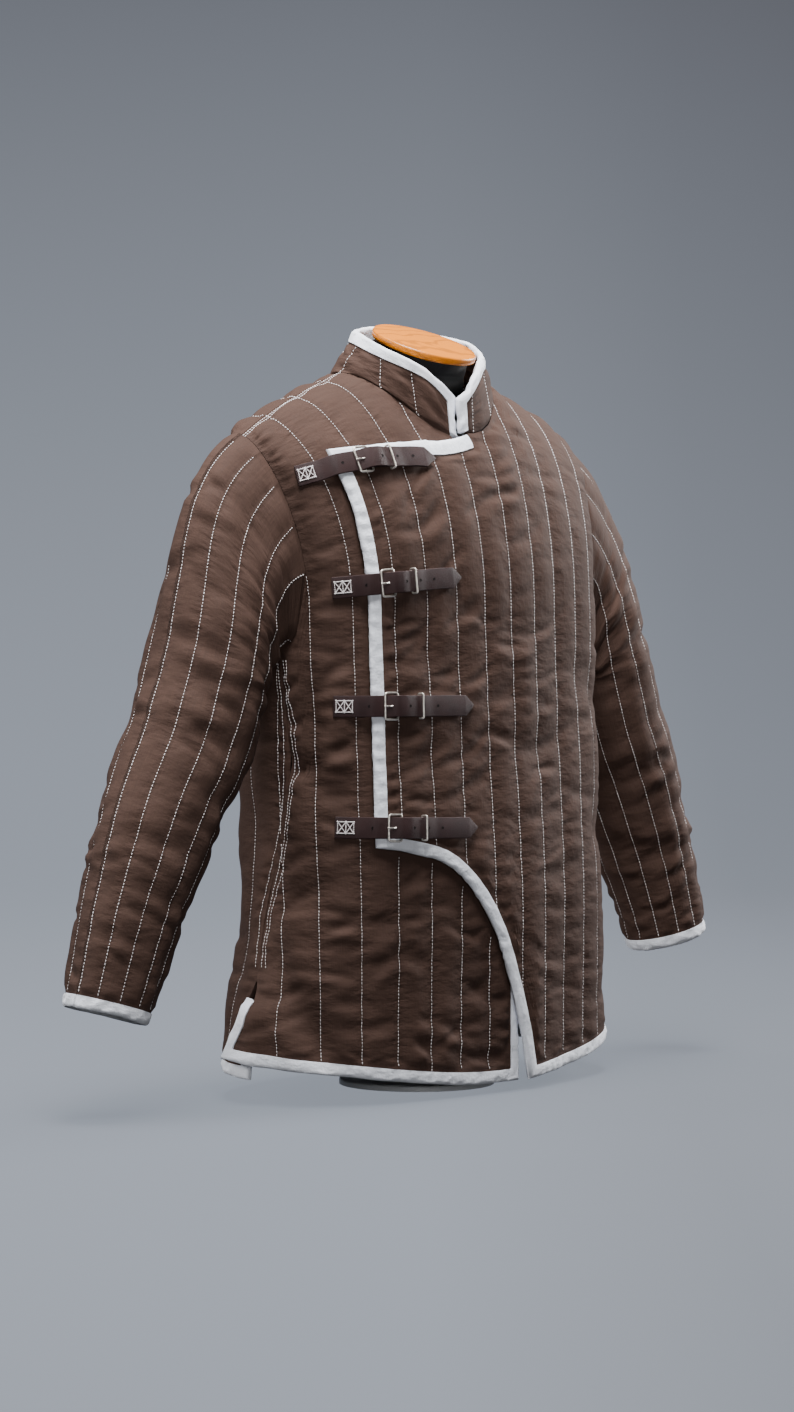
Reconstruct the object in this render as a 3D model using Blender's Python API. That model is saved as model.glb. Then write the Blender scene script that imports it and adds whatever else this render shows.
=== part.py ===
"""A quilted gambeson with strap closings, worn by a limbless dress form on a round foot.

The wearer faces -Y, the wearer's left is +X and the foot stands on z = 0. The cloth is laid out in
pattern coordinates: s runs along the girth from a centre line, positive to the wearer's left, w runs
up the cloth from the lowest point of the hem, and h is the height above the cloth's inner face.
"""
import math
import bmesh
import bpy
import numpy as np

# ------------------------------------------------------------------ driving sizes, in metres
FLOOR_CLEAR = 0.010       # the lowest point of the hem above the floor
QUILT = 0.0395            # between neighbouring stitch lines
SEAM_THICK = 0.0045       # the cloth at a stitch line
PUFF_THICK = 0.0080       # the cloth halfway between two stitch lines
EDGE_THICK = 0.0052       # the cloth at a sewn edge
COVERED_THICK = 0.0065    # the front right where the flap presses on it
FLAP_LIFT = 0.0090        # the flap's inner face above the girth surface
BAND_WIDTH = 0.0122       # the white bindings
BAND_THICK = 0.0066
GAP = 0.0003              # between touching pieces
SEAM_GAP = 0.0005         # between sewn panels
NECK_GAP = 0.0010         # between the neckline and the collar
ROW = 0.034               # height of a row of the cloth's surface
THIRDS = 3                # columns of the cloth's surface in one quilted channel

GIRTH = (
    # height, half_width, front_depth, back_depth, centre_y, squareness, centre_x
    (0.000, 0.236, 0.097, 0.135, 0.005, 2.35, 0.000),
    (0.080, 0.228, 0.094, 0.131, 0.002, 2.40, 0.000),
    (0.180, 0.211, 0.090, 0.124, -0.002, 2.70, 0.000),
    (0.320, 0.206, 0.084, 0.126, 0.002, 3.00, 0.002),
    (0.460, 0.206, 0.078, 0.128, 0.004, 3.00, 0.003),
)
CHEST = 0.460             # height where the girth ends and the shoulders begin to close in
SHOULDER_RUN = 0.250      # length of cloth from the chest line to the shoulder ridge
FLARE = 0.16              # how much a column leans outwards on its way to the ridge
RIDGE_Y = 0.040
RIDGE = (
    # distance from the centre, height seen from the front, height seen from the back
    (0.000, 0.699, 0.730),
    (0.050, 0.697, 0.718),
    (0.080, 0.696, 0.697),
    (0.095, 0.693, 0.693),
    (0.130, 0.681, 0.681),
    (0.165, 0.668, 0.668),
    (0.210, 0.648, 0.648),
    (0.260, 0.618, 0.618),
)
NECK_HALF = 0.088         # the neck hole's half width, front and back reach, and squareness
NECK_FRONT = 0.078
NECK_BACK = 0.045
NECK_SQUARE = 2.2
SHOULDER_SEAM_NECK = 91.0     # degrees over the ridge, at the neck and at the sleeve
SHOULDER_SEAM_TIP = 83.0

ARM_S = 5.5 * QUILT               # the armhole's straight edge, from the centre
ARM_LOW = 0.430                   # the underarm point
ARM_MID = 0.500                   # where the armhole's edge turns straight
SIDE_SEAM = (
    # height, distance of the side seam from the centre front
    (0.000, 0.290),
    (0.110, 0.285),
    (0.172, 0.279),
    (0.215, 0.266),
    (0.260, 0.254),
    (0.320, 0.246),
    (0.430, 0.252),
    (0.500, 0.256),
)
SLIT_TOP = 0.110
SLIT_ROWS = 3
SLIT_FRONT = (0.302, 0.288, 0.2795)   # the front's slit edge at each row, from the hem up
SLIT_LAP = 0.0125                     # how far the front's corner stands off over the back
HEM_RISE = 0.030                      # the front hem rises this much on its way to the side
BACK_HEM = 0.014

FLAP_LEFT = -0.166        # the flap's left edge
FLAP_EDGE = (
    # the flap's true edge, outside its binding, from its upper left corner: s, w
    (FLAP_LEFT, 0.6030),
    (FLAP_LEFT, 0.2375),
    (-0.1440, 0.2350),
    (-0.0930, 0.2225),
    (-0.0620, 0.2025),
    (-0.0380, 0.1775),
    (-0.0180, 0.1475),
    (0.0000, 0.1075),
    (0.0120, 0.0725),
    (0.0230, 0.0375),
    (0.0310, 0.0005),
)
FLAP_TOP = (
    # distance from the centre front, height of the flap's upper edge
    (-0.165, 0.603),
    (-0.120, 0.5925),
    (-0.075, 0.5845),
    (-0.020, 0.5862),
    (-0.0015, 0.5893),
    (0.0198, 0.5908),
)
UNDER_EDGE = 0.024        # the free edge of the front right, under the flap
COLLAR_RIGHT_U = 0.0160    # where the collar's right end begins, right of the centre front
COLLAR_LEFT_U = -0.0015    # where its left end begins, which laps over the right one

COLLAR_TOP = (
    # degrees round from the nearer end, height of the collar's top edge
    (0.0, 0.683),
    (9.0, 0.694),
    (20.0, 0.7045),
    (35.0, 0.7135),
    (55.0, 0.7225),
    (90.0, 0.7355),
    (130.0, 0.744),
    (180.0, 0.750),
)
COLLAR_TOP_HALF = 0.073
COLLAR_TOP_FRONT = 0.053
COLLAR_TOP_BACK = 0.052
COLLAR_TOP_Y = 0.018
COLLAR_TURN_Y = 0.024     # the point the collar's columns are spread round
COLLAR_THICK = 0.0065
COLLAR_LAP = 0.0090       # how far the left end stands in front of the right one
COLLAR_SHIFT = 0.0010     # how far each front corner leans towards the other
COLLAR_CORNER = 0.050     # the length of collar that takes part in this
COLLAR_QUILT = 0.045      # between the collar's stitch lines
COLLAR_FIRST = 0.040      # from its right end to the first of them

SLEEVE_RIGHT = (
    # height, centre_x, centre_y, radius of the inner face
    (0.400, 0.288, 0.030, 0.0550),
    (0.340, 0.310, 0.031, 0.0545),
    (0.284, 0.340, 0.033, 0.0520),
    (0.232, 0.362, 0.035, 0.0480),
    (0.190, 0.378, 0.037, 0.0440),
    (0.146, 0.392, 0.039, 0.0400),
    (0.100, 0.405, 0.042, 0.0360),
)
SLEEVE_LEFT = (
    # height, centre_x, centre_y, radius of the inner face
    (0.405, 0.288, 0.026, 0.0515),
    (0.345, 0.308, 0.026, 0.0535),
    (0.290, 0.332, 0.024, 0.0515),
    (0.240, 0.350, 0.020, 0.0475),
    (0.200, 0.363, 0.016, 0.0440),
    (0.160, 0.374, 0.012, 0.0400),
    (0.122, 0.383, 0.008, 0.0370),
)
LEAVING = (
    # share of the way down the armhole, degrees downwards, pull towards the arm
    (0.0, 26.0, 1.2),
    (0.4, 32.0, 3.0),
    (0.7, 20.0, 1.0),
    (0.85, 5.0, 0.5),
    (1.0, 0.0, 0.35),
)
ONWARD_TURN = 0.25        # how much of the panel's curve towards the other panel the sleeve keeps
SLEEVE_HEAD_ROWS = 6
SLEEVE_ROWS = 9
SLEEVE_PUFF = 0.0076

STRAPS = (
    # name, start s, start w, tip s, tip w, frame s, keeper s
    ("1", -0.2000, 0.5930, -0.0630, 0.5675, -0.1480, -0.1130),
    ("2", -0.1960, 0.4850, -0.0580, 0.4850, -0.1550, -0.1190),
    ("3", -0.1980, 0.3750, -0.0470, 0.3725, -0.1560, -0.1160),
    ("4", -0.2000, 0.2590, -0.0490, 0.2530, -0.1560, -0.1170),
)
STRAP_WIDTH = 0.0205
STRAP_THICK = 0.0026
STRAP_POINT = 0.0110      # length of the pointed end
TAB_THICK = 0.0015
TAB_WIDTH = 0.0170
FRAME_REACH = 0.0135      # from the frame's free bar to its hinge bar
FRAME_HALF = 0.0128
FRAME_WIRE = 0.0011
KEEPER_WIRE = 0.0009
KEEPER_HALF = 0.0118

FORM = (
    # height, half_width, front_depth, back_depth, centre_y
    (0.1000, 0.176, 0.066, 0.100, 0.004),
    (0.1800, 0.182, 0.070, 0.102, 0.000),
    (0.3200, 0.176, 0.064, 0.102, 0.004),
    (0.4600, 0.172, 0.056, 0.102, 0.008),
    (0.5600, 0.172, 0.062, 0.084, 0.026),
    (0.6150, 0.170, 0.052, 0.062, 0.034),
    (0.6570, 0.163, 0.038, 0.040, 0.039),
    (0.6750, 0.142, 0.026, 0.028, 0.040),
    (0.6851, 0.117, 0.024, 0.026, 0.040),
    (0.6885, 0.084, 0.030, 0.032, 0.036),
    (0.6930, 0.062, 0.042, 0.045, 0.027),
    (0.6980, 0.048, 0.044, 0.045, 0.019),
)
FORM_SQUARE = 2.3
CAP_RADIUS = 0.0535
CAP_THICK = 0.008
CAP_TILT = math.radians(21.0)
CAP_CENTRE = (0.0, 0.007, 0.734)
POST_RADIUS = 0.013
FOOT_HALF = 0.078
FOOT_THICK = 0.006
FOOT_Y = 0.018

FOLDS = (
    # face, s, w, lean in degrees, length, width, height (a trough is negative)
    ("front", -0.234, 0.083, -61.0, 0.062, 0.015, -0.0080),
    ("front", -0.258, 0.062, -58.0, 0.045, 0.015, 0.0055),
    ("front", -0.222, 0.362, 84.0, 0.034, 0.015, -0.0065),
    ("front", -0.212, 0.300, -32.0, 0.040, 0.014, -0.0045),
    ("front", -0.235, 0.320, 12.0, 0.030, 0.022, -0.0050),
    ("front", -0.235, 0.190, 20.0, 0.040, 0.020, -0.0040),
    ("front", -0.110, 0.320, -14.0, 0.040, 0.020, -0.0032),
    ("front", -0.105, 0.430, -25.0, 0.040, 0.020, -0.0032),
    ("front", 0.055, 0.330, 16.0, 0.050, 0.020, -0.0035),
    ("front", 0.170, 0.385, -24.0, 0.055, 0.022, -0.0050),
    ("front", 0.200, 0.240, -10.0, 0.050, 0.020, -0.0050),
    ("front", 0.225, 0.095, 46.0, 0.045, 0.020, -0.0050),
    ("back", -0.215, 0.150, 56.0, 0.060, 0.020, -0.0060),
    ("back", -0.200, 0.270, 12.0, 0.050, 0.022, -0.0050),
    ("back", -0.090, 0.290, -6.0, 0.060, 0.022, -0.0045),
    ("back", 0.065, 0.270, 5.0, 0.065, 0.022, -0.0045),
    ("back", 0.195, 0.300, -14.0, 0.050, 0.022, -0.0055),
    ("back", 0.210, 0.170, -52.0, 0.060, 0.020, 0.0050),
    ("back", 0.020, 0.440, 3.0, 0.070, 0.024, -0.0035),
)
NECK_SHARES = (0.92, 0.98, 1.0)   # columns that follow the neck hole where it is steep
SLEEVE_FOLDS = (
    # share of the length, turn in degrees (0 outside, 90 front, 180 inside), length share, turn width, height
    (0.16, 165.0, 0.020, 60.0, -0.0060),
    (0.22, 150.0, 0.022, 55.0, 0.0045),
    (0.29, 175.0, 0.022, 60.0, -0.0050),
    (0.37, 140.0, 0.020, 50.0, -0.0035),
    (0.50, 70.0, 0.020, 45.0, -0.0030),
    (0.58, 120.0, 0.018, 50.0, -0.0035),
    (0.68, 60.0, 0.018, 40.0, -0.0028),
    (0.78, 100.0, 0.018, 50.0, -0.0028),
    (0.88, 40.0, 0.016, 45.0, -0.0025),
)


# ------------------------------------------------------------------ curves and tables
def smooth(t):
    """Ease from 0 to 1."""
    t = np.clip(t, 0.0, 1.0)
    return t * t * (3.0 - 2.0 * t)


def column(rows, index):
    return np.array([row[index] for row in rows], float)


def through(keys, values, at):
    """A smooth curve through a table's points, level past both ends."""
    slopes = np.gradient(values, keys)
    at = np.clip(at, keys[0], keys[-1])
    i = np.clip(np.searchsorted(keys, at, side="right") - 1, 0, len(keys) - 2)
    span = keys[i + 1] - keys[i]
    t = (at - keys[i]) / span
    start = values[i] * (1 + 2 * t) * (1 - t) ** 2 + span * slopes[i] * t * (1 - t) ** 2
    end = values[i + 1] * t * t * (3 - 2 * t) - span * slopes[i + 1] * t * t * (1 - t)
    return start + end


# ------------------------------------------------------------------ the girth surface
HEIGHTS = np.linspace(0.0, CHEST, 47)
TURNS = np.linspace(0.0, math.pi, 721)
SHARES = np.linspace(0.0, 1.0, 721)


def ring_outline(height):
    """Half a ring at one height, from the centre front round to the centre back."""
    wide, front, back, mid, power = (
        through(column(GIRTH, 0), column(GIRTH, i), np.array(height)) for i in range(1, 6))
    side = np.sin(TURNS)
    ahead = np.cos(TURNS)
    depth = np.where(ahead > 0, front, back)
    reach = ((np.abs(side) / wide) ** power + (np.abs(ahead) / depth) ** power) ** (-1 / power)
    return reach * side, mid - reach * ahead


def ring_tables():
    """Each ring at even steps of its length, with the length of half the girth."""
    across, ahead, halves = [], [], []
    for height in HEIGHTS:
        x, y = ring_outline(height)
        along = np.concatenate(([0.0], np.cumsum(np.hypot(np.diff(x), np.diff(y)))))
        halves.append(along[-1])
        across.append(np.interp(SHARES * along[-1], along, x))
        ahead.append(np.interp(SHARES * along[-1], along, y))
    return np.array(across), np.array(ahead), np.array(halves)


RING_X, RING_Y, RING_HALF = ring_tables()


def half_girth(height):
    return np.interp(height, HEIGHTS, RING_HALF)


def look_up(grid, row, col):
    """Read a grid between its points."""
    row = np.clip(row, 0, grid.shape[0] - 1.000001)
    col = np.clip(col, 0, grid.shape[1] - 1.000001)
    i = row.astype(int)
    k = col.astype(int)
    u = row - i
    v = col - k
    low = grid[i, k] * (1 - v) + grid[i, k + 1] * v
    high = grid[i + 1, k] * (1 - v) + grid[i + 1, k + 1] * v
    return low * (1 - u) + high * u


def ring(s, height, face):
    share = np.abs(s) / half_girth(height)
    if face == "back":
        share = 1.0 - share
    row = height / CHEST * (len(HEIGHTS) - 1)
    col = share * (len(SHARES) - 1)
    return np.sign(s) * look_up(RING_X, row, col), look_up(RING_Y, row, col)


def chest_y(x, face):
    """How far forward or back the chest ring lies at a distance from the centre."""
    widest = int(np.argmax(RING_X[-1]))
    if face == "front":
        return np.interp(x, RING_X[-1][:widest], RING_Y[-1][:widest])
    return np.interp(x, RING_X[-1][:widest - 1:-1], RING_Y[-1][:widest - 1:-1])


def body(s, w, face):
    """The cloth's inner face: rings up to the chest, then columns that close in over the shoulders."""
    s, w = np.broadcast_arrays(np.asarray(s, float), np.asarray(w, float))
    low = np.clip(w, 0.0, CHEST)
    x, y = ring(s, low, face)
    shift = through(column(GIRTH, 0), column(GIRTH, 6), low)
    rise = np.clip((w - CHEST) / SHOULDER_RUN, 0, 1.9) * math.pi / 2
    over = rise > math.pi / 2
    other = "back" if face == "front" else "front"
    own_column, other_column = (1, 2) if face == "front" else (2, 1)
    top_x = np.abs(x) * (1 + FLARE)
    own = through(column(RIDGE, 0), column(RIDGE, own_column), top_x)
    opposite = through(column(RIDGE, 0), column(RIDGE, other_column), top_x)
    ridge = np.where(over, opposite, own)
    low_y = np.where(over, chest_y(np.abs(x), other), y)
    climb = np.sin(rise)
    above = w > CHEST
    out_x = x * (1 + FLARE * climb ** 2) + shift * (1 - climb ** 2)
    out_y = np.where(above, RIDGE_Y + (low_y - RIDGE_Y) * np.abs(np.cos(rise)), y)
    out_z = np.where(above, CHEST + (ridge - CHEST) * climb, w)
    return np.stack((out_x, out_y, out_z + FLOOR_CLEAR), -1)


def body_normal(s, w, face):
    step = 0.0015
    along = body(s + step, w, face) - body(s - step, w, face)
    up = body(s, w + step, face) - body(s, w - step, face)
    out = np.cross(along, up)
    if face == "back":
        out = -out
    return out / np.maximum(np.linalg.norm(out, axis=-1, keepdims=True), 1e-12)


def fold_height(s, w, face):
    """The garment's largest folds, as soft troughs and ridges."""
    total = np.zeros(np.broadcast(s, w).shape)
    for own_face, s0, w0, lean, length, width, height in FOLDS:
        if own_face == face:
            turn = math.radians(lean)
            along = (s - s0) * math.cos(turn) + (w - w0) * math.sin(turn)
            across = (w - w0) * math.cos(turn) - (s - s0) * math.sin(turn)
            total = total + height * np.exp(-(along / length) ** 2 - (across / width) ** 2)
    return total


def cloth(s, w, face, h):
    """A point h above the cloth's inner face, folds included."""
    rise = np.asarray(h, float) + fold_height(s, w, face)
    return body(s, w, face) + body_normal(s, w, face) * rise[..., None]


# ------------------------------------------------------------------ the pattern
def side_seam(w):
    return through(column(SIDE_SEAM, 0), column(SIDE_SEAM, 1), w)


def front_hem(s):
    """The front's true hem."""
    return HEM_RISE * smooth(np.abs(s) / 0.33)


def shoulder_turn(x):
    """Degrees over the ridge where the shoulder seam crosses a column."""
    share = (x - NECK_HALF / (1 + FLARE)) / (arm_x() - NECK_HALF / (1 + FLARE))
    return SHOULDER_SEAM_NECK + (SHOULDER_SEAM_TIP - SHOULDER_SEAM_NECK) * np.clip(share, 0, 1)


def arm_x():
    return float(ring(np.array(ARM_S), np.array(CHEST), "front")[0])


def back_s(x):
    """The back's column that meets the front's column of the same distance from the centre."""
    widest = int(np.argmax(RING_X[-1]))
    share = np.interp(x, RING_X[-1][:widest - 1:-1], SHARES[:widest - 1:-1])
    return (1.0 - float(share)) * float(RING_HALF[-1])


def column_top(s, face):
    """Where a column ends at the neck hole or at the shoulder seam, and which of the two it is."""
    x = abs(float(ring(np.array(abs(s)), np.array(CHEST), face)[0]))
    seam = float(shoulder_turn(x))
    last = seam if face == "front" else 180.0 - seam
    shoulder = CHEST + SHOULDER_RUN * last / 90.0 - SEAM_GAP
    if x * (1 + FLARE) > 0.995 * NECK_HALF:
        return shoulder, "shoulder"
    turns = np.linspace(10.0, last, 600)
    points = body(abs(s), CHEST + SHOULDER_RUN * turns / 90.0, face)
    ahead = RIDGE_Y - points[:, 1]
    reach = np.where(ahead > 0, NECK_FRONT, NECK_BACK)
    hole = (points[:, 0] / NECK_HALF) ** NECK_SQUARE + (np.abs(ahead) / reach) ** NECK_SQUARE
    inside = np.nonzero(hole < 1.0)[0]
    if len(inside) and inside[0] < len(turns) - 1:
        return CHEST + SHOULDER_RUN * float(turns[inside[0]]) / 90.0, "neck"
    return shoulder, "shoulder"


def arm_edge(u, edge, straight):
    """The lower part of the armhole, from the side seam to where its edge turns straight."""
    share = np.clip((edge - u) / (edge - straight), 0.0, 1.0)
    return ARM_LOW + (ARM_MID - ARM_LOW) * (1.0 - math.sqrt(1.0 - float(share) ** 2))


def flap_edge():
    """The flap's true edge as (s, w), from its top corner down and round to the hem."""
    rows = np.array(FLAP_EDGE)
    keys = np.arange(len(rows) - 1, dtype=float)
    fine = np.linspace(0.0, keys[-1], 5 * (len(rows) - 2) + 1)
    curve = [through(keys, rows[1:, i], fine) for i in range(2)]
    return np.vstack((rows[:1], np.stack(curve, -1)))


def unit(vectors):
    """Each vector at length one."""
    return vectors / np.maximum(np.linalg.norm(vectors, axis=-1, keepdims=True), 1e-12)


def moved(path, distance):
    """A path in the pattern moved to its left, with mitred corners."""
    step = np.diff(path, axis=0)
    step = step / np.linalg.norm(step, axis=1, keepdims=True)
    sides = np.stack((-step[:, 1], step[:, 0]), -1)
    first = np.vstack((sides[:1], sides))
    second = np.vstack((sides, sides[-1:]))
    mitre = (first + second) / (1.0 + np.sum(first * second, axis=1, keepdims=True))
    return path + mitre * distance


FLAP_PATH = moved(flap_edge(), BAND_WIDTH + GAP)


def flap_bottom(s):
    """The lower edge of the flap's own cloth, inside its binding."""
    curve = FLAP_PATH[1:]
    low = front_hem(s) + BAND_WIDTH + GAP
    return np.maximum(np.interp(s, curve[:, 0], curve[:, 1], right=0.0), low)


def flap_top(s):
    return through(column(FLAP_TOP, 0), column(FLAP_TOP, 1), s)


def flap_corner():
    """Where the flap's curve meets the hem, inside the bindings."""
    low = front_hem(0.04) + BAND_WIDTH + GAP
    return float(np.interp(low, FLAP_PATH[:0:-1, 1], FLAP_PATH[:0:-1, 0]))


def covered(s, w):
    """How far the flap presses on the front right: 1 under it, 0 well outside."""
    edge = flap_edge()[1:]
    low = np.interp(s, edge[:, 0], edge[:, 1], right=0.0)
    fade = 0.018
    left = smooth((s - FLAP_LEFT + fade) / fade)
    below = smooth((w - low + fade) / fade)
    above = smooth((flap_top(s) + fade - w) / fade)
    return left * below * above


def flap_lift(s):
    return FLAP_LIFT * (1.0 - smooth((s - UNDER_EDGE) / 0.085))


def corner_lift(s, w):
    """The front's slit corner stands off so that it can lie over the back."""
    return SLIT_LAP * smooth((np.abs(s) - 0.262) / 0.020) * smooth((0.105 - w) / 0.035)


def puff(u, pitch=QUILT, start=QUILT / 2, full=PUFF_THICK):
    """The cloth's thickness across the quilting, thin at each stitch line."""
    wave = np.abs(np.sin(math.pi * (u - start) / pitch))
    return SEAM_THICK + (full - SEAM_THICK) * wave


def channel_columns(first, last, extra=()):
    """Columns at the stitch lines and at even steps between them, with the ends and a few of its own."""
    step = QUILT / THIRDS
    start = QUILT / 2
    low = math.ceil((first - start) / step + 1e-6)
    high = math.floor((last - start) / step - 1e-6)
    even = [start + step * i for i in range(low, high + 1)]
    own = [first, last] + list(extra)
    kept = [u for u in even if min(abs(u - o) for o in own) > 0.0045]
    return sorted(kept + own)


def spread(low, high, count):
    return [low + (high - low) * i / count for i in range(count + 1)]


# ------------------------------------------------------------------ panels as grids
class Panel:
    """A cut panel: rows and columns in the pattern, with a cell mask for its armholes."""

    def __init__(self, face, side, columns, low_rows, high_rows):
        self.face = face
        self.side = side
        self.columns = columns
        self.low_rows = low_rows
        rows = low_rows + high_rows + 1
        self.s = np.full((rows, len(columns)), np.nan)
        self.w = np.full((rows, len(columns)), np.nan)
        self.u = np.zeros((rows, len(columns)))
        self.kind = [""] * len(columns)

    def fill(self, index, s_at, bottom, middle, top=None, slit=None, step=None):
        """Set one column's points: s as a function of w, and its heights.

        slit is the height that row SLIT_ROWS keeps; step is the height of the row below the top one.
        """
        heights = spread(bottom, middle, self.low_rows)
        if slit is not None:
            heights = spread(bottom, slit, SLIT_ROWS) + spread(slit, middle, self.low_rows - SLIT_ROWS)[1:]
        if top is not None:
            high_rows = self.s.shape[0] - 1 - self.low_rows
            even = middle + (top - middle) * (high_rows - 1) / high_rows
            heights += spread(middle, even if step is None else step, high_rows - 1)[1:]
            if top != step:
                heights.append(top)
        for j, w in enumerate(heights):
            self.s[j, index] = s_at(w)
            self.w[j, index] = w
            self.u[j, index] = abs(self.s[j, index])

    def cells(self):
        here = ~np.isnan(self.w)
        return here[:-1, :-1] & here[1:, :-1] & here[:-1, 1:] & here[1:, 1:]


LOW_ROWS = round(ARM_MID / ROW)
HIGH_ROWS = 8
LAST_STEADY = 5.5 * QUILT + QUILT / THIRDS    # the front's last column of steady distance
FRONT_FANS = (1 / 3, 2 / 3, 1.0)
BACK_FANS = (1 / 4, 1 / 2, 3 / 4, 1.0)


def front_columns(first, extra):
    """Distances from the centre for a front's columns, up to its last stitch line."""
    neck = NECK_HALF / (1 + FLARE)
    own = [ARM_S] + [neck * share for share in NECK_SHARES] + list(extra)
    return channel_columns(first, LAST_STEADY, own)


def fan_column(share, edge, last_line):
    """A column that keeps its share of the way from the last stitch line to the edge."""
    def at(w):
        return last_line + share * (edge(w) - last_line)
    return at


def front_side_edge(w):
    """The front's edge at its side: the seam, and the slit below it."""
    heights = spread(float(front_hem(0.3)) + BAND_WIDTH, SLIT_TOP, SLIT_ROWS)[:SLIT_ROWS]
    if w < heights[-1] + 0.012:
        return float(np.interp(w, heights, SLIT_FRONT))
    return float(side_seam(w)) - SEAM_GAP / 2


def front_panel(side, first, extra, bottom_at, top_at, step_at=None):
    """A front: side is -1 for the wearer's right, 1 for the left; first is where it starts."""
    steady = front_columns(first, extra)
    panel = Panel("front", side, steady + [None] * len(FRONT_FANS), LOW_ROWS, HIGH_ROWS)
    for i, u in enumerate(steady):
        top, kind = top_at(u)
        if u <= ARM_S:
            step = step_at(u, top) if step_at else None
            panel.fill(i, lambda w, u=u: side * u, bottom_at(u), ARM_MID, top, step=step)
            panel.kind[i] = kind
        else:
            edge = arm_edge(u, front_side_edge(ARM_LOW), ARM_S)
            panel.fill(i, lambda w, u=u: side * u, bottom_at(u), edge)
            panel.kind[i] = "arm"
    for i, share in enumerate(FRONT_FANS, len(steady)):
        at = fan_column(share, front_side_edge, LAST_STEADY)
        edge = arm_edge(at(ARM_LOW), front_side_edge(ARM_LOW), ARM_S)
        panel.fill(i, lambda w, at=at: side * at(w), bottom_at(at(0.03)), edge, slit=SLIT_TOP)
        panel.kind[i] = "arm"
    return panel


def right_front():
    """The front right, which runs on under the flap to a free edge."""
    first = -UNDER_EDGE + BAND_WIDTH + GAP

    def top_at(u):
        if u < COLLAR_RIGHT_U - 1e-6:
            return float(flap_top(u)) - BAND_WIDTH - 0.002, "under"
        return column_top(u, "front")

    def bottom_at(u):
        return float(front_hem(u)) + BAND_WIDTH

    return front_panel(-1, first, (COLLAR_RIGHT_U,), bottom_at, top_at)


def left_front():
    """The front left with the flap that laps over to the wearer's right."""
    first = FLAP_LEFT + BAND_WIDTH + GAP
    shy = COLLAR_LEFT_U - SEAM_GAP
    corner = flap_corner()

    def top_at(u):
        if u < COLLAR_LEFT_U - 1e-6:
            return float(flap_top(u)) - BAND_WIDTH, "flap"
        return column_top(u, "front")

    def step_at(u, top):
        """The flap's upper edge ends one row below the neckline, and that row evens out beyond it."""
        edge = float(flap_top(u)) - BAND_WIDTH
        if u < COLLAR_LEFT_U - 1e-6:
            return edge
        even = ARM_MID + (top - ARM_MID) * (HIGH_ROWS - 1) / HIGH_ROWS
        share = float(smooth((u - COLLAR_LEFT_U) / NECK_HALF))
        return edge + (even - edge) * share

    extra = (shy, COLLAR_LEFT_U, corner)
    return front_panel(1, first, extra, lambda u: float(flap_bottom(u)), top_at, step_at)


def back_side_edge(w):
    """The back's edge at its side, from the centre back; the slit leaves room for its binding."""
    edge = float(half_girth(min(w, CHEST))) - float(side_seam(w)) - SEAM_GAP / 2
    if w < SLIT_TOP - 0.001:
        return edge - BAND_WIDTH - 0.003
    return edge


def back_panel():
    """The back; its columns meet the fronts' columns at the shoulder seams."""
    steady = [0.0] + front_columns(QUILT / 6, ())
    steady = [u for u in steady if u <= ARM_S]
    places = [back_s(float(ring(np.array(u), np.array(CHEST), "front")[0])) if u > 0 else 0.0
              for u in steady]
    half = list(zip(steady, places))
    both = [(u, -place) for u, place in reversed(half[1:])] + half
    fans = len(BACK_FANS)
    panel = Panel("back", 1, [None] * (len(both) + 2 * fans), LOW_ROWS, HIGH_ROWS)
    bottom = BACK_HEM + BAND_WIDTH
    for i, (u, s) in enumerate(both, fans):
        top, kind = column_top(s, "back")
        panel.fill(i, lambda w, s=s: s, bottom, ARM_MID, top)
        panel.u[:, i] = u
        panel.kind[i] = kind
    arm = places[-1]
    for step, share in enumerate(BACK_FANS):
        at = fan_column(share, back_side_edge, arm)
        edge = arm_edge(at(ARM_LOW), back_side_edge(ARM_LOW), arm)
        for side, i in ((-1, fans - 1 - step), (1, len(both) + fans + step)):
            panel.fill(i, lambda w, at=at, side=side: side * at(w), bottom, edge, slit=SLIT_TOP)
            panel.u[:, i] = panel.u[:, i] - arm + ARM_S
            panel.kind[i] = "arm"
    return panel


def base_height(panel, s, w):
    """The inner face of a panel above the girth surface."""
    lift = np.zeros(np.shape(s))
    if panel.face == "front":
        lift = corner_lift(s, w)
        if panel.side == 1:
            lift = lift + flap_lift(s)
    return lift


def thickness(panel):
    """The cloth's thickness at each point of a panel, thin along its sewn edges."""
    thick = puff(panel.u)
    if panel.face == "front" and panel.side == -1:
        press = covered(np.nan_to_num(panel.s), np.nan_to_num(panel.w))
        thick = thick * (1 - press) + COVERED_THICK * press
    here = ~np.isnan(panel.w)
    around = np.pad(here, 1)
    inside = around[:-2, 1:-1] & around[2:, 1:-1] & around[1:-1, :-2] & around[1:-1, 2:]
    inside &= around[:-2, :-2] & around[2:, :-2] & around[:-2, 2:] & around[2:, 2:]
    return np.where(inside, thick, EDGE_THICK)


# ------------------------------------------------------------------ meshes
def make_object(name, points, faces, material, parent=None):
    """A named closed solid with its faces turned outwards."""
    mesh = bpy.data.meshes.new(name)
    mesh.from_pydata([tuple(map(float, p)) for p in points], [], faces)
    mesh.update()
    cut_to_triangles(mesh)
    if signed_volume(mesh) < 0:
        mesh.flip_normals()
    mesh.materials.append(material)
    mesh.shade_smooth()
    mesh.set_sharp_from_angle(angle=math.radians(40))
    item = bpy.data.objects.new(name, mesh)
    item.parent = parent
    bpy.context.scene.collection.objects.link(item)
    return item


def cut_to_triangles(mesh):
    work = bmesh.new()
    work.from_mesh(mesh)
    bmesh.ops.triangulate(work, faces=work.faces[:])
    work.to_mesh(mesh)
    work.free()
    mesh.update()


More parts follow.
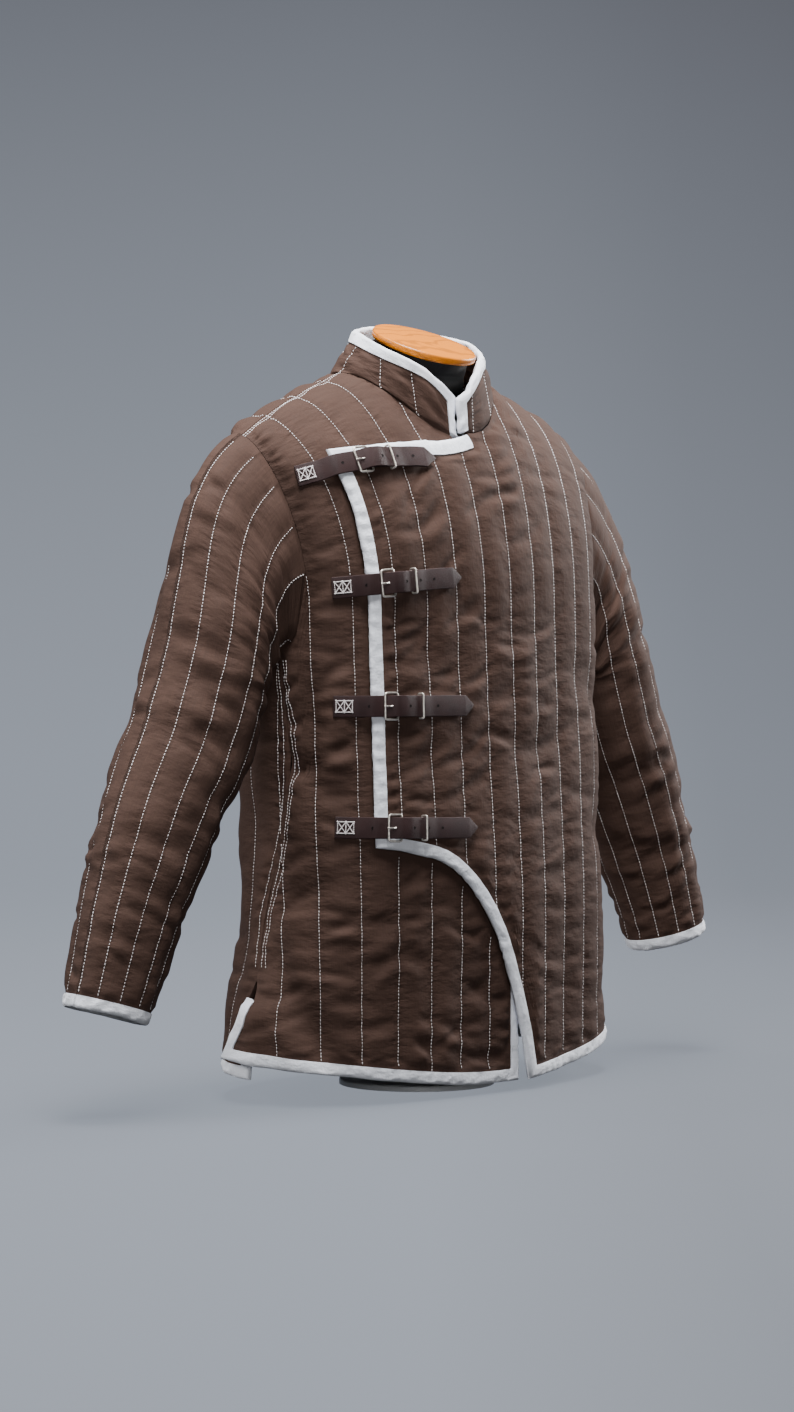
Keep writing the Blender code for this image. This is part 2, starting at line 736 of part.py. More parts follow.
def signed_volume(mesh):
    total = 0.0
    for face in mesh.polygons:
        corners = [mesh.vertices[i].co for i in face.vertices]
        for second, third in zip(corners[1:-1], corners[2:]):
            total += corners[0].dot(second.cross(third))
    return total


class Shell:
    """Collects the vertices of an inner and an outer skin and closes them along the edge."""

    def __init__(self, inner, outer):
        self.skins = {"inner": inner, "outer": outer}
        self.index = {}
        self.points = []
        self.faces = []

    def vertex(self, skin, j, i):
        key = (skin, j, i)
        if key not in self.index:
            self.index[key] = len(self.points)
            self.points.append(self.skins[skin][j, i])
        return self.index[key]


def shell_faces(cells, inner, outer, coarse_rows, coarse_columns, closed=False):
    """Outer skin in fine cells, inner skin in coarse ones, and a wall along every open edge."""
    shell = Shell(inner, outer)
    rows, columns = cells.shape
    span = columns if closed else None

    def wrap(i):
        return i % span if closed else i

    def present(j, i):
        if closed:
            i = i % span
        return 0 <= j < rows and 0 <= i < columns and bool(cells[j, i])

    for j in range(rows):
        for i in range(columns):
            if present(j, i):
                ring_ = ((j, i), (j, i + 1), (j + 1, i + 1), (j + 1, i))
                shell.faces.append([shell.vertex("outer", a, wrap(b)) for a, b in ring_])
                for near, a, b in (((j - 1, i), ring_[0], ring_[1]), ((j, i + 1), ring_[1], ring_[2]),
                                   ((j + 1, i), ring_[2], ring_[3]), ((j, i - 1), ring_[3], ring_[0])):
                    if not present(*near):
                        wall = (("outer", b), ("outer", a), ("inner", a), ("inner", b))
                        shell.faces.append([shell.vertex(k, p[0], wrap(p[1])) for k, p in wall])
    for j0, j1 in zip(coarse_rows[:-1], coarse_rows[1:]):
        for i0, i1 in zip(coarse_columns[:-1], coarse_columns[1:]):
            if present(j0, i0):
                inner_cell(shell, present, wrap, (j0, j1, i0, i1))
    return shell.points, shell.faces


def inner_cell(shell, present, wrap, box):
    """One coarse cell of the inner skin; along an open edge it keeps every fine vertex."""
    j0, j1, i0, i1 = box
    loop = []
    fine = False
    sides = (
        ([(j0, i) for i in range(i0, i1)], not present(j0 - 1, i0)),
        ([(j, i1) for j in range(j0, j1)], not present(j0, i1)),
        ([(j1, i) for i in range(i1, i0, -1)], not present(j1, i0)),
        ([(j, i0) for j in range(j1, j0, -1)], not present(j0, i0 - 1)),
    )
    for side, is_open in sides:
        loop += side if is_open else side[:1]
        fine = fine or (is_open and len(side) > 1)
    corners = [shell.vertex("inner", j, wrap(i)) for j, i in loop]
    if not fine:
        shell.faces.append(corners[::-1])
        return
    hub = len(shell.points)
    middle = (shell.skins["inner"][j0, wrap(i0)] + shell.skins["inner"][j1, wrap(i1)]
              + shell.skins["inner"][j0, wrap(i1)] + shell.skins["inner"][j1, wrap(i0)]) / 4
    shell.points.append(middle)
    for a, b in zip(corners, corners[1:] + corners[:1]):
        shell.faces.append([hub, b, a])


def coarse_steps(count, step, keep):
    """Every step-th index, with the ends and the kept ones."""
    steps = set(range(0, count, step)) | {count} | set(keep)
    return sorted(steps)


def panel_points(panel):
    s = np.nan_to_num(panel.s)
    w = np.nan_to_num(panel.w)
    base = base_height(panel, s, w)
    inner = cloth(s, w, panel.face, base)
    outer = cloth(s, w, panel.face, base + thickness(panel))
    return inner, outer


def build_panel(name, panel, coarse, material, root):
    inner, outer = panel_points(panel)
    arms = [i for i in range(1, len(panel.kind))
            if (panel.kind[i] == "arm") != (panel.kind[i - 1] == "arm")]
    arm_columns = [i - 1 if panel.kind[i] == "arm" else i for i in arms]
    cells = panel.cells()
    top_ends = [i for i in range(1, len(panel.kind)) if panel.kind[i - 1:i + 1] == ["flap", "neck"]]
    row_steps = coarse_steps(cells.shape[0], coarse[0], [LOW_ROWS])
    column_steps = coarse_steps(cells.shape[1], coarse[1], arm_columns + top_ends)
    points, faces = shell_faces(cells, inner, outer, row_steps, column_steps)
    return make_object(name, points, faces, material, root)


# ------------------------------------------------------------------ bindings
BAND_SECTION = (
    # share of the width, share of the thickness
    (0.00, 0.00),
    (0.00, 1.00),
    (0.60, 1.12),
    (1.00, 0.72),
    (1.00, 0.22),
    (0.60, -0.10),
)


def loft(rings, closed=False):
    """Faces between rings of equal count, capped at both ends unless the loft is closed."""
    count = len(rings[0])
    points = [p for ring_ in rings for p in ring_]
    faces = []
    last = len(rings) if closed else len(rings) - 1
    for k in range(last):
        a = k * count
        b = (k + 1) % len(rings) * count
        for i in range(count):
            n = (i + 1) % count
            faces.append((a + i, a + n, b + n, b + i))
    if not closed:
        faces.append(tuple(range(count))[::-1])
        faces.append(tuple((len(rings) - 1) * count + i for i in range(count)))
    return points, faces


def band_rings(bases, outs, normals, thick=BAND_THICK, width=BAND_WIDTH):
    """Sections of a binding along an edge: outwards from it and over the cloth's thickness."""
    rings = []
    for base, out, normal in zip(bases, outs, normals):
        rings.append([base + out * (GAP + share * width) + normal * (height * thick)
                      for share, height in BAND_SECTION])
    return rings


def pattern_edge(panel, path):
    """Base points, outward directions and normals along a path of (row, column) on a panel's edge."""
    s = np.array([panel.s[j, i] for j, i in path])
    w = np.array([panel.w[j, i] for j, i in path])
    flat = np.stack((s, w), -1)
    flat_out = moved(flat, -1.0) - flat
    step = 0.0005
    base = base_height(panel, s, w)
    start = cloth(s, w, panel.face, base)
    along = cloth(s + flat_out[:, 0] * step, w + flat_out[:, 1] * step, panel.face, base)
    return start, (along - start) / step, body_normal(s, w, panel.face)


def build_edge_band(name, panel, path, material, root):
    """A binding sewn along part of a panel's edge; the path keeps the cloth on its left."""
    points, faces = loft(band_rings(*pattern_edge(panel, path)))
    return make_object(name, points, faces, material, root)


def right_band_path(panel):
    """Down the slit, along the hem and up the free edge."""
    last = panel.s.shape[1] - 1
    top = panel.s.shape[0] - 1
    slit = [(j, last) for j in range(SLIT_ROWS - 1, -1, -1)]
    hem = [(0, i) for i in range(last - 1, -1, -1)]
    free = [(j, 0) for j in range(1, top + 1)]
    return slit + hem + free


def left_band_path(panel, neck_column):
    """Along the top of the flap, down its edge, along the curve and the hem, and up the slit."""
    last = panel.s.shape[1] - 1
    top = panel.s.shape[0] - 2
    upper = [(top, i) for i in range(neck_column - 1, -1, -1)]
    edge = [(j, 0) for j in range(top - 1, -1, -1)]
    hem = [(0, i) for i in range(1, last + 1)]
    slit = [(j, last) for j in range(1, SLIT_ROWS)]
    return upper + edge + hem + slit


def back_band_path(panel):
    last = panel.s.shape[1] - 1
    first_slit = [(j, 0) for j in range(SLIT_ROWS - 1, -1, -1)]
    hem = [(0, i) for i in range(1, last + 1)]
    second_slit = [(j, last) for j in range(1, SLIT_ROWS)]
    return first_slit + hem + second_slit


# ------------------------------------------------------------------ edges that other pieces are sewn to
def sewn_edge(panel, path, distance):
    """Inner and outer points just past an edge, ready for the piece sewn to it."""
    s = np.array([panel.s[j, i] for j, i in path])
    w = np.array([panel.w[j, i] for j, i in path])
    flat = np.stack((s, w), -1)
    move = moved(flat, distance) - flat
    base = base_height(panel, s, w)
    edge = cloth(s, w, panel.face, base)
    inner = cloth(s + move[:, 0], w + move[:, 1], panel.face, base)
    outer = cloth(s + move[:, 0], w + move[:, 1], panel.face, base + EDGE_THICK)
    return inner, outer, unit(inner - edge)


def arm_path(panel, side):
    """The armhole's edge from the shoulder down to the underarm."""
    arms = [i for i, kind in enumerate(panel.kind) if kind == "arm"]
    if panel.face == "back":
        middle = panel.s.shape[1] // 2
        arms = [i for i in arms if (i > middle) == (side > 0)]
    near, far = min(arms), max(arms)
    outward_is_up = panel.face == "front" or side > 0
    straight = near - 1 if outward_is_up else far + 1
    lower = range(near, far + 1) if outward_is_up else range(far, near - 1, -1)
    top = panel.s.shape[0] - 1
    return [(j, straight) for j in range(top, LOW_ROWS - 1, -1)] + [(LOW_ROWS, i) for i in lower]


def arm_ring(front, back, side):
    """The whole armhole round from the shoulder by the front: inner and outer points, and the way out."""
    front_edge = sewn_edge(front, arm_path(front, side), side * SEAM_GAP)
    back_edge = sewn_edge(back, arm_path(back, side), side * SEAM_GAP)
    return [join_ring(first, second) for first, second in zip(front_edge, back_edge)]


def join_ring(first, second):
    """Two edges that share both ends, as one ring with each shared point once."""
    top = (first[0] + second[0]) / 2
    bottom = (first[-1] + second[-1]) / 2
    return np.array([top, *first[1:-1], bottom, *second[-2:0:-1]])


# ------------------------------------------------------------------ sleeves
def sleeve_axis(side):
    rows = np.array(SLEEVE_LEFT if side > 0 else SLEEVE_RIGHT)
    centres = np.stack((side * rows[:, 1], rows[:, 2], rows[:, 0] + FLOOR_CLEAR), -1)
    return centres, rows[:, 3]


def sleeve_ring(centre, axis, radius, turns, side):
    """A ring round the sleeve: turn 0 lies outside, a quarter turn at the front."""
    outward = np.array([side, 0.0, 0.0]) - axis * axis[0] * side
    outward = outward / np.linalg.norm(outward)
    front = np.cross(outward, axis) * side
    if front[1] > 0:
        front = -front
    return np.array([centre + radius * (outward * math.cos(t) + front * math.sin(t)) for t in turns])


def leaving(onward, turn, side):
    """The way a sleeve leaves the armhole: on from the panel's surface, turned towards the arm."""
    under = np.array((1 - math.cos(turn)) / 2)
    drop = math.radians(float(through(column(LEAVING, 0), column(LEAVING, 1), under)))
    pull = float(through(column(LEAVING, 0), column(LEAVING, 2), under))
    onward = onward * (1.0, ONWARD_TURN, 1.0)
    return unit(onward + pull * np.array([side * math.cos(drop), 0.0, -math.sin(drop)]))


def sleeve_skins(armhole, onward, side, rows_after):
    """The sleeve's inner points, ring by ring, from the armhole down to the cuff."""
    count = len(armhole)
    turns = [2 * math.pi * k / count for k in range(count)]
    centres, radii = sleeve_axis(side)
    keys = np.linspace(0.0, 1.0, len(centres))
    path = [through(keys, centres[:, i], np.linspace(0, 1, rows_after + 1)) for i in range(3)]
    path = np.stack(path, -1)
    sizes = through(keys, radii, np.linspace(0, 1, rows_after + 1))
    axes = np.gradient(path, axis=0)
    axes = axes / np.linalg.norm(axes, axis=1, keepdims=True)
    lower = [sleeve_ring(path[k], axes[k], sizes[k], turns, side) for k in range(rows_after + 1)]
    head = []
    for step in range(SLEEVE_HEAD_ROWS):
        t = (step / SLEEVE_HEAD_ROWS) ** 0.9
        ring_ = []
        for k, turn in enumerate(turns):
            start = armhole[k]
            end = lower[0][k]
            leave = leaving(onward[k], turn, side)
            reach = 0.40 * np.linalg.norm(end - start)
            first = start + leave * reach
            second = end - axes[0] * reach
            ring_.append(start * (1 - t) ** 3 + 3 * first * t * (1 - t) ** 2
                         + 3 * second * t * t * (1 - t) + end * t ** 3)
        head.append(np.array(ring_))
    return np.array(head + lower)


def grid_normals(grid, side):
    """Outward directions of a tube's points, ring by ring."""
    round_ = np.roll(grid, -1, axis=1) - np.roll(grid, 1, axis=1)
    down = np.gradient(grid, axis=0)
    out = np.cross(round_, down)
    out = out / np.maximum(np.linalg.norm(out, axis=-1, keepdims=True), 1e-12)
    centre = grid.mean(axis=1, keepdims=True)
    sign = np.sign(np.sum((grid - centre) * out, axis=-1).mean())
    return out * sign


def sleeve_folds(shares, turns):
    total = np.zeros((len(shares), len(turns)))
    turn_degrees = np.degrees(np.array(turns))
    for share0, turn0, length, width, height in SLEEVE_FOLDS:
        apart = (turn_degrees - turn0 + 180.0) % 360.0 - 180.0
        total += height * np.exp(-((np.array(shares)[:, None] - share0) / length) ** 2
                                 - (apart[None, :] / width) ** 2)
    return total


def sleeve_grids(armhole_inner, armhole_outer, onward, side):
    inner = sleeve_skins(armhole_inner, onward, side, SLEEVE_ROWS)
    rows, count = inner.shape[:2]
    shares = np.linspace(0.0, 1.0, rows)
    turns = [2 * math.pi * k / count for k in range(count)]
    thick = np.tile(np.where(np.arange(count) % 2 == 0, SEAM_THICK, SLEEVE_PUFF), (rows, 1))
    thick = thick + np.maximum(sleeve_folds(shares, turns), -0.001)
    under = smooth((0.5 - 0.5 * np.cos(turns) - 0.5) / 0.4)
    near = 1.0 - smooth(np.arange(rows) / SLEEVE_HEAD_ROWS)
    thick = thick - (thick - SEAM_THICK) * near[:, None] * under[None, :]
    thick[-1] = EDGE_THICK
    outer = inner + grid_normals(inner, side) * thick[..., None]
    outer[0] = armhole_outer
    return inner, outer


def build_sleeve(name, front, back, side, material, root):
    inner, outer = sleeve_grids(*arm_ring(front, back, side), side)
    rows, count = inner.shape[:2]
    cells = np.ones((rows - 1, count), bool)
    row_steps = coarse_steps(rows - 1, 2, range(SLEEVE_HEAD_ROWS))
    points, faces = shell_faces(cells, inner, outer, row_steps, coarse_steps(count, 2, []), closed=True)
    make_object(name, points, faces, material, root)
    return inner, outer


def build_cuff(name, inner, outer, material, root):
    """The binding round a sleeve's end."""
    down = inner[-1] - inner[-2]
    down = down / np.linalg.norm(down, axis=1, keepdims=True)
    out = outer[-1] - inner[-1]
    out = out / np.linalg.norm(out, axis=1, keepdims=True)
    points, faces = loft(band_rings(inner[-1], down, out), closed=True)
    make_object(name, points, faces, material, root)


# ------------------------------------------------------------------ collar
def neck_path(panel, side):
    """A panel's neckline from its opening or centre out to the shoulder, on one side."""
    columns = [i for i, kind in enumerate(panel.kind) if kind == "neck"]
    if panel.face == "back":
        middle = panel.s.shape[1] // 2
        columns = [i for i in columns if (i - middle) * side >= 0]
        columns.sort(key=lambda i: abs(i - middle))
    else:
        columns.sort()
    edge = columns[-1] + (1 if panel.face == "front" or side > 0 else -1)
    return [(panel.s.shape[0] - 1, i) for i in columns + [edge]]


def neck_ring(right, back, left):
    """The neckline from the wearer's right end of the collar round the back to its left end."""
    def edge(panel, side):
        path = neck_path(panel, side)
        return sewn_edge(panel, path, side * NECK_GAP)[:2]

    right_in, right_out = edge(right, -1)
    back_right_in, back_right_out = edge(back, -1)
    back_left_in, back_left_out = edge(back, 1)
    left_in, left_out = edge(left, 1)

    def chain(front_r, back_r, back_l, front_l):
        joint_r = (front_r[-1] + back_r[-1]) / 2
        joint_l = (front_l[-1] + back_l[-1]) / 2
        return np.array([*front_r[:-1], joint_r, *back_r[-2::-1], *back_l[1:-1], joint_l, *front_l[-2::-1]])

    return (chain(right_in, back_right_in, back_left_in, left_in),
            chain(right_out, back_right_out, back_left_out, left_out))


def collar_top(turns):
    """Inner points of the collar's top edge; its height follows the way round from the nearer end."""
    round_ = np.degrees(np.unwrap(-turns))
    way = np.where(round_ < 180.0, round_, 360.0 - round_)
    end = np.where(round_ < 180.0, round_[0], 360.0 - round_[-1])
    from_end = way - end * (1.0 - way / 180.0)
    height = through(column(COLLAR_TOP, 0), column(COLLAR_TOP, 1), from_end) + FLOOR_CLEAR
    depth = np.where(np.cos(turns) > 0, COLLAR_TOP_FRONT, COLLAR_TOP_BACK)
    x = COLLAR_TOP_HALF * np.sin(turns)
    y = COLLAR_TOP_Y - depth * np.cos(turns)
    return np.stack((x, y, height - BAND_WIDTH), -1)


def collar_bend(inner_base, shares):
    """How the front corners lean together and the left end stands in front of the right one."""
    run = np.concatenate(([0.0], np.cumsum(np.linalg.norm(np.diff(inner_base, axis=0), axis=1))))
    right = 1.0 - smooth(run / COLLAR_CORNER)
    left = 1.0 - smooth((run[-1] - run) / COLLAR_CORNER)
    lean = COLLAR_SHIFT * (right - left) * shares[:, None]
    ahead = -COLLAR_LAP * left * shares[:, None]
    return np.stack((lean, ahead, 0.0 * lean), -1)


def collar_grids(inner_base, outer_base, rows):
    turns = np.arctan2(inner_base[:, 0], COLLAR_TURN_Y - inner_base[:, 1])
    top = collar_top(turns)
    shares = np.linspace(0.0, 1.0, rows + 1)
    inner = inner_base * (1 - shares[:, None, None]) + top * shares[:, None, None]
    inner = inner + collar_bend(inner_base, shares)
    along = np.gradient(inner, axis=1)
    up = np.gradient(inner, axis=0)
    out = np.cross(along, up)
    out = out / np.linalg.norm(out, axis=-1, keepdims=True)
    centre = inner.mean(axis=(0, 1))
    if np.sum((inner - centre) * out) < 0:
        out = -out
    run = np.concatenate(([0.0], np.cumsum(np.linalg.norm(np.diff(inner[0], axis=0), axis=1))))
    thick = puff(run, COLLAR_QUILT, COLLAR_FIRST, COLLAR_THICK + 0.001)
    thick = np.tile(thick, (rows + 1, 1))
    thick[1] = EDGE_THICK
    thick[-1] = EDGE_THICK
    thick[:, 0] = EDGE_THICK
    thick[:, -1] = EDGE_THICK
    outer = inner + out * thick[..., None]
    outer[0] = outer_base
    out[0] = unit(outer_base - inner_base)
    return inner, outer, out


COLLAR_ROWS = 3
COLLAR_FOOT = 0.0013      # the collar's binding begins this far above the neckline


def build_collar(right, back, left, cloth_material, band_material, root):
    inner_base, outer_base = neck_ring(right, back, left)
    inner, outer, out = collar_grids(inner_base, outer_base, COLLAR_ROWS)
    rows, columns = inner.shape[0] - 1, inner.shape[1] - 1
    cells = np.ones((rows, columns), bool)
    points, faces = shell_faces(cells, inner, outer, [0, rows], coarse_steps(columns, 2, []))
    make_object("collar", points, faces, cloth_material, root)
    build_collar_band(inner, out, band_material, root)


def build_collar_band(inner, out, material, root):
    """The binding up one end of the collar, round its top and down the other end."""
    rows, columns = inner.shape[0] - 1, inner.shape[1] - 1
    path = [(j, 0) for j in range(rows)] + [(rows, i) for i in range(columns + 1)]
    path += [(j, columns) for j in range(rows - 1, -1, -1)]
    bases, outs, normals = [], [], []
    for j, i in path:
        up = inner[min(j + 1, rows), i] - inner[max(j - 1, 0), i]
        up = up / np.linalg.norm(up)
        past = inner[j, min(i + 1, columns)] - inner[j, max(i - 1, 0)]
        past = past / np.linalg.norm(past) * (1 if i == columns else -1)
        direction = np.zeros(3)
        if i in (0, columns):
            direction = direction + past
        if j == rows:
            direction = direction + up
        foot = COLLAR_FOOT * up if j == 0 else 0.0
        bases.append(inner[j, i] + foot)
        outs.append(direction)
        normals.append(out[j, i])
    points, faces = loft(band_rings(bases, outs, normals))
    make_object("collar_binding", points, faces, material, root)


# ------------------------------------------------------------------ straps and their metal
UNDER_SEAT = PUFF_THICK + GAP                     # what a strap or tab lies on, above the girth surface
FLAP_SEAT = FLAP_LIFT + PUFF_THICK + GAP
HINGE_HEIGHT = FLAP_SEAT + TAB_THICK + GAP + FRAME_WIRE
OVER_TAB = HINGE_HEIGHT + FRAME_WIRE + GAP + TAB_THICK + GAP
BAR_HEIGHT = FLAP_SEAT + STRAP_THICK + GAP + FRAME_WIRE
KEEPER_LOW = FLAP_SEAT + KEEPER_WIRE
OVER_KEEPER = KEEPER_LOW + KEEPER_WIRE + GAP
KEEPER_HIGH = OVER_KEEPER + STRAP_THICK + GAP + KEEPER_WIRE


class StrapLine:
    """The straight line of one strap over the pattern, measured along it from its stitched end."""

    def __init__(self, row):
        self.name, s0, w0, s1, w1, frame_s, keeper_s = row
        self.start = np.array([s0, w0])
        self.length = math.hypot(s1 - s0, w1 - w0)
        self.step = (np.array([s1, w1]) - self.start) / self.length
        self.frame = (frame_s - s0) / self.step[0]
        self.keeper = (keeper_s - s0) / self.step[0]
        self.flap = (FLAP_LEFT - s0) / self.step[0]

    def frame_at(self, distance):
        """Origin, along, across and normal directions at a distance along the strap."""
        s, w = self.start + self.step * distance
        step = 0.002
        origin = body(s, w, "front")
        ahead = body(s + self.step[0] * step, w + self.step[1] * step, "front")
        before = body(s - self.step[0] * step, w - self.step[1] * step, "front")
        normal = body_normal(s, w, "front")
        along = ahead - before
        along = along / np.linalg.norm(along)
        return origin, along, np.cross(normal, along), normal

    def point(self, distance, across, height):
        origin, _along, side, normal = self.frame_at(distance)
        s, w = self.start + self.step * distance
        fold = float(fold_height(s, w, "front"))
        return origin + side * across + normal * (height + fold)

    def seat(self, distance):
        """The strap's underside above the girth surface."""
        f = self.frame
        keys = (0.0, self.flap - 0.014, self.flap - 0.002, f + 0.002, f + FRAME_REACH - 0.003,
                f + FRAME_REACH + 0.008, self.keeper - 0.004, self.keeper + 0.003,
                self.keeper + 0.014, self.length)
        heights = (UNDER_SEAT, UNDER_SEAT, FLAP_SEAT, FLAP_SEAT, OVER_TAB, OVER_TAB,
                   OVER_KEEPER, OVER_KEEPER, FLAP_SEAT, FLAP_SEAT)
        return float(np.interp(distance, keys, heights))


def build_strap(line, material, root):
    """A leather strap from its stitched end over the flap's edge to its pointed end."""
    f = line.frame
    body_end = line.length - STRAP_POINT
    stops = [0.0, 0.007, 0.014, line.flap - 0.014, line.flap - 0.002, f + 0.002, f + FRAME_REACH - 0.003,
             f + FRAME_REACH + 0.008, line.keeper - 0.004, line.keeper + 0.003, line.keeper + 0.014]
    stops = sorted(set(round(d, 5) for d in stops if d < body_end)) + [body_end, line.length]
    rings = []
    for distance in stops:
        half = STRAP_WIDTH / 2
        if distance == line.length:
            half = 0.0012
        low = line.seat(distance)
        high = low + STRAP_THICK
        corners = ((-half, low), (half, low), (half, high), (-half, high))
        rings.append([line.point(distance, a, h) for a, h in corners])
    points, faces = loft(rings)
    make_object("strap_" + line.name, points, faces, material, root)


def ribbon(line, route, thick, half):
    """A band whose inner side follows a route of (distance, height, lean of its upper side)."""
    rings = []
    for distance, height, lean_along, lean_up in route:
        low = line.point(distance, -half, height), line.point(distance, half, height)
        top_distance = distance + lean_along * thick
        top_height = height + lean_up * thick
        high = line.point(top_distance, half, top_height), line.point(top_distance, -half, top_height)
        rings.append([low[0], low[1], high[0], high[1]])
    return loft(rings)


def build_tab(line, material, root):
    """The short leather tab that is sewn to the flap and folds round the frame's hinge bar."""
    hinge = line.frame + FRAME_REACH
    end = line.keeper - 0.005
    inside = FRAME_WIRE + GAP
    route = [(end, HINGE_HEIGHT - inside, 0.0, -1.0)]
    for i in range(7):
        turn = -math.pi / 2 - math.pi * i / 6
        route.append((hinge + inside * math.cos(turn), HINGE_HEIGHT + inside * math.sin(turn),
                      math.cos(turn), math.sin(turn)))
    route.append((hinge + 0.007, HINGE_HEIGHT + inside, 0.0, 1.0))
    points, faces = ribbon(line, route, TAB_THICK, TAB_WIDTH / 2)
    make_object("tab_" + line.name, points, faces, material, root)


def wire_loop(corners, radius, bend, sides=6, corner_steps=2):
    """A closed wire through rounded corners, given as points in space."""
    corners = [np.array(c) for c in corners]
    path = []
    for k, corner in enumerate(corners):
        before = corners[k - 1] - corner
        after = corners[(k + 1) % len(corners)] - corner
        start = corner + before / np.linalg.norm(before) * bend
        end = corner + after / np.linalg.norm(after) * bend
        for i in range(corner_steps + 1):
            t = i / corner_steps
            path.append(start * (1 - t) ** 2 + corner * 2 * t * (1 - t) + end * t * t)
    path = np.array(path)
    plane = np.cross(corners[1] - corners[0], corners[2] - corners[1])
    plane = plane / np.linalg.norm(plane)
    rings = []
    for k, point in enumerate(path):
        ahead = path[(k + 1) % len(path)] - path[k - 1]
        ahead = ahead / np.linalg.norm(ahead)
        side = np.cross(plane, ahead)
        rings.append([point + radius * (side * math.cos(a) + plane * math.sin(a))
                      for a in (2 * math.pi * i / sides for i in range(sides))])
    return loft(rings, closed=True)


def build_metal(line, material, root):
    """The wire frame with its prong, and the wire keeper."""
    bar = line.frame
    hinge = bar + FRAME_REACH
    frame = [line.point(bar, -FRAME_HALF, BAR_HEIGHT), line.point(bar, FRAME_HALF, BAR_HEIGHT),
             line.point(hinge, FRAME_HALF, HINGE_HEIGHT), line.point(hinge, -FRAME_HALF, HINGE_HEIGHT)]
    points, faces = wire_loop(frame, FRAME_WIRE, 0.0030)
    make_object("buckle_" + line.name, points, faces, material, root)
    lean = 0.002
    keeper = [line.point(line.keeper - lean, -KEEPER_HALF, KEEPER_LOW),
              line.point(line.keeper - lean, KEEPER_HALF, KEEPER_LOW),
              line.point(line.keeper, KEEPER_HALF, KEEPER_HIGH),
              line.point(line.keeper, -KEEPER_HALF, KEEPER_HIGH)]
    points, faces = wire_loop(keeper, KEEPER_WIRE, 0.0012, sides=5, corner_steps=1)
    make_object("keeper_" + line.name, points, faces, material, root)
    build_prong(line, material, root)


def build_prong(line, material, root):
    """The prong where it shows: out of its hole and over the free bar."""
    radius = 0.0008
    route = []
    for back in (0.0060, 0.0045, 0.0025, -0.0005, -0.0020):
        distance = line.frame + back
        leather = line.seat(distance) + STRAP_THICK + GAP + radius
        over_bar = BAR_HEIGHT + FRAME_WIRE + GAP + radius
        share = float(smooth((0.0045 - back) / 0.0025))
        route.append((distance, max(leather, leather * (1 - share) + over_bar * share)))
    rings = []
    for distance, height in route:
        rings.append([line.point(distance + 0.0, radius * math.cos(a), height + radius * math.sin(a))
                      for a in (math.pi / 3 * i for i in range(6))])
    points, faces = loft(rings)
    make_object("prong_" + line.name, points, faces, material, root)


# ------------------------------------------------------------------ the dress form
def oval(half, front, back, mid_y, height, power, count):
    ring_ = []
    for i in range(count):
        turn = 2 * math.pi * i / count
        side, ahead = math.sin(turn), math.cos(turn)
        depth = front if ahead > 0 else back
        reach = ((abs(side) / half) ** power + (abs(ahead) / depth) ** power) ** (-1 / power)
        ring_.append(np.array([reach * side, mid_y - reach * ahead, height]))
    return ring_


def build_form(material, root):
    """A smooth limbless torso with a neck."""
    rings = []
    count = 32
    keys = column(FORM, 0)
    levels = list(keys[:4]) + [0.52] + list(keys[4:])
    for level in levels:
        half, front, back, mid = (float(through(keys, column(FORM, i), np.array(level))) for i in range(1, 5))
        rings.append(oval(half, front, back, mid, level + FLOOR_CLEAR, FORM_SQUARE, count))
    cap = np.array(CAP_CENTRE) + (0.0, 0.0, FLOOR_CLEAR)
    under = CAP_THICK + GAP
    rings.append(tilted_ring(cap, -under, CAP_RADIUS - 0.006, count))
    points, faces = loft(rings)
    make_object("form_torso", points, faces, material, root)


def tilted_ring(centre, height, radius, count):
    """A ring in the neck cap's tilted plane, a height above the cap's top."""
    up = np.array([0.0, -math.sin(CAP_TILT), math.cos(CAP_TILT)])
    back = np.array([0.0, math.cos(CAP_TILT), math.sin(CAP_TILT)])
    across = np.array([1.0, 0.0, 0.0])
    middle = centre + up * height
    return [middle + radius * (across * math.sin(t) - back * math.cos(t))
            for t in (2 * math.pi * i / count for i in range(count))]


def build_cap(material, root):
    centre = np.array(CAP_CENTRE) + (0.0, 0.0, FLOOR_CLEAR)
    edge = 0.0025
    profile = ((-CAP_THICK, CAP_RADIUS - edge), (-CAP_THICK + edge, CAP_RADIUS),
               (-edge, CAP_RADIUS), (0.0, CAP_RADIUS - edge))
    rings = [tilted_ring(centre, height, radius, 32) for height, radius in profile]
    points, faces = loft(rings)
    make_object("neck_cap", points, faces, material, root)


def build_stand(material, root):
    """A round foot and the post that carries the form."""
    small = FOOT_HALF - 0.002
    foot = [oval(FOOT_HALF, FOOT_HALF, FOOT_HALF, FOOT_Y, 0.0, 2.0, 40),
            oval(FOOT_HALF, FOOT_HALF, FOOT_HALF, FOOT_Y, FOOT_THICK - 0.002, 2.0, 40),
            oval(small, small, small, FOOT_Y, FOOT_THICK, 2.0, 40)]
    points, faces = loft(foot)
    make_object("foot_plate", points, faces, material, root)
    low = FOOT_THICK + GAP
    high = FORM[0][0] + FLOOR_CLEAR - GAP
    post = [oval(POST_RADIUS, POST_RADIUS, POST_RADIUS, FOOT_Y, z, 2.0, 16) for z in (low, high)]
    points, faces = loft(post)
    make_object("post", points, faces, material, root)


# ------------------------------------------------------------------ materials and the whole
def material(name, colour, roughness, metallic=0.0):
    item = bpy.data.materials.new(name)
    item.use_nodes = True
    shader = item.node_tree.nodes["Principled BSDF"]
    shader.inputs["Base Color"].default_value = (*colour, 1.0)
    shader.inputs["Roughness"].default_value = roughness
    shader.inputs["Metallic"].default_value = metallic
    return item


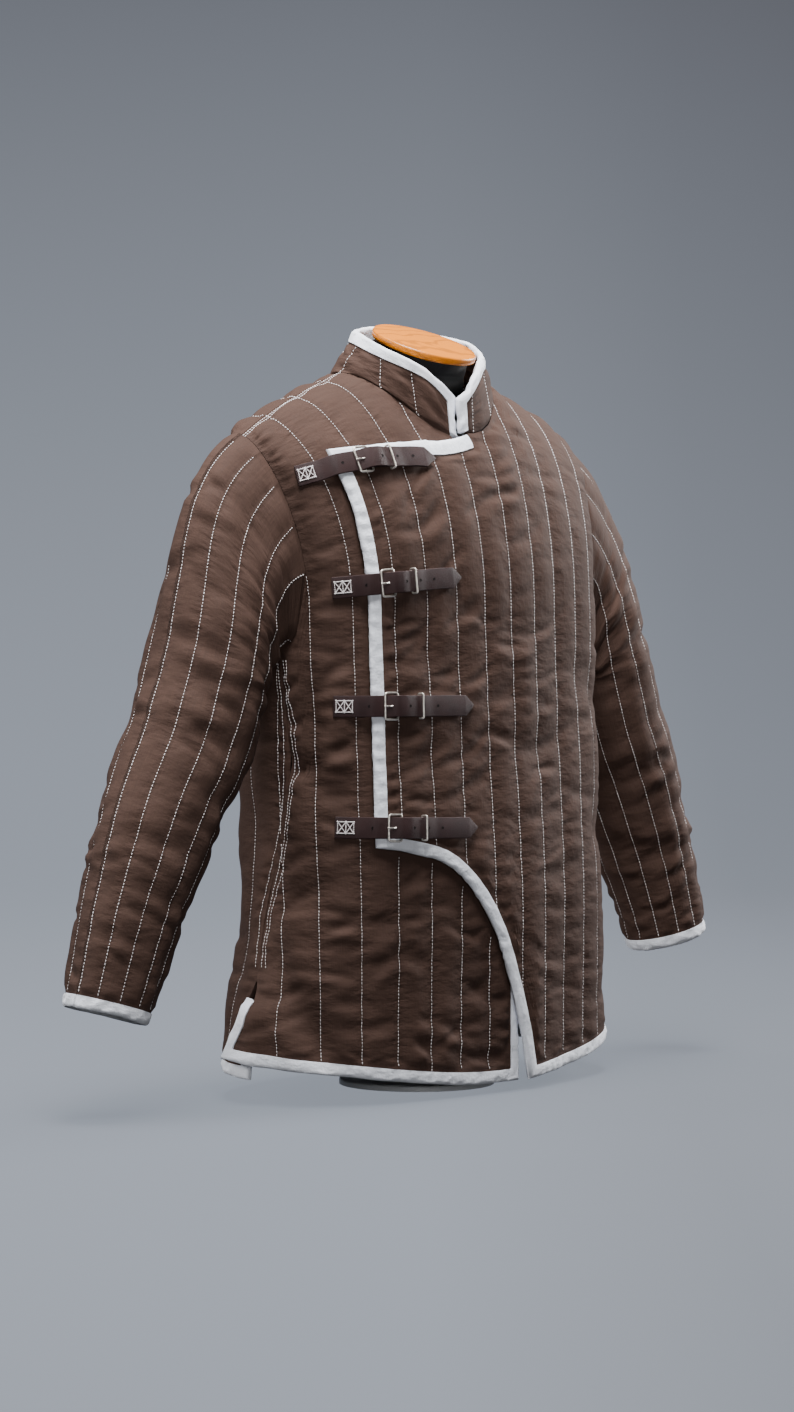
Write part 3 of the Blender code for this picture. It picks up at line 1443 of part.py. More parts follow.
def build_garment(root):
    brown = material("brown cotton", (0.105, 0.062, 0.042), 0.9)
    white = material("white binding", (0.78, 0.79, 0.82), 0.85)
    right, left, back = right_front(), left_front(), back_panel()
    build_panel("front_right", right, (2, 4), brown, root)
    build_panel("front_left", left, (1, 2), brown, root)
    build_panel("back", back, (2, 4), brown, root)
    neck_column = left.columns.index(COLLAR_LEFT_U)
    build_edge_band("binding_front_right", right, right_band_path(right), white, root)
    build_edge_band("binding_front_left", left, left_band_path(left, neck_column), white, root)
    build_edge_band("binding_back", back, back_band_path(back), white, root)
    for name, front, side in (("right", right, -1), ("left", left, 1)):
        inner, outer = build_sleeve("sleeve_" + name, front, back, side, brown, root)
        build_cuff("cuff_" + name, inner, outer, white, root)
    build_collar(right, back, left, brown, white, root)


def build_closings(root):
    leather = material("dark leather", (0.045, 0.022, 0.018), 0.5)
    nickel = material("nickel wire", (0.62, 0.60, 0.56), 0.3, 1.0)
    for row in STRAPS:
        line = StrapLine(row)
        build_strap(line, leather, root)
        build_tab(line, leather, root)
        build_metal(line, nickel, root)


def build_dress_form(root):
    black = material("black jersey", (0.012, 0.012, 0.013), 0.9)
    wood = material("light wood", (0.75, 0.38, 0.10), 0.45)
    steel = material("pale painted steel", (0.60, 0.61, 0.63), 0.5)
    build_form(black, root)
    build_cap(wood, root)
    build_stand(steel, root)


def main():
    for item in list(bpy.data.objects):
        bpy.data.objects.remove(item)
    root = bpy.data.objects.new("gambeson_root", None)
    bpy.context.scene.collection.objects.link(root)
    build_garment(root)
    build_closings(root)
    build_dress_form(root)


if __name__ == "__main__":
    main()
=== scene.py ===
"""The looks of a quilted gambeson with strap closings on a limbless dress form.

The wearer faces -Y and the wearer's left is +X. Each cloth piece is drawn from its cut at a fine
pitch: s runs along the girth, w up the cloth, and h is the height above the cloth's inner face.
"""
import math
import bpy
import numpy as np
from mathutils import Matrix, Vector
from mathutils.bvhtree import BVHTree
from mathutils.kdtree import KDTree


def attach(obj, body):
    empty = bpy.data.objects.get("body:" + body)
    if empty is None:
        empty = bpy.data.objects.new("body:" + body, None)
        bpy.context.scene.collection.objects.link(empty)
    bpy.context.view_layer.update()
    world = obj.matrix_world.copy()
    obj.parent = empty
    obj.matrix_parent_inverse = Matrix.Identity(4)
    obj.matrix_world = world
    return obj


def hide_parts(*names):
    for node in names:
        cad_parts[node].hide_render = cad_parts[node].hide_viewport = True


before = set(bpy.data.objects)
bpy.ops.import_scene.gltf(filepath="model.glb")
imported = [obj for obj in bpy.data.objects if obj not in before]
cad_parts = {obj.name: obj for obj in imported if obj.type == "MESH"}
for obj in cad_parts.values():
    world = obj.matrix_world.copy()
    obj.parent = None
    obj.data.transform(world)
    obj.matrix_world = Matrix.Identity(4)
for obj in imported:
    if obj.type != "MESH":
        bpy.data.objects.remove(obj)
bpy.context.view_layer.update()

bl_info = {
    "name": "Quilted gambeson",
    "version": (1, 0, 0),
    "blender": (4, 5, 0),
    "location": "3D View > Sidebar > Gambeson",
    "description": "Draws a quilted gambeson with strap closings on a limbless dress form",
    "category": "Object",
}

# ------------------------------------------------------------------ driving sizes, in metres
FLOOR_CLEAR = 0.010       # the lowest point of the hem above the floor
QUILT = 0.0395            # between neighbouring stitch lines
SEAM_THICK = 0.0045       # the cloth at a stitch line
PUFF_THICK = 0.0080       # the cloth halfway between two stitch lines
EDGE_THICK = 0.0052       # the cloth at a sewn edge
COVERED_THICK = 0.0065    # the front right where the flap presses on it
FLAP_LIFT = 0.0090        # the flap's inner face above the girth surface
BAND_WIDTH = 0.0122       # the white bindings
BAND_THICK = 0.0066
GAP = 0.0003              # between touching pieces
SEAM_GAP = 0.0005         # between sewn panels
NECK_GAP = 0.0010         # between the neckline and the collar
ROW = 0.034               # height of a row of the cloth's surface
THIRDS = 3                # columns of the cloth's surface in one quilted channel

GIRTH = (
    # height, half_width, front_depth, back_depth, centre_y, squareness, centre_x
    (0.000, 0.236, 0.097, 0.135, 0.005, 2.35, 0.000),
    (0.080, 0.228, 0.094, 0.131, 0.002, 2.40, 0.000),
    (0.180, 0.211, 0.090, 0.124, -0.002, 2.70, 0.000),
    (0.320, 0.206, 0.084, 0.126, 0.002, 3.00, 0.002),
    (0.460, 0.206, 0.078, 0.128, 0.004, 3.00, 0.003),
)
CHEST = 0.460             # height where the girth ends and the shoulders begin to close in
SHOULDER_RUN = 0.250      # length of cloth from the chest line to the shoulder ridge
FLARE = 0.16              # how much a column leans outwards on its way to the ridge
RIDGE_Y = 0.040
RIDGE = (
    # distance from the centre, height seen from the front, height seen from the back
    (0.000, 0.699, 0.730),
    (0.050, 0.697, 0.718),
    (0.080, 0.696, 0.697),
    (0.095, 0.693, 0.693),
    (0.130, 0.681, 0.681),
    (0.165, 0.668, 0.668),
    (0.210, 0.648, 0.648),
    (0.260, 0.618, 0.618),
)
NECK_HALF = 0.088         # the neck hole's half width, front and back reach, and squareness
NECK_FRONT = 0.078
NECK_BACK = 0.045
NECK_SQUARE = 2.2
SHOULDER_SEAM_NECK = 91.0     # degrees over the ridge, at the neck and at the sleeve
SHOULDER_SEAM_TIP = 83.0

ARM_S = 5.5 * QUILT               # the armhole's straight edge, from the centre
ARM_LOW = 0.430                   # the underarm point
ARM_MID = 0.500                   # where the armhole's edge turns straight
SIDE_SEAM = (
    # height, distance of the side seam from the centre front
    (0.000, 0.290),
    (0.110, 0.285),
    (0.172, 0.279),
    (0.215, 0.266),
    (0.260, 0.254),
    (0.320, 0.246),
    (0.430, 0.252),
    (0.500, 0.256),
)
SLIT_TOP = 0.110
SLIT_ROWS = 3
SLIT_FRONT = (0.302, 0.288, 0.2795)   # the front's slit edge at each row, from the hem up
SLIT_LAP = 0.0125                     # how far the front's corner stands off over the back
LAP_FROM = 0.262                      # where it begins to stand off, from the centre front
LAP_FADE = 0.020
LAP_TOP = 0.105                       # the height at which it lies flat again
LAP_FALL = 0.035
HEM_RISE = 0.030                      # the front hem rises this much on its way to the side
BACK_HEM = 0.014

FLAP_LEFT = -0.166        # the flap's left edge
FLAP_EDGE = (
    # the flap's true edge, outside its binding, from its upper left corner: s, w
    (FLAP_LEFT, 0.6030),
    (FLAP_LEFT, 0.2375),
    (-0.1440, 0.2350),
    (-0.0930, 0.2225),
    (-0.0620, 0.2025),
    (-0.0380, 0.1775),
    (-0.0180, 0.1475),
    (0.0000, 0.1075),
    (0.0120, 0.0725),
    (0.0230, 0.0375),
    (0.0310, 0.0005),
)
FLAP_TOP = (
    # distance from the centre front, height of the flap's upper edge
    (-0.165, 0.603),
    (-0.120, 0.5925),
    (-0.075, 0.5845),
    (-0.020, 0.5862),
    (-0.0015, 0.5893),
    (0.0198, 0.5908),
)
UNDER_EDGE = 0.024        # the free edge of the front right, under the flap
COLLAR_RIGHT_U = 0.0160    # where the collar's right end begins, right of the centre front
COLLAR_LEFT_U = -0.0015    # where its left end begins, which laps over the right one

COLLAR_TOP = (
    # degrees round from the nearer end, height of the collar's top edge
    (0.0, 0.683),
    (9.0, 0.694),
    (20.0, 0.7045),
    (35.0, 0.7135),
    (55.0, 0.7225),
    (90.0, 0.7355),
    (130.0, 0.744),
    (180.0, 0.750),
)
COLLAR_TOP_HALF = 0.073
COLLAR_TOP_FRONT = 0.053
COLLAR_TOP_BACK = 0.052
COLLAR_TOP_Y = 0.018
COLLAR_TURN_Y = 0.024     # the point the collar's columns are spread round
COLLAR_THICK = 0.0065
COLLAR_LAP = 0.0090       # how far the left end stands in front of the right one
COLLAR_SHIFT = 0.0010     # how far each front corner leans towards the other
COLLAR_CORNER = 0.050     # the length of collar that takes part in this
COLLAR_QUILT = 0.045      # between the collar's stitch lines
COLLAR_FIRST = 0.040      # from its right end to the first of them

SLEEVE_RIGHT = (
    # height, centre_x, centre_y, radius of the inner face
    (0.400, 0.288, 0.030, 0.0550),
    (0.340, 0.310, 0.031, 0.0545),
    (0.284, 0.340, 0.033, 0.0520),
    (0.232, 0.362, 0.035, 0.0480),
    (0.190, 0.378, 0.037, 0.0440),
    (0.146, 0.392, 0.039, 0.0400),
    (0.100, 0.405, 0.042, 0.0360),
)
SLEEVE_LEFT = (
    # height, centre_x, centre_y, radius of the inner face
    (0.405, 0.288, 0.026, 0.0515),
    (0.345, 0.308, 0.026, 0.0535),
    (0.290, 0.332, 0.024, 0.0515),
    (0.240, 0.350, 0.020, 0.0475),
    (0.200, 0.363, 0.016, 0.0440),
    (0.160, 0.374, 0.012, 0.0400),
    (0.122, 0.383, 0.008, 0.0370),
)
LEAVING = (
    # share of the way down the armhole, degrees downwards, pull towards the arm
    (0.0, 26.0, 1.2),
    (0.4, 32.0, 3.0),
    (0.7, 20.0, 1.0),
    (0.85, 5.0, 0.5),
    (1.0, 0.0, 0.35),
)
ONWARD_TURN = 0.25        # how much of the panel's curve towards the other panel the sleeve keeps
SLEEVE_HEAD_ROWS = 6
SLEEVE_ROWS = 9
SLEEVE_PUFF = 0.0076

STRAPS = (
    # name, start s, start w, tip s, tip w, frame s, keeper s
    ("1", -0.2000, 0.5930, -0.0630, 0.5675, -0.1480, -0.1130),
    ("2", -0.1960, 0.4850, -0.0580, 0.4850, -0.1550, -0.1190),
    ("3", -0.1980, 0.3750, -0.0470, 0.3725, -0.1560, -0.1160),
    ("4", -0.2000, 0.2590, -0.0490, 0.2530, -0.1560, -0.1170),
)
STRAP_WIDTH = 0.0205
STRAP_THICK = 0.0026
STRAP_POINT = 0.0110      # length of the pointed end
STRAP_EDGE = 0.0007       # rounding of its edges
TAB_THICK = 0.0015
TAB_WIDTH = 0.0170
FRAME_REACH = 0.0135      # from the frame's free bar to its hinge bar
FRAME_HALF = 0.0128
FRAME_WIRE = 0.0011
KEEPER_WIRE = 0.0009
KEEPER_HALF = 0.0118

FORM = (
    # height, half_width, front_depth, back_depth, centre_y
    (0.1000, 0.176, 0.066, 0.100, 0.004),
    (0.1800, 0.182, 0.070, 0.102, 0.000),
    (0.3200, 0.176, 0.064, 0.102, 0.004),
    (0.4600, 0.172, 0.056, 0.102, 0.008),
    (0.5600, 0.172, 0.062, 0.084, 0.026),
    (0.6150, 0.170, 0.052, 0.062, 0.034),
    (0.6570, 0.163, 0.038, 0.040, 0.039),
    (0.6750, 0.142, 0.026, 0.028, 0.040),
    (0.6851, 0.117, 0.024, 0.026, 0.040),
    (0.6885, 0.084, 0.030, 0.032, 0.036),
    (0.6930, 0.062, 0.042, 0.045, 0.027),
    (0.6980, 0.048, 0.044, 0.045, 0.019),
)
FORM_SQUARE = 2.3
CAP_RADIUS = 0.0535
CAP_THICK = 0.008
CAP_TILT = math.radians(21.0)
CAP_CENTRE = (0.0, 0.007, 0.734)
POST_RADIUS = 0.013
FOOT_HALF = 0.078
FOOT_THICK = 0.006
FOOT_Y = 0.018

FOLDS = (
    # face, s, w, lean in degrees, length, width, height (a trough is negative)
    ("front", -0.234, 0.083, -61.0, 0.062, 0.015, -0.0080),
    ("front", -0.258, 0.062, -58.0, 0.045, 0.015, 0.0055),
    ("front", -0.222, 0.362, 84.0, 0.034, 0.015, -0.0065),
    ("front", -0.212, 0.300, -32.0, 0.040, 0.014, -0.0045),
    ("front", -0.235, 0.320, 12.0, 0.030, 0.022, -0.0050),
    ("front", -0.235, 0.190, 20.0, 0.040, 0.020, -0.0040),
    ("front", -0.110, 0.320, -14.0, 0.040, 0.020, -0.0032),
    ("front", -0.105, 0.430, -25.0, 0.040, 0.020, -0.0032),
    ("front", 0.055, 0.330, 16.0, 0.050, 0.020, -0.0035),
    ("front", 0.170, 0.385, -24.0, 0.055, 0.022, -0.0050),
    ("front", 0.200, 0.240, -10.0, 0.050, 0.020, -0.0050),
    ("front", 0.225, 0.095, 46.0, 0.045, 0.020, -0.0050),
    ("back", -0.215, 0.150, 56.0, 0.060, 0.020, -0.0060),
    ("back", -0.200, 0.270, 12.0, 0.050, 0.022, -0.0050),
    ("back", -0.090, 0.290, -6.0, 0.060, 0.022, -0.0045),
    ("back", 0.065, 0.270, 5.0, 0.065, 0.022, -0.0045),
    ("back", 0.195, 0.300, -14.0, 0.050, 0.022, -0.0055),
    ("back", 0.210, 0.170, -52.0, 0.060, 0.020, 0.0050),
    ("back", 0.020, 0.440, 3.0, 0.070, 0.024, -0.0035),
)
SEAM_ROWS = (0.0040, 0.0085)      # the rows sewn beside a seam, from the seam
THREAD_SEAT = 0.6                 # how far above the cloth a thread's middle lies, in thread radii
THREAD_STEP = 0.004               # between the places where a line of stitches is set on the cloth
NECK_SHARES = (0.92, 0.98, 1.0)   # columns that follow the neck hole where it is steep
SLEEVE_FOLDS = (
    # share of the length, turn in degrees (0 outside, 90 front, 180 inside), length share, turn width, height
    (0.16, 165.0, 0.020, 60.0, -0.0060),
    (0.22, 150.0, 0.022, 55.0, 0.0045),
    (0.29, 175.0, 0.022, 60.0, -0.0050),
    (0.37, 140.0, 0.020, 50.0, -0.0035),
    (0.50, 70.0, 0.020, 45.0, -0.0030),
    (0.58, 120.0, 0.018, 50.0, -0.0035),
    (0.68, 60.0, 0.018, 40.0, -0.0028),
    (0.78, 100.0, 0.018, 50.0, -0.0028),
    (0.88, 40.0, 0.016, 45.0, -0.0025),
)


# ------------------------------------------------------------------ curves and tables
def smooth(t):
    """Ease from 0 to 1."""
    t = np.clip(t, 0.0, 1.0)
    return t * t * (3.0 - 2.0 * t)


def column(rows, index):
    return np.array([row[index] for row in rows], float)


def through(keys, values, at):
    """A smooth curve through a table's points, level past both ends."""
    slopes = np.gradient(values, keys)
    at = np.clip(at, keys[0], keys[-1])
    i = np.clip(np.searchsorted(keys, at, side="right") - 1, 0, len(keys) - 2)
    span = keys[i + 1] - keys[i]
    t = (at - keys[i]) / span
    start = values[i] * (1 + 2 * t) * (1 - t) ** 2 + span * slopes[i] * t * (1 - t) ** 2
    end = values[i + 1] * t * t * (3 - 2 * t) - span * slopes[i + 1] * t * t * (1 - t)
    return start + end


def unit(vectors):
    """Each vector at length one."""
    return vectors / np.maximum(np.linalg.norm(vectors, axis=-1, keepdims=True), 1e-12)


def run_along(points):
    """The length of a line of points up to each of them."""
    steps = np.linalg.norm(np.diff(points, axis=0), axis=-1)
    return np.concatenate(([0.0], np.cumsum(steps)))


def along_and_across(s, w, s0, w0, lean):
    """How far a place lies from another, along a lean in degrees and across it."""
    turn = math.radians(lean)
    along = (s - s0) * math.cos(turn) + (w - w0) * math.sin(turn)
    across = (w - w0) * math.cos(turn) - (s - s0) * math.sin(turn)
    return along, across


# ------------------------------------------------------------------ the girth surface
HEIGHTS = np.linspace(0.0, CHEST, 47)
TURNS = np.linspace(0.0, math.pi, 721)
SHARES = np.linspace(0.0, 1.0, 721)


def ring_outline(height):
    """Half a ring at one height, from the centre front round to the centre back."""
    wide, front, back, mid, power = (
        through(column(GIRTH, 0), column(GIRTH, i), np.array(height)) for i in range(1, 6))
    side = np.sin(TURNS)
    ahead = np.cos(TURNS)
    depth = np.where(ahead > 0, front, back)
    reach = ((np.abs(side) / wide) ** power + (np.abs(ahead) / depth) ** power) ** (-1 / power)
    return reach * side, mid - reach * ahead


def ring_tables():
    """Each ring at even steps of its length, with the length of half the girth."""
    across, ahead, halves = [], [], []
    for height in HEIGHTS:
        x, y = ring_outline(height)
        along = run_along(np.stack((x, y), -1))
        halves.append(along[-1])
        across.append(np.interp(SHARES * along[-1], along, x))
        ahead.append(np.interp(SHARES * along[-1], along, y))
    return np.array(across), np.array(ahead), np.array(halves)


RING_X, RING_Y, RING_HALF = ring_tables()


def half_girth(height):
    return np.interp(height, HEIGHTS, RING_HALF)


def look_up(grid, row, col):
    """Read a grid between its points."""
    row = np.clip(row, 0, grid.shape[0] - 1.000001)
    col = np.clip(col, 0, grid.shape[1] - 1.000001)
    i = row.astype(int)
    k = col.astype(int)
    u = row - i
    v = col - k
    low = grid[i, k] * (1 - v) + grid[i, k + 1] * v
    high = grid[i + 1, k] * (1 - v) + grid[i + 1, k + 1] * v
    return low * (1 - u) + high * u


def ring(s, height, face):
    share = np.abs(s) / half_girth(height)
    if face == "back":
        share = 1.0 - share
    row = height / CHEST * (len(HEIGHTS) - 1)
    col = share * (len(SHARES) - 1)
    return np.sign(s) * look_up(RING_X, row, col), look_up(RING_Y, row, col)


def chest_y(x, face):
    """How far forward or back the chest ring lies at a distance from the centre."""
    widest = int(np.argmax(RING_X[-1]))
    if face == "front":
        return np.interp(x, RING_X[-1][:widest], RING_Y[-1][:widest])
    return np.interp(x, RING_X[-1][:widest - 1:-1], RING_Y[-1][:widest - 1:-1])


def body(s, w, face):
    """The cloth's inner face: rings up to the chest, then columns that close in over the shoulders."""
    s, w = np.broadcast_arrays(np.asarray(s, float), np.asarray(w, float))
    low = np.clip(w, 0.0, CHEST)
    x, y = ring(s, low, face)
    shift = through(column(GIRTH, 0), column(GIRTH, 6), low)
    rise = np.clip((w - CHEST) / SHOULDER_RUN, 0, 1.9) * math.pi / 2
    over = rise > math.pi / 2
    other = "back" if face == "front" else "front"
    own_column, other_column = (1, 2) if face == "front" else (2, 1)
    top_x = np.abs(x) * (1 + FLARE)
    own = through(column(RIDGE, 0), column(RIDGE, own_column), top_x)
    opposite = through(column(RIDGE, 0), column(RIDGE, other_column), top_x)
    ridge = np.where(over, opposite, own)
    low_y = np.where(over, chest_y(np.abs(x), other), y)
    climb = np.sin(rise)
    above = w > CHEST
    out_x = x * (1 + FLARE * climb ** 2) + shift * (1 - climb ** 2)
    out_y = np.where(above, RIDGE_Y + (low_y - RIDGE_Y) * np.abs(np.cos(rise)), y)
    out_z = np.where(above, CHEST + (ridge - CHEST) * climb, w)
    return np.stack((out_x, out_y, out_z + FLOOR_CLEAR), -1)


def body_normal(s, w, face):
    step = 0.0015
    along = body(s + step, w, face) - body(s - step, w, face)
    up = body(s, w + step, face) - body(s, w - step, face)
    out = np.cross(along, up)
    return unit(-out if face == "back" else out)


def fold_height(s, w, face):
    """The garment's largest folds, as soft troughs and ridges."""
    total = np.zeros(np.broadcast(s, w).shape)
    for own_face, s0, w0, lean, length, width, height in FOLDS:
        if own_face == face:
            along, across = along_and_across(s, w, s0, w0, lean)
            total = total + height * np.exp(-(along / length) ** 2 - (across / width) ** 2)
    return total


def cloth(s, w, face, h):
    """A point h above the cloth's inner face, folds included."""
    rise = np.asarray(h, float) + fold_height(s, w, face)
    return body(s, w, face) + body_normal(s, w, face) * rise[..., None]


# ------------------------------------------------------------------ the pattern
def side_seam(w):
    return through(column(SIDE_SEAM, 0), column(SIDE_SEAM, 1), w)


def front_hem(s):
    """The front's true hem."""
    return HEM_RISE * smooth(np.abs(s) / 0.33)


def shoulder_turn(x):
    """Degrees over the ridge where the shoulder seam crosses a column."""
    share = (x - NECK_HALF / (1 + FLARE)) / (arm_x() - NECK_HALF / (1 + FLARE))
    return SHOULDER_SEAM_NECK + (SHOULDER_SEAM_TIP - SHOULDER_SEAM_NECK) * np.clip(share, 0, 1)


def arm_x():
    return float(ring(np.array(ARM_S), np.array(CHEST), "front")[0])


def back_s(x):
    """The back's column that meets the front's column of the same distance from the centre."""
    widest = int(np.argmax(RING_X[-1]))
    share = np.interp(x, RING_X[-1][:widest - 1:-1], SHARES[:widest - 1:-1])
    return (1.0 - float(share)) * float(RING_HALF[-1])


def column_top(s, face):
    """Where a column ends at the neck hole or at the shoulder seam, and which of the two it is."""
    x = abs(float(ring(np.array(abs(s)), np.array(CHEST), face)[0]))
    seam = float(shoulder_turn(x))
    last = seam if face == "front" else 180.0 - seam
    shoulder = CHEST + SHOULDER_RUN * last / 90.0 - SEAM_GAP
    if x * (1 + FLARE) > 0.995 * NECK_HALF:
        return shoulder, "shoulder"
    turns = np.linspace(10.0, last, 600)
    points = body(abs(s), CHEST + SHOULDER_RUN * turns / 90.0, face)
    ahead = RIDGE_Y - points[:, 1]
    reach = np.where(ahead > 0, NECK_FRONT, NECK_BACK)
    hole = (points[:, 0] / NECK_HALF) ** NECK_SQUARE + (np.abs(ahead) / reach) ** NECK_SQUARE
    inside = np.nonzero(hole < 1.0)[0]
    if len(inside) and inside[0] < len(turns) - 1:
        return CHEST + SHOULDER_RUN * float(turns[inside[0]]) / 90.0, "neck"
    return shoulder, "shoulder"


def arm_edge(u, edge, straight):
    """The lower part of the armhole, from the side seam to where its edge turns straight."""
    share = np.clip((edge - u) / (edge - straight), 0.0, 1.0)
    return ARM_LOW + (ARM_MID - ARM_LOW) * (1.0 - math.sqrt(1.0 - float(share) ** 2))


def flap_edge():
    """The flap's true edge as (s, w), from its top corner down and round to the hem."""
    rows = np.array(FLAP_EDGE)
    keys = np.arange(len(rows) - 1, dtype=float)
    fine = np.linspace(0.0, keys[-1], 5 * (len(rows) - 2) + 1)
    curve = [through(keys, rows[1:, i], fine) for i in range(2)]
    return np.vstack((rows[:1], np.stack(curve, -1)))


def moved(path, distance):
    """A path in the pattern moved to its left, with mitred corners."""
    step = unit(np.diff(path, axis=0))
    sides = np.stack((-step[:, 1], step[:, 0]), -1)
    first = np.vstack((sides[:1], sides))
    second = np.vstack((sides, sides[-1:]))
    mitre = (first + second) / (1.0 + np.sum(first * second, axis=1, keepdims=True))
    return path + mitre * distance


FLAP_PATH = moved(flap_edge(), BAND_WIDTH + GAP)


def flap_bottom(s):
    """The lower edge of the flap's own cloth, inside its binding."""
    curve = FLAP_PATH[1:]
    low = front_hem(s) + BAND_WIDTH + GAP
    return np.maximum(np.interp(s, curve[:, 0], curve[:, 1], right=0.0), low)


def flap_top(s):
    return through(column(FLAP_TOP, 0), column(FLAP_TOP, 1), s)


def flap_corner():
    """Where the flap's curve meets the hem, inside the bindings."""
    low = front_hem(0.04) + BAND_WIDTH + GAP
    return float(np.interp(low, FLAP_PATH[:0:-1, 1], FLAP_PATH[:0:-1, 0]))


def covered(s, w):
    """How far the flap presses on the front right: 1 under it, 0 well outside."""
    edge = flap_edge()[1:]
    low = np.interp(s, edge[:, 0], edge[:, 1], right=0.0)
    fade = 0.018
    left = smooth((s - FLAP_LEFT + fade) / fade)
    below = smooth((w - low + fade) / fade)
    above = smooth((flap_top(s) + fade - w) / fade)
    return left * below * above


def flap_lift(s):
    return FLAP_LIFT * (1.0 - smooth((s - UNDER_EDGE) / 0.085))


def corner_lift(s, w):
    """The front's slit corner stands off so that it can lie over the back."""
    return SLIT_LAP * smooth((np.abs(s) - LAP_FROM) / LAP_FADE) * smooth((LAP_TOP - w) / LAP_FALL)


def puff(u, pitch=QUILT, start=QUILT / 2, full=PUFF_THICK):
    """The cloth's thickness across the quilting, thin at each stitch line."""
    wave = np.abs(np.sin(math.pi * (u - start) / pitch))
    return SEAM_THICK + (full - SEAM_THICK) * wave ** 0.9


def channel_columns(first, last, extra=()):
    """Columns at the stitch lines and at even steps between them, with the ends and a few of its own."""
    step = QUILT / THIRDS
    start = QUILT / 2
    low = math.ceil((first - start) / step + 1e-6)
    high = math.floor((last - start) / step - 1e-6)
    even = [start + step * i for i in range(low, high + 1)]
    own = [first, last] + list(extra)
    kept = [u for u in even if min(abs(u - o) for o in own) > 0.0045]
    return sorted(kept + own)


def spread(low, high, count):
    return [low + (high - low) * i / count for i in range(count + 1)]


# ------------------------------------------------------------------ panels as grids
class Panel:
    """A cut panel: rows and columns in the pattern, with a cell mask for its armholes."""

    def __init__(self, face, side, columns, low_rows, high_rows):
        self.face = face
        self.side = side
        self.columns = columns
        self.low_rows = low_rows
        rows = low_rows + high_rows + 1
        self.s = np.full((rows, len(columns)), np.nan)
        self.w = np.full((rows, len(columns)), np.nan)
        self.u = np.zeros((rows, len(columns)))
        self.kind = [""] * len(columns)

    def fill(self, index, s_at, bottom, middle, top=None, slit=None, step=None):
        """Set one column's points: s as a function of w, and its heights.

        slit is the height that row SLIT_ROWS keeps; step is the height of the row below the top one.
        """
        heights = spread(bottom, middle, self.low_rows)
        if slit is not None:
            heights = spread(bottom, slit, SLIT_ROWS) + spread(slit, middle, self.low_rows - SLIT_ROWS)[1:]
        if top is not None:
            high_rows = self.s.shape[0] - 1 - self.low_rows
            even = middle + (top - middle) * (high_rows - 1) / high_rows
            heights += spread(middle, even if step is None else step, high_rows - 1)[1:]
            if top != step:
                heights.append(top)
        for j, w in enumerate(heights):
            self.s[j, index] = s_at(w)
            self.w[j, index] = w
            self.u[j, index] = abs(self.s[j, index])

    def cells(self):
        here = ~np.isnan(self.w)
        return here[:-1, :-1] & here[1:, :-1] & here[:-1, 1:] & here[1:, 1:]


LOW_ROWS = round(ARM_MID / ROW)
HIGH_ROWS = 8
LAST_STEADY = 5.5 * QUILT + QUILT / THIRDS    # the front's last column of steady distance
FRONT_FANS = (1 / 3, 2 / 3, 1.0)
BACK_FANS = (1 / 4, 1 / 2, 3 / 4, 1.0)


def front_columns(first, extra):
    """Distances from the centre for a front's columns, up to its last stitch line."""
    neck = NECK_HALF / (1 + FLARE)
    own = [ARM_S] + [neck * share for share in NECK_SHARES] + list(extra)
    return channel_columns(first, LAST_STEADY, own)


def fan_column(share, edge, last_line):
    """A column that keeps its share of the way from the last stitch line to the edge."""
    def at(w):
        return last_line + share * (edge(w) - last_line)
    return at


def front_side_edge(w):
    """The front's edge at its side: the seam, and the slit below it."""
    heights = spread(float(front_hem(0.3)) + BAND_WIDTH, SLIT_TOP, SLIT_ROWS)[:SLIT_ROWS]
    if w < heights[-1] + 0.012:
        return float(np.interp(w, heights, SLIT_FRONT))
    return float(side_seam(w)) - SEAM_GAP / 2


def front_panel(side, first, extra, bottom_at, top_at, step_at=None):
    """A front: side is -1 for the wearer's right, 1 for the left; first is where it starts."""
    steady = front_columns(first, extra)
    panel = Panel("front", side, steady + [None] * len(FRONT_FANS), LOW_ROWS, HIGH_ROWS)
    for i, u in enumerate(steady):
        top, kind = top_at(u)
        if u <= ARM_S:
            step = step_at(u, top) if step_at else None
            panel.fill(i, lambda w, u=u: side * u, bottom_at(u), ARM_MID, top, step=step)
            panel.kind[i] = kind
        else:
            edge = arm_edge(u, front_side_edge(ARM_LOW), ARM_S)
            panel.fill(i, lambda w, u=u: side * u, bottom_at(u), edge)
            panel.kind[i] = "arm"
    for i, share in enumerate(FRONT_FANS, len(steady)):
        at = fan_column(share, front_side_edge, LAST_STEADY)
        edge = arm_edge(at(ARM_LOW), front_side_edge(ARM_LOW), ARM_S)
        panel.fill(i, lambda w, at=at: side * at(w), bottom_at(at(0.03)), edge, slit=SLIT_TOP)
        panel.kind[i] = "arm"
    return panel


def right_front():
    """The front right, which runs on under the flap to a free edge."""
    first = -UNDER_EDGE + BAND_WIDTH + GAP

    def top_at(u):
        if u < COLLAR_RIGHT_U - 1e-6:
            return float(flap_top(u)) - BAND_WIDTH - 0.002, "under"
        return column_top(u, "front")

    def bottom_at(u):
        return float(front_hem(u)) + BAND_WIDTH

    return front_panel(-1, first, (COLLAR_RIGHT_U,), bottom_at, top_at)


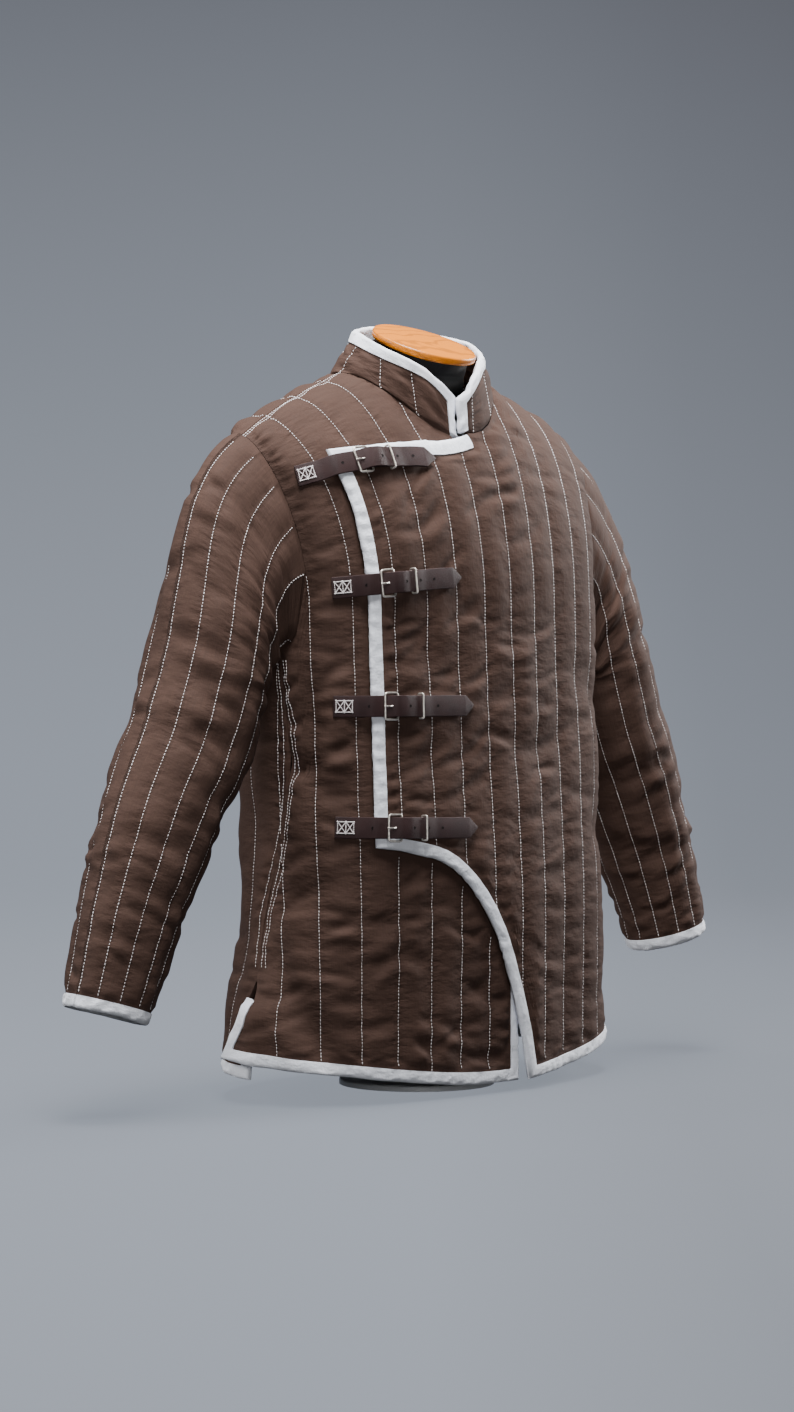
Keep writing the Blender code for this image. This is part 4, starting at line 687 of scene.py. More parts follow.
def left_front():
    """The front left with the flap that laps over to the wearer's right."""
    first = FLAP_LEFT + BAND_WIDTH + GAP
    shy = COLLAR_LEFT_U - SEAM_GAP
    corner = flap_corner()

    def top_at(u):
        if u < COLLAR_LEFT_U - 1e-6:
            return float(flap_top(u)) - BAND_WIDTH, "flap"
        return column_top(u, "front")

    def step_at(u, top):
        """The flap's upper edge ends one row below the neckline, and that row evens out beyond it."""
        edge = float(flap_top(u)) - BAND_WIDTH
        if u < COLLAR_LEFT_U - 1e-6:
            return edge
        even = ARM_MID + (top - ARM_MID) * (HIGH_ROWS - 1) / HIGH_ROWS
        share = float(smooth((u - COLLAR_LEFT_U) / NECK_HALF))
        return edge + (even - edge) * share

    extra = (shy, COLLAR_LEFT_U, corner)
    return front_panel(1, first, extra, lambda u: float(flap_bottom(u)), top_at, step_at)


def back_side_edge(w):
    """The back's edge at its side, from the centre back; the slit leaves room for its binding."""
    edge = float(half_girth(min(w, CHEST))) - float(side_seam(w)) - SEAM_GAP / 2
    if w < SLIT_TOP - 0.001:
        return edge - BAND_WIDTH - 0.003
    return edge


def back_panel():
    """The back; its columns meet the fronts' columns at the shoulder seams."""
    steady = [0.0] + front_columns(QUILT / 6, ())
    steady = [u for u in steady if u <= ARM_S]
    places = [back_s(float(ring(np.array(u), np.array(CHEST), "front")[0])) if u > 0 else 0.0
              for u in steady]
    half = list(zip(steady, places))
    both = [(u, -place) for u, place in reversed(half[1:])] + half
    fans = len(BACK_FANS)
    panel = Panel("back", 1, [None] * (len(both) + 2 * fans), LOW_ROWS, HIGH_ROWS)
    bottom = BACK_HEM + BAND_WIDTH
    for i, (u, s) in enumerate(both, fans):
        top, kind = column_top(s, "back")
        panel.fill(i, lambda w, s=s: s, bottom, ARM_MID, top)
        panel.u[:, i] = u
        panel.kind[i] = kind
    arm = places[-1]
    for step, share in enumerate(BACK_FANS):
        at = fan_column(share, back_side_edge, arm)
        edge = arm_edge(at(ARM_LOW), back_side_edge(ARM_LOW), arm)
        for side, i in ((-1, fans - 1 - step), (1, len(both) + fans + step)):
            panel.fill(i, lambda w, at=at, side=side: side * at(w), bottom, edge, slit=SLIT_TOP)
            panel.u[:, i] = panel.u[:, i] - arm + ARM_S
            panel.kind[i] = "arm"
    return panel


def base_height(panel, s, w):
    """The inner face of a panel above the girth surface."""
    lift = np.zeros(np.shape(s))
    if panel.face == "front":
        lift = corner_lift(s, w)
        if panel.side == 1:
            lift = lift + flap_lift(s)
    return lift


# ------------------------------------------------------------------ fine grids of the cut pieces
ROW_PARTS = 12            # fine cells in one row and in one column of a cut piece
COLUMN_PARTS = 4
EDGE_FADE = 0.0085        # over this the padding thins out towards a sewn edge


def refine(grid):
    """A grid with its cells divided; a missing point takes the value below it."""
    filled = grid.copy()
    for j in range(1, len(grid)):
        gone = np.isnan(filled[j])
        filled[j, gone] = filled[j - 1, gone]
    rows = np.arange((grid.shape[0] - 1) * ROW_PARTS + 1) / ROW_PARTS
    columns = np.arange((grid.shape[1] - 1) * COLUMN_PARTS + 1) / COLUMN_PARTS
    return look_up(filled, *np.meshgrid(rows, columns, indexing="ij"))


def around(cells):
    """How many cells of a grid meet at each of its points."""
    wide = np.pad(cells.astype(int), 1)
    return wide[:-1, :-1] + wide[1:, :-1] + wide[:-1, 1:] + wide[1:, 1:]


def nearest(points, edge_points):
    """The distance from each point to the nearest edge point."""
    tree = KDTree(len(edge_points))
    for i, point in enumerate(edge_points):
        tree.insert(point, i)
    tree.balance()
    return np.array([tree.find(point)[2] for point in points])


def waves(a, b, seed, length, stretch=1.0, count=9):
    """Smooth uneven waves of about one height; stretch draws them out along a."""
    random = np.random.default_rng(seed)
    total = np.zeros(np.broadcast(a, b).shape)
    for _ in range(count):
        turn = random.uniform(0.0, math.pi)
        size = 2 * math.pi / (length * random.uniform(0.7, 1.5))
        phase = random.uniform(0.0, 2 * math.pi)
        total = total + np.cos(size * (math.cos(turn) * a / stretch + math.sin(turn) * b) + phase)
    return total / math.sqrt(count / 2)


def strokes(a, b, rows, seed, period=None):
    """Many short soft creases, each a trough with a low ridge below it, strewn over the rows' fields."""
    random = np.random.default_rng(seed)
    total = np.zeros(np.broadcast(a, b).shape)
    for a_low, a_high, b_low, b_high, count, lean, spread_, length, width, depth in rows:
        for _ in range(count):
            off_a = a - random.uniform(a_low, a_high)
            if period is not None:
                off_a = (off_a + period / 2) % period - period / 2
            off_b = b - random.uniform(b_low, b_high)
            own_lean = lean + spread_ * random.uniform(-1.0, 1.0)
            half = length * random.uniform(0.6, 1.5)
            wide = width * random.uniform(0.8, 1.3)
            along, off = along_and_across(off_a, off_b, 0.0, 0.0, own_lean)
            off = off + random.uniform(-0.16, 0.16) * along ** 2 / half
            dip = np.exp(-(off / wide) ** 2) - 0.55 * np.exp(-((off + 2.0 * wide) / (1.5 * wide)) ** 2)
            total = total - depth * random.uniform(0.5, 1.2) * np.exp(-(along / half) ** 2) * dip
    return total


FIELDS = {
    # s from, to, w from, to, count, lean, spread of lean, half length, half width, depth
    "front": (
        (-0.165, -0.030, 0.150, 0.570, 42, 20.0, 18.0, 0.022, 0.0045, 0.0030),
        (-0.030, 0.100, 0.020, 0.620, 56, 6.0, 12.0, 0.030, 0.0042, 0.0019),
        (0.100, 0.300, 0.020, 0.620, 56, 2.0, 9.0, 0.030, 0.0042, 0.0010),
        (-0.310, -0.165, 0.020, 0.520, 60, 16.0, 26.0, 0.024, 0.0050, 0.0032),
        (-0.170, 0.030, 0.000, 0.160, 34, -8.0, 30.0, 0.026, 0.0050, 0.0028)),
    "back": (
        (-0.320, 0.320, 0.000, 0.640, 130, 0.0, 18.0, 0.030, 0.0045, 0.0018),),
}
SLEEVE_FIELDS = ((0.0, 0.38, 0.02, 0.54, 95, 0.0, 20.0, 0.022, 0.0045, 0.0027),)
COLLAR_FIELDS = ((0.0, 0.44, 0.0, 0.055, 30, 35.0, 30.0, 0.016, 0.0040, 0.0024),)

CREASES = (
    # face, s, w, lean in degrees, half length, half width, height
    ("front", -0.020, 0.455, -6.0, 0.020, 0.0050, -0.0016),
    ("front", 0.050, 0.512, 14.0, 0.030, 0.0050, -0.0018),
    ("front", -0.118, 0.430, 38.0, 0.026, 0.0060, -0.0026),
    ("front", -0.085, 0.395, 30.0, 0.028, 0.0060, -0.0020),
    ("front", 0.010, 0.335, -10.0, 0.030, 0.0055, -0.0022),
    ("front", 0.070, 0.330, 14.0, 0.050, 0.0060, -0.0024),
    ("front", 0.140, 0.350, 10.0, 0.035, 0.0060, -0.0018),
    ("front", -0.060, 0.290, 22.0, 0.050, 0.0065, -0.0026),
    ("front", 0.060, 0.262, 8.0, 0.065, 0.0065, -0.0024),
    ("front", 0.150, 0.275, -6.0, 0.040, 0.0060, -0.0020),
    ("front", -0.075, 0.250, 34.0, 0.035, 0.0060, -0.0024),
    ("front", 0.090, 0.205, 9.0, 0.060, 0.0065, -0.0020),
    ("front", -0.225, 0.440, 62.0, 0.030, 0.0060, -0.0028),
    ("front", -0.205, 0.400, 50.0, 0.034, 0.0060, -0.0026),
    ("front", -0.230, 0.360, 20.0, 0.026, 0.0060, -0.0022),
)


WAVE_HEIGHT = 0.0008      # the cloth's slow unevenness
CREASE_SCALE = 1.3        # how deep the drawn creases are pressed
CREASE_BOW = 0.12         # how much they bend upwards at their ends


def relief(s, w, face):
    """The small creases of a panel; its slow unevenness is calmer on the wearer's left."""
    seed = 11 if face == "front" else 37
    total = strokes(s, w, FIELDS[face], seed)
    calmer = 1.0 - 0.5 * smooth((s + 0.06) / 0.16)
    total = total + WAVE_HEIGHT * waves(s, w, seed + 7, 0.055, 1.6) * calmer
    for own_face, s0, w0, lean, length, width, height in CREASES:
        if own_face == face:
            along, off = along_and_across(s, w, s0, w0, lean)
            bow = off - CREASE_BOW * along ** 2 / length
            total = total + CREASE_SCALE * height * np.exp(-(along / length) ** 2 - (bow / width) ** 2)
    return total


PULL_PITCH = 0.017        # between the small pulls that the sewing leaves along an edge
PULL_DEPTH = 0.0026
PULL_REACH = 0.011        # how far in from the edge they run


class FinePanel:
    """A cut panel in fine cells, with its inner and outer points."""

    def __init__(self, panel):
        self.panel = panel
        self.face = panel.face
        self.side = panel.side
        self.cells = np.repeat(np.repeat(panel.cells(), ROW_PARTS, 0), COLUMN_PARTS, 1)
        self.s = refine(panel.s)
        self.w = refine(panel.w)
        self.u = np.abs(self.s) if panel.face == "front" else refine(panel.u)
        base = base_height(panel, self.s, self.w)
        self.inner = cloth(self.s, self.w, self.face, base)
        self.outer = cloth(self.s, self.w, self.face, base + self.thickness())

    def thickness(self):
        thick = puff(self.u)
        press = np.zeros(self.s.shape)
        if self.face == "front" and self.side == -1:
            press = covered(self.s, self.w)
            thick = thick * (1 - press) + COVERED_THICK * press
        count = around(self.cells)
        edge = (count > 0) & (count < 4)
        away = np.zeros(self.s.shape)
        away[count > 0] = nearest(self.inner[count > 0], self.inner[edge])
        self.away = away
        self.crest = (puff(self.u) - SEAM_THICK) / (PUFF_THICK - SEAM_THICK)
        full = smooth(away / EDGE_FADE)
        thick = thick + relief(self.s, self.w, self.face) * (0.35 + 0.65 * self.crest) * (1 - press)
        wander = 2.0 * waves(self.s, self.w, 5, 0.05)
        pull = 0.5 + 0.5 * np.cos(2 * math.pi * self.w / PULL_PITCH + wander)
        near = np.exp(-(away / PULL_REACH) ** 2) * smooth(away / 0.004)
        thick = thick - PULL_DEPTH * near * pull ** 2 * (1 - press)
        return EDGE_THICK + (thick - EDGE_THICK) * full

    def path(self, coarse, row_step=1):
        """A path of the cut's grid points as one of the fine grid's points."""
        fine = []
        for (j0, i0), (j1, i1) in zip(coarse[:-1], coarse[1:]):
            parts = ROW_PARTS // row_step if j0 != j1 else COLUMN_PARTS
            for k in range(parts):
                j = j0 * ROW_PARTS + (j1 - j0) * ROW_PARTS * k // parts
                i = i0 * COLUMN_PARTS + (i1 - i0) * COLUMN_PARTS * k // parts
                fine.append((j, i))
        j, i = coarse[-1]
        return fine + [(j * ROW_PARTS, i * COLUMN_PARTS)]

    def beside(self, path, distance):
        """The path's places in the pattern, and the steps that take them a distance to its left."""
        flat = np.array([(self.s[j, i], self.w[j, i]) for j, i in path])
        return flat[:, 0], flat[:, 1], moved(flat, distance) - flat


# ------------------------------------------------------------------ meshes
def mesh_object(name, points, faces, material, uv=None, crest=None, angle=50.0):
    """A named closed piece with its faces turned outwards; uv and crest are given for each point."""
    mesh = bpy.data.meshes.new(name)
    mesh.from_pydata([tuple(map(float, p)) for p in points], [], faces)
    mesh.update()
    if uv is not None:
        layer = mesh.uv_layers.new(name="cut")
        corners = np.array([loop.vertex_index for loop in mesh.loops])
        layer.data.foreach_set("uv", np.asarray(uv, np.float32)[corners].ravel())
    if crest is not None:
        data = mesh.attributes.new("crest", "FLOAT", "POINT").data
        data.foreach_set("value", np.asarray(crest, np.float32))
    if signed_volume(mesh) < 0:
        mesh.flip_normals()
    mesh.materials.append(material)
    mesh.shade_smooth()
    mesh.set_sharp_from_angle(angle=math.radians(angle))
    item = bpy.data.objects.new(name, mesh)
    bpy.context.scene.collection.objects.link(item)
    return item


def signed_volume(mesh):
    total = 0.0
    for face in mesh.polygons:
        corners = [mesh.vertices[i].co for i in face.vertices]
        for second, third in zip(corners[1:-1], corners[2:]):
            total += corners[0].dot(second.cross(third))
    return total


class Shell:
    """Collects the vertices of an inner and an outer skin and closes them along the edge."""

    def __init__(self, inner, outer):
        self.skins = {"inner": inner, "outer": outer}
        self.index = {}
        self.points = []
        self.faces = []

    def vertex(self, skin, j, i):
        key = (skin, j, i)
        if key not in self.index:
            self.index[key] = len(self.points)
            self.points.append(self.skins[skin][j, i])
        return self.index[key]


def shell_faces(cells, inner, outer, coarse_rows, coarse_columns, closed=False):
    """Outer skin in fine cells, inner skin in coarse ones, and a wall along every open edge."""
    shell = Shell(inner, outer)
    rows, columns = cells.shape
    span = columns if closed else None

    def wrap(i):
        return i % span if closed else i

    def present(j, i):
        if closed:
            i = i % span
        return 0 <= j < rows and 0 <= i < columns and bool(cells[j, i])

    for j in range(rows):
        for i in range(columns):
            if present(j, i):
                ring_ = ((j, i), (j, i + 1), (j + 1, i + 1), (j + 1, i))
                shell.faces.append([shell.vertex("outer", a, wrap(b)) for a, b in ring_])
                for near, a, b in (((j - 1, i), ring_[0], ring_[1]), ((j, i + 1), ring_[1], ring_[2]),
                                   ((j + 1, i), ring_[2], ring_[3]), ((j, i - 1), ring_[3], ring_[0])):
                    if not present(*near):
                        wall = (("outer", b), ("outer", a), ("inner", a), ("inner", b))
                        shell.faces.append([shell.vertex(k, p[0], wrap(p[1])) for k, p in wall])
    for j0, j1 in zip(coarse_rows[:-1], coarse_rows[1:]):
        for i0, i1 in zip(coarse_columns[:-1], coarse_columns[1:]):
            if present(j0, i0):
                inner_cell(shell, present, wrap, (j0, j1, i0, i1))
    return shell.points, shell.faces


def inner_cell(shell, present, wrap, box):
    """One coarse cell of the inner skin; along an open edge it keeps every fine vertex."""
    j0, j1, i0, i1 = box
    loop = []
    fine = False
    sides = (
        ([(j0, i) for i in range(i0, i1)], not present(j0 - 1, i0)),
        ([(j, i1) for j in range(j0, j1)], not present(j0, i1)),
        ([(j1, i) for i in range(i1, i0, -1)], not present(j1, i0)),
        ([(j, i0) for j in range(j1, j0, -1)], not present(j0, i0 - 1)),
    )
    for side, is_open in sides:
        loop += side if is_open else side[:1]
        fine = fine or (is_open and len(side) > 1)
    corners = [shell.vertex("inner", j, wrap(i)) for j, i in loop]
    if not fine:
        shell.faces.append(corners[::-1])
        return
    hub = len(shell.points)
    middle = (shell.skins["inner"][j0, wrap(i0)] + shell.skins["inner"][j1, wrap(i1)]
              + shell.skins["inner"][j0, wrap(i1)] + shell.skins["inner"][j1, wrap(i0)]) / 4
    shell.points.append(middle)
    for a, b in zip(corners, corners[1:] + corners[:1]):
        shell.faces.append([hub, b, a])


def coarse_steps(count, step):
    """Every step-th index, with the last one."""
    return [*range(0, count, step), count]


def shell_object(name, cells, inner, outer, material, cut, crest, steps, closed=False):
    """A wall of cloth as a mesh with its cut's coordinates and its crests, which only the outer skin has."""
    marked = np.concatenate((outer, cut, crest[..., None]), -1)
    plain = np.concatenate((inner, cut, np.zeros(crest.shape)[..., None]), -1)
    rows, columns = (coarse_steps(count, step) for count, step in zip(cells.shape, steps))
    points, faces = shell_faces(cells, plain, marked, rows, columns, closed)
    points = np.array(points)
    return mesh_object(name, points[:, :3], faces, material, points[:, 3:5], points[:, 5], 60.0)


def loft(rings, closed=False):
    """Faces between rings of equal count, capped at both ends unless the loft is closed."""
    count = len(rings[0])
    points = [p for ring_ in rings for p in ring_]
    faces = []
    last = len(rings) if closed else len(rings) - 1
    for k in range(last):
        a = k * count
        b = (k + 1) % len(rings) * count
        for i in range(count):
            n = (i + 1) % count
            faces.append((a + i, a + n, b + n, b + i))
    if not closed:
        faces.append(tuple(range(count))[::-1])
        faces.append(tuple((len(rings) - 1) * count + i for i in range(count)))
    return points, faces


# ------------------------------------------------------------------ bindings
CRINKLE = 0.0004          # height of the small wrinkles in a binding
CRINKLE_LENGTH = 0.014    # from one of them to the next
EDGE_WANDER = 0.0003      # how much a binding's edge strays


def binding_section():
    """A rounded tape folded over an edge: shares of its width and thickness."""
    count = 14
    section = [(0.0, 0.02), (0.30, -0.03)]
    for i in range(count):
        turn = math.pi * i / (count - 1) - math.pi / 2
        section.append((0.62 + 0.38 * math.cos(turn), 0.5 + 0.5 * math.sin(turn)))
    return np.array(section + [(0.30, 1.06), (0.0, 0.98)])


def tape(bases, outs, normals, run, seed):
    """Rings of a binding along an edge, with small uneven wrinkles across it."""
    across, up = binding_section().T
    width = BAND_WIDTH * across
    side = np.where(up > 0.5, 1.0, -1.0)
    rings = []
    for base, out, normal, at in zip(bases, outs, normals, run):
        dent = waves(at + 0.25 * width, width * 1.5, seed, CRINKLE_LENGTH, 1.0, 7)
        wander = waves(np.array(at), np.array(0.0), seed + 9, 0.05) * across
        reach = GAP + width + EDGE_WANDER * wander
        height = up * BAND_THICK + side * CRINKLE * dent * (across > 0.05)
        rings.append([base + out * r + normal * h for r, h in zip(reach, height)])
    return rings


def tape_object(name, bases, outs, normals, material, seed, closed=False):
    run = run_along(np.array(bases))
    rings = tape(bases, outs, normals, run, seed)
    points, faces = loft(rings, closed)
    uv = [(at, BAND_WIDTH * share) for at in run for share in binding_section()[:, 0]]
    return mesh_object(name, points, faces, material, uv, angle=55.0)


def fine_edge(fine, path):
    """Base points, outward directions and normals along a path on a fine panel's edge."""
    s, w, flat_out = fine.beside(path, -1.0)
    step = 0.0005
    base = base_height(fine.panel, s, w)
    start = cloth(s, w, fine.face, base)
    along = cloth(s + flat_out[:, 0] * step, w + flat_out[:, 1] * step, fine.face, base)
    return start, (along - start) / step, body_normal(s, w, fine.face)


def right_band_path(panel):
    """Down the slit, along the hem and up the free edge."""
    last = panel.s.shape[1] - 1
    top = panel.s.shape[0] - 1
    slit = [(j, last) for j in range(SLIT_ROWS - 1, -1, -1)]
    hem = [(0, i) for i in range(last - 1, -1, -1)]
    free = [(j, 0) for j in range(1, top + 1)]
    return slit + hem + free


def left_band_path(panel, neck_column):
    """Along the top of the flap, down its edge, along the curve and the hem, and up the slit."""
    last = panel.s.shape[1] - 1
    top = panel.s.shape[0] - 2
    upper = [(top, i) for i in range(neck_column - 1, -1, -1)]
    edge = [(j, 0) for j in range(top - 1, -1, -1)]
    hem = [(0, i) for i in range(1, last + 1)]
    slit = [(j, last) for j in range(1, SLIT_ROWS)]
    return upper + edge + hem + slit


def back_band_path(panel):
    last = panel.s.shape[1] - 1
    first_slit = [(j, 0) for j in range(SLIT_ROWS - 1, -1, -1)]
    hem = [(0, i) for i in range(1, last + 1)]
    second_slit = [(j, last) for j in range(1, SLIT_ROWS)]
    return first_slit + hem + second_slit


# ------------------------------------------------------------------ armholes and sleeves
def sewn_edge(fine, path, distance):
    """Inner and outer points just past an edge, ready for the piece sewn to it."""
    s, w, move = fine.beside(path, distance)
    base = base_height(fine.panel, s, w)
    edge = cloth(s, w, fine.face, base)
    inner = cloth(s + move[:, 0], w + move[:, 1], fine.face, base)
    outer = cloth(s + move[:, 0], w + move[:, 1], fine.face, base + EDGE_THICK)
    return inner, outer, unit(inner - edge)


def arm_path(panel, side):
    """The armhole's edge from the shoulder down to the underarm."""
    arms = [i for i, kind in enumerate(panel.kind) if kind == "arm"]
    if panel.face == "back":
        middle = panel.s.shape[1] // 2
        arms = [i for i in arms if (i > middle) == (side > 0)]
    near, far = min(arms), max(arms)
    outward_is_up = panel.face == "front" or side > 0
    straight = near - 1 if outward_is_up else far + 1
    lower = range(near, far + 1) if outward_is_up else range(far, near - 1, -1)
    top = panel.s.shape[0] - 1
    return [(j, straight) for j in range(top, LOW_ROWS - 1, -1)] + [(LOW_ROWS, i) for i in lower]


def arm_ring(front, back, side):
    """The whole armhole round from the shoulder by the front: inner and outer points, and the way out."""
    edges = []
    for fine in (front, back):
        path = fine.path(arm_path(fine.panel, side), row_step=ROW_PARTS // COLUMN_PARTS)
        edges.append(sewn_edge(fine, path, side * SEAM_GAP))
    return [join_ring(first, second) for first, second in zip(*edges)]


def join_ring(first, second):
    """Two edges that share both ends, as one ring with each shared point once."""
    top = (first[0] + second[0]) / 2
    bottom = (first[-1] + second[-1]) / 2
    return np.array([top, *first[1:-1], bottom, *second[-2:0:-1]])


def sleeve_axis(side):
    rows = np.array(SLEEVE_LEFT if side > 0 else SLEEVE_RIGHT)
    centres = np.stack((side * rows[:, 1], rows[:, 2], rows[:, 0] + FLOOR_CLEAR), -1)
    return centres, rows[:, 3]


def sleeve_ring(centre, axis, radius, turns, side):
    """A ring round the sleeve: turn 0 lies outside, a quarter turn at the front."""
    outward = unit(np.array([side, 0.0, 0.0]) - axis * axis[0] * side)
    front = np.cross(outward, axis) * side
    if front[1] > 0:
        front = -front
    return np.array([centre + radius * (outward * math.cos(t) + front * math.sin(t)) for t in turns])


def leaving(onward, turn, side):
    """The way a sleeve leaves the armhole: on from the panel's surface, turned towards the arm."""
    under = np.array((1 - math.cos(turn)) / 2)
    drop = math.radians(float(through(column(LEAVING, 0), column(LEAVING, 1), under)))
    pull = float(through(column(LEAVING, 0), column(LEAVING, 2), under))
    onward = onward * (1.0, ONWARD_TURN, 1.0)
    return unit(onward + pull * np.array([side * math.cos(drop), 0.0, -math.sin(drop)]))


SLEEVE_PARTS = 9          # fine rows in one row of a sleeve


def sleeve_skins(armhole, onward, turns, side):
    """The sleeve's inner points, ring by ring, from the armhole down to the cuff."""
    rows_after = SLEEVE_ROWS * SLEEVE_PARTS
    head_rows = SLEEVE_HEAD_ROWS * SLEEVE_PARTS
    centres, radii = sleeve_axis(side)
    keys = np.linspace(0.0, 1.0, len(centres))
    shares = np.linspace(0, 1, rows_after + 1)
    path = np.stack([through(keys, centres[:, i], shares) for i in range(3)], -1)
    sizes = through(keys, radii, shares)
    axes = unit(np.gradient(path, axis=0))
    lower = [sleeve_ring(path[k], axes[k], sizes[k], turns, side) for k in range(rows_after + 1)]
    leave = np.array([leaving(onward[k], turn, side) for k, turn in enumerate(turns)])
    end = lower[0]
    reach = 0.40 * np.linalg.norm(end - armhole, axis=1, keepdims=True)
    first = armhole + leave * reach
    second = end - axes[0] * reach
    head = []
    for step in range(head_rows):
        t = (step / head_rows) ** 0.9
        head.append(armhole * (1 - t) ** 3 + 3 * first * t * (1 - t) ** 2
                    + 3 * second * t * t * (1 - t) + end * t ** 3)
    return np.array(head + lower)


def grid_normals(grid):
    """Outward directions of a tube's points, ring by ring."""
    round_ = np.roll(grid, -1, axis=1) - np.roll(grid, 1, axis=1)
    down = np.gradient(grid, axis=0)
    out = unit(np.cross(round_, down))
    centre = grid.mean(axis=1, keepdims=True)
    sign = np.sign(np.sum((grid - centre) * out, axis=-1).mean())
    return out * sign


def sleeve_ridges(rows, bend, shares, turns):
    """Folds or creases of a sleeve, closed round it; bend is how they climb in each degree."""
    total = np.zeros((len(shares), len(turns)))
    for share0, turn0, length, width, height in rows:
        apart = (np.degrees(turns)[None, :] - turn0 + 180.0) % 360.0 - 180.0
        middle = share0 + bend * apart
        total += height * np.exp(-((shares[:, None] - middle) / length) ** 2 - (apart / width) ** 2)
    return total


SLEEVE_CREASES = (
    # share of the length, turn in degrees, length share, turn width, height
    (0.10, 60.0, 0.010, 26.0, -0.0022),
    (0.20, 95.0, 0.010, 30.0, -0.0030),
    (0.27, 120.0, 0.010, 34.0, -0.0034),
    (0.34, 88.0, 0.009, 26.0, -0.0024),
    (0.43, 110.0, 0.010, 36.0, -0.0026),
    (0.54, 80.0, 0.010, 34.0, -0.0024),
    (0.63, 100.0, 0.010, 40.0, -0.0024),
    (0.72, 40.0, 0.010, 30.0, -0.0018),
    (0.83, 90.0, 0.010, 40.0, -0.0022),
    (0.93, 70.0, 0.009, 36.0, -0.0016),
)


SLEEVE_CLIMB = 0.00035    # share of the length that a crease climbs in each degree
SLEEVE_ROUND = 0.06       # the radius that the strewn creases are laid out on
SLEEVE_CUT = 0.05         # the radius that a sleeve's cut is measured on
SLEEVE_FOLD_LIMIT = -0.0055       # no fold of a sleeve goes deeper than this
SLEEVE_LEAST = 0.0022     # the thinnest a sleeve is pressed
SLEEVE_END = 0.007        # over this the padding thins out towards both ends


def sleeve_relief(shares, turns, length, side):
    """The small creases of a sleeve."""
    total = sleeve_ridges(SLEEVE_CREASES, SLEEVE_CLIMB, shares, turns)
    round_ = turns[None, :]
    down = (shares * length)[:, None]
    seed = 61 if side > 0 else 83
    total += strokes(round_ * SLEEVE_ROUND, down, SLEEVE_FIELDS, seed, 2 * math.pi * SLEEVE_ROUND)
    swell = SLEEVE_CUT * (np.cos(round_) + 0.4 * np.sin(round_))
    return total + WAVE_HEIGHT * waves(swell, down, seed + 5, 0.045)


def sleeve_grids(armhole_inner, armhole_outer, onward, side):
    """A sleeve's inner and outer points, its cut's coordinates and its crests."""
    turns = np.array([2 * math.pi * k / len(armhole_inner) for k in range(len(armhole_inner))])
    inner = sleeve_skins(armhole_inner, onward, turns, side)
    rows, count = inner.shape[:2]
    shares = np.linspace(0.0, 1.0, rows)
    channel = 2 * COLUMN_PARTS
    wave = np.abs(np.sin(math.pi * np.arange(count) / channel)) ** 0.9
    thick = np.tile(SEAM_THICK + (SLEEVE_PUFF - SEAM_THICK) * wave, (rows, 1))
    thick = thick + np.maximum(sleeve_ridges(SLEEVE_FOLDS, 0.0, shares, turns), SLEEVE_FOLD_LIMIT)
    length = float(run_along(inner.mean(axis=1))[-1])
    small = sleeve_relief(shares, turns, length, side)
    under = smooth((0.5 - 0.5 * np.cos(turns) - 0.5) / 0.4)
    near = 1.0 - smooth(np.arange(rows) / (SLEEVE_HEAD_ROWS * SLEEVE_PARTS))
    thick = thick + small * (0.4 + 0.6 * wave)[None, :]
    thick = thick - (thick - SEAM_THICK) * near[:, None] * under[None, :]
    thick = np.maximum(thick, SLEEVE_LEAST)
    down = np.arange(rows) * length / rows
    ends = smooth(down / SLEEVE_END) * smooth((down[-1] - down) / SLEEVE_END)
    thick = EDGE_THICK + (thick - EDGE_THICK) * ends[:, None]
    outer = inner + grid_normals(inner) * thick[..., None]
    blend = (1.0 - smooth(down / 0.010))[:, None, None]
    outer = outer + (armhole_outer - outer[0])[None] * blend
    cut = np.stack(np.broadcast_arrays((turns * SLEEVE_CUT)[None, :], down[:, None]), -1)
    crest = np.broadcast_to(wave[None, :], (rows, count))
    return inner, outer, cut, crest


# ------------------------------------------------------------------ collar
def neck_path(panel, side):
    """A panel's neckline from its opening or centre out to the shoulder, on one side."""
    columns = [i for i, kind in enumerate(panel.kind) if kind == "neck"]
    if panel.face == "back":
        middle = panel.s.shape[1] // 2
        columns = [i for i in columns if (i - middle) * side >= 0]
        columns.sort(key=lambda i: abs(i - middle))
    else:
        columns.sort()
    edge = columns[-1] + (1 if panel.face == "front" or side > 0 else -1)
    return [(panel.s.shape[0] - 1, i) for i in columns + [edge]]


def neck_ring(right, back, left):
    """The neckline from the wearer's right end of the collar round the back to its left end."""
    def edge(fine, side):
        path = fine.path(neck_path(fine.panel, side))
        return sewn_edge(fine, path, side * NECK_GAP)[:2]

    right_in, right_out = edge(right, -1)
    back_right_in, back_right_out = edge(back, -1)
    back_left_in, back_left_out = edge(back, 1)
    left_in, left_out = edge(left, 1)

    def chain(front_r, back_r, back_l, front_l):
        joint_r = (front_r[-1] + back_r[-1]) / 2
        joint_l = (front_l[-1] + back_l[-1]) / 2
        return np.array([*front_r[:-1], joint_r, *back_r[-2::-1], *back_l[1:-1], joint_l, *front_l[-2::-1]])

    return (chain(right_in, back_right_in, back_left_in, left_in),
            chain(right_out, back_right_out, back_left_out, left_out))


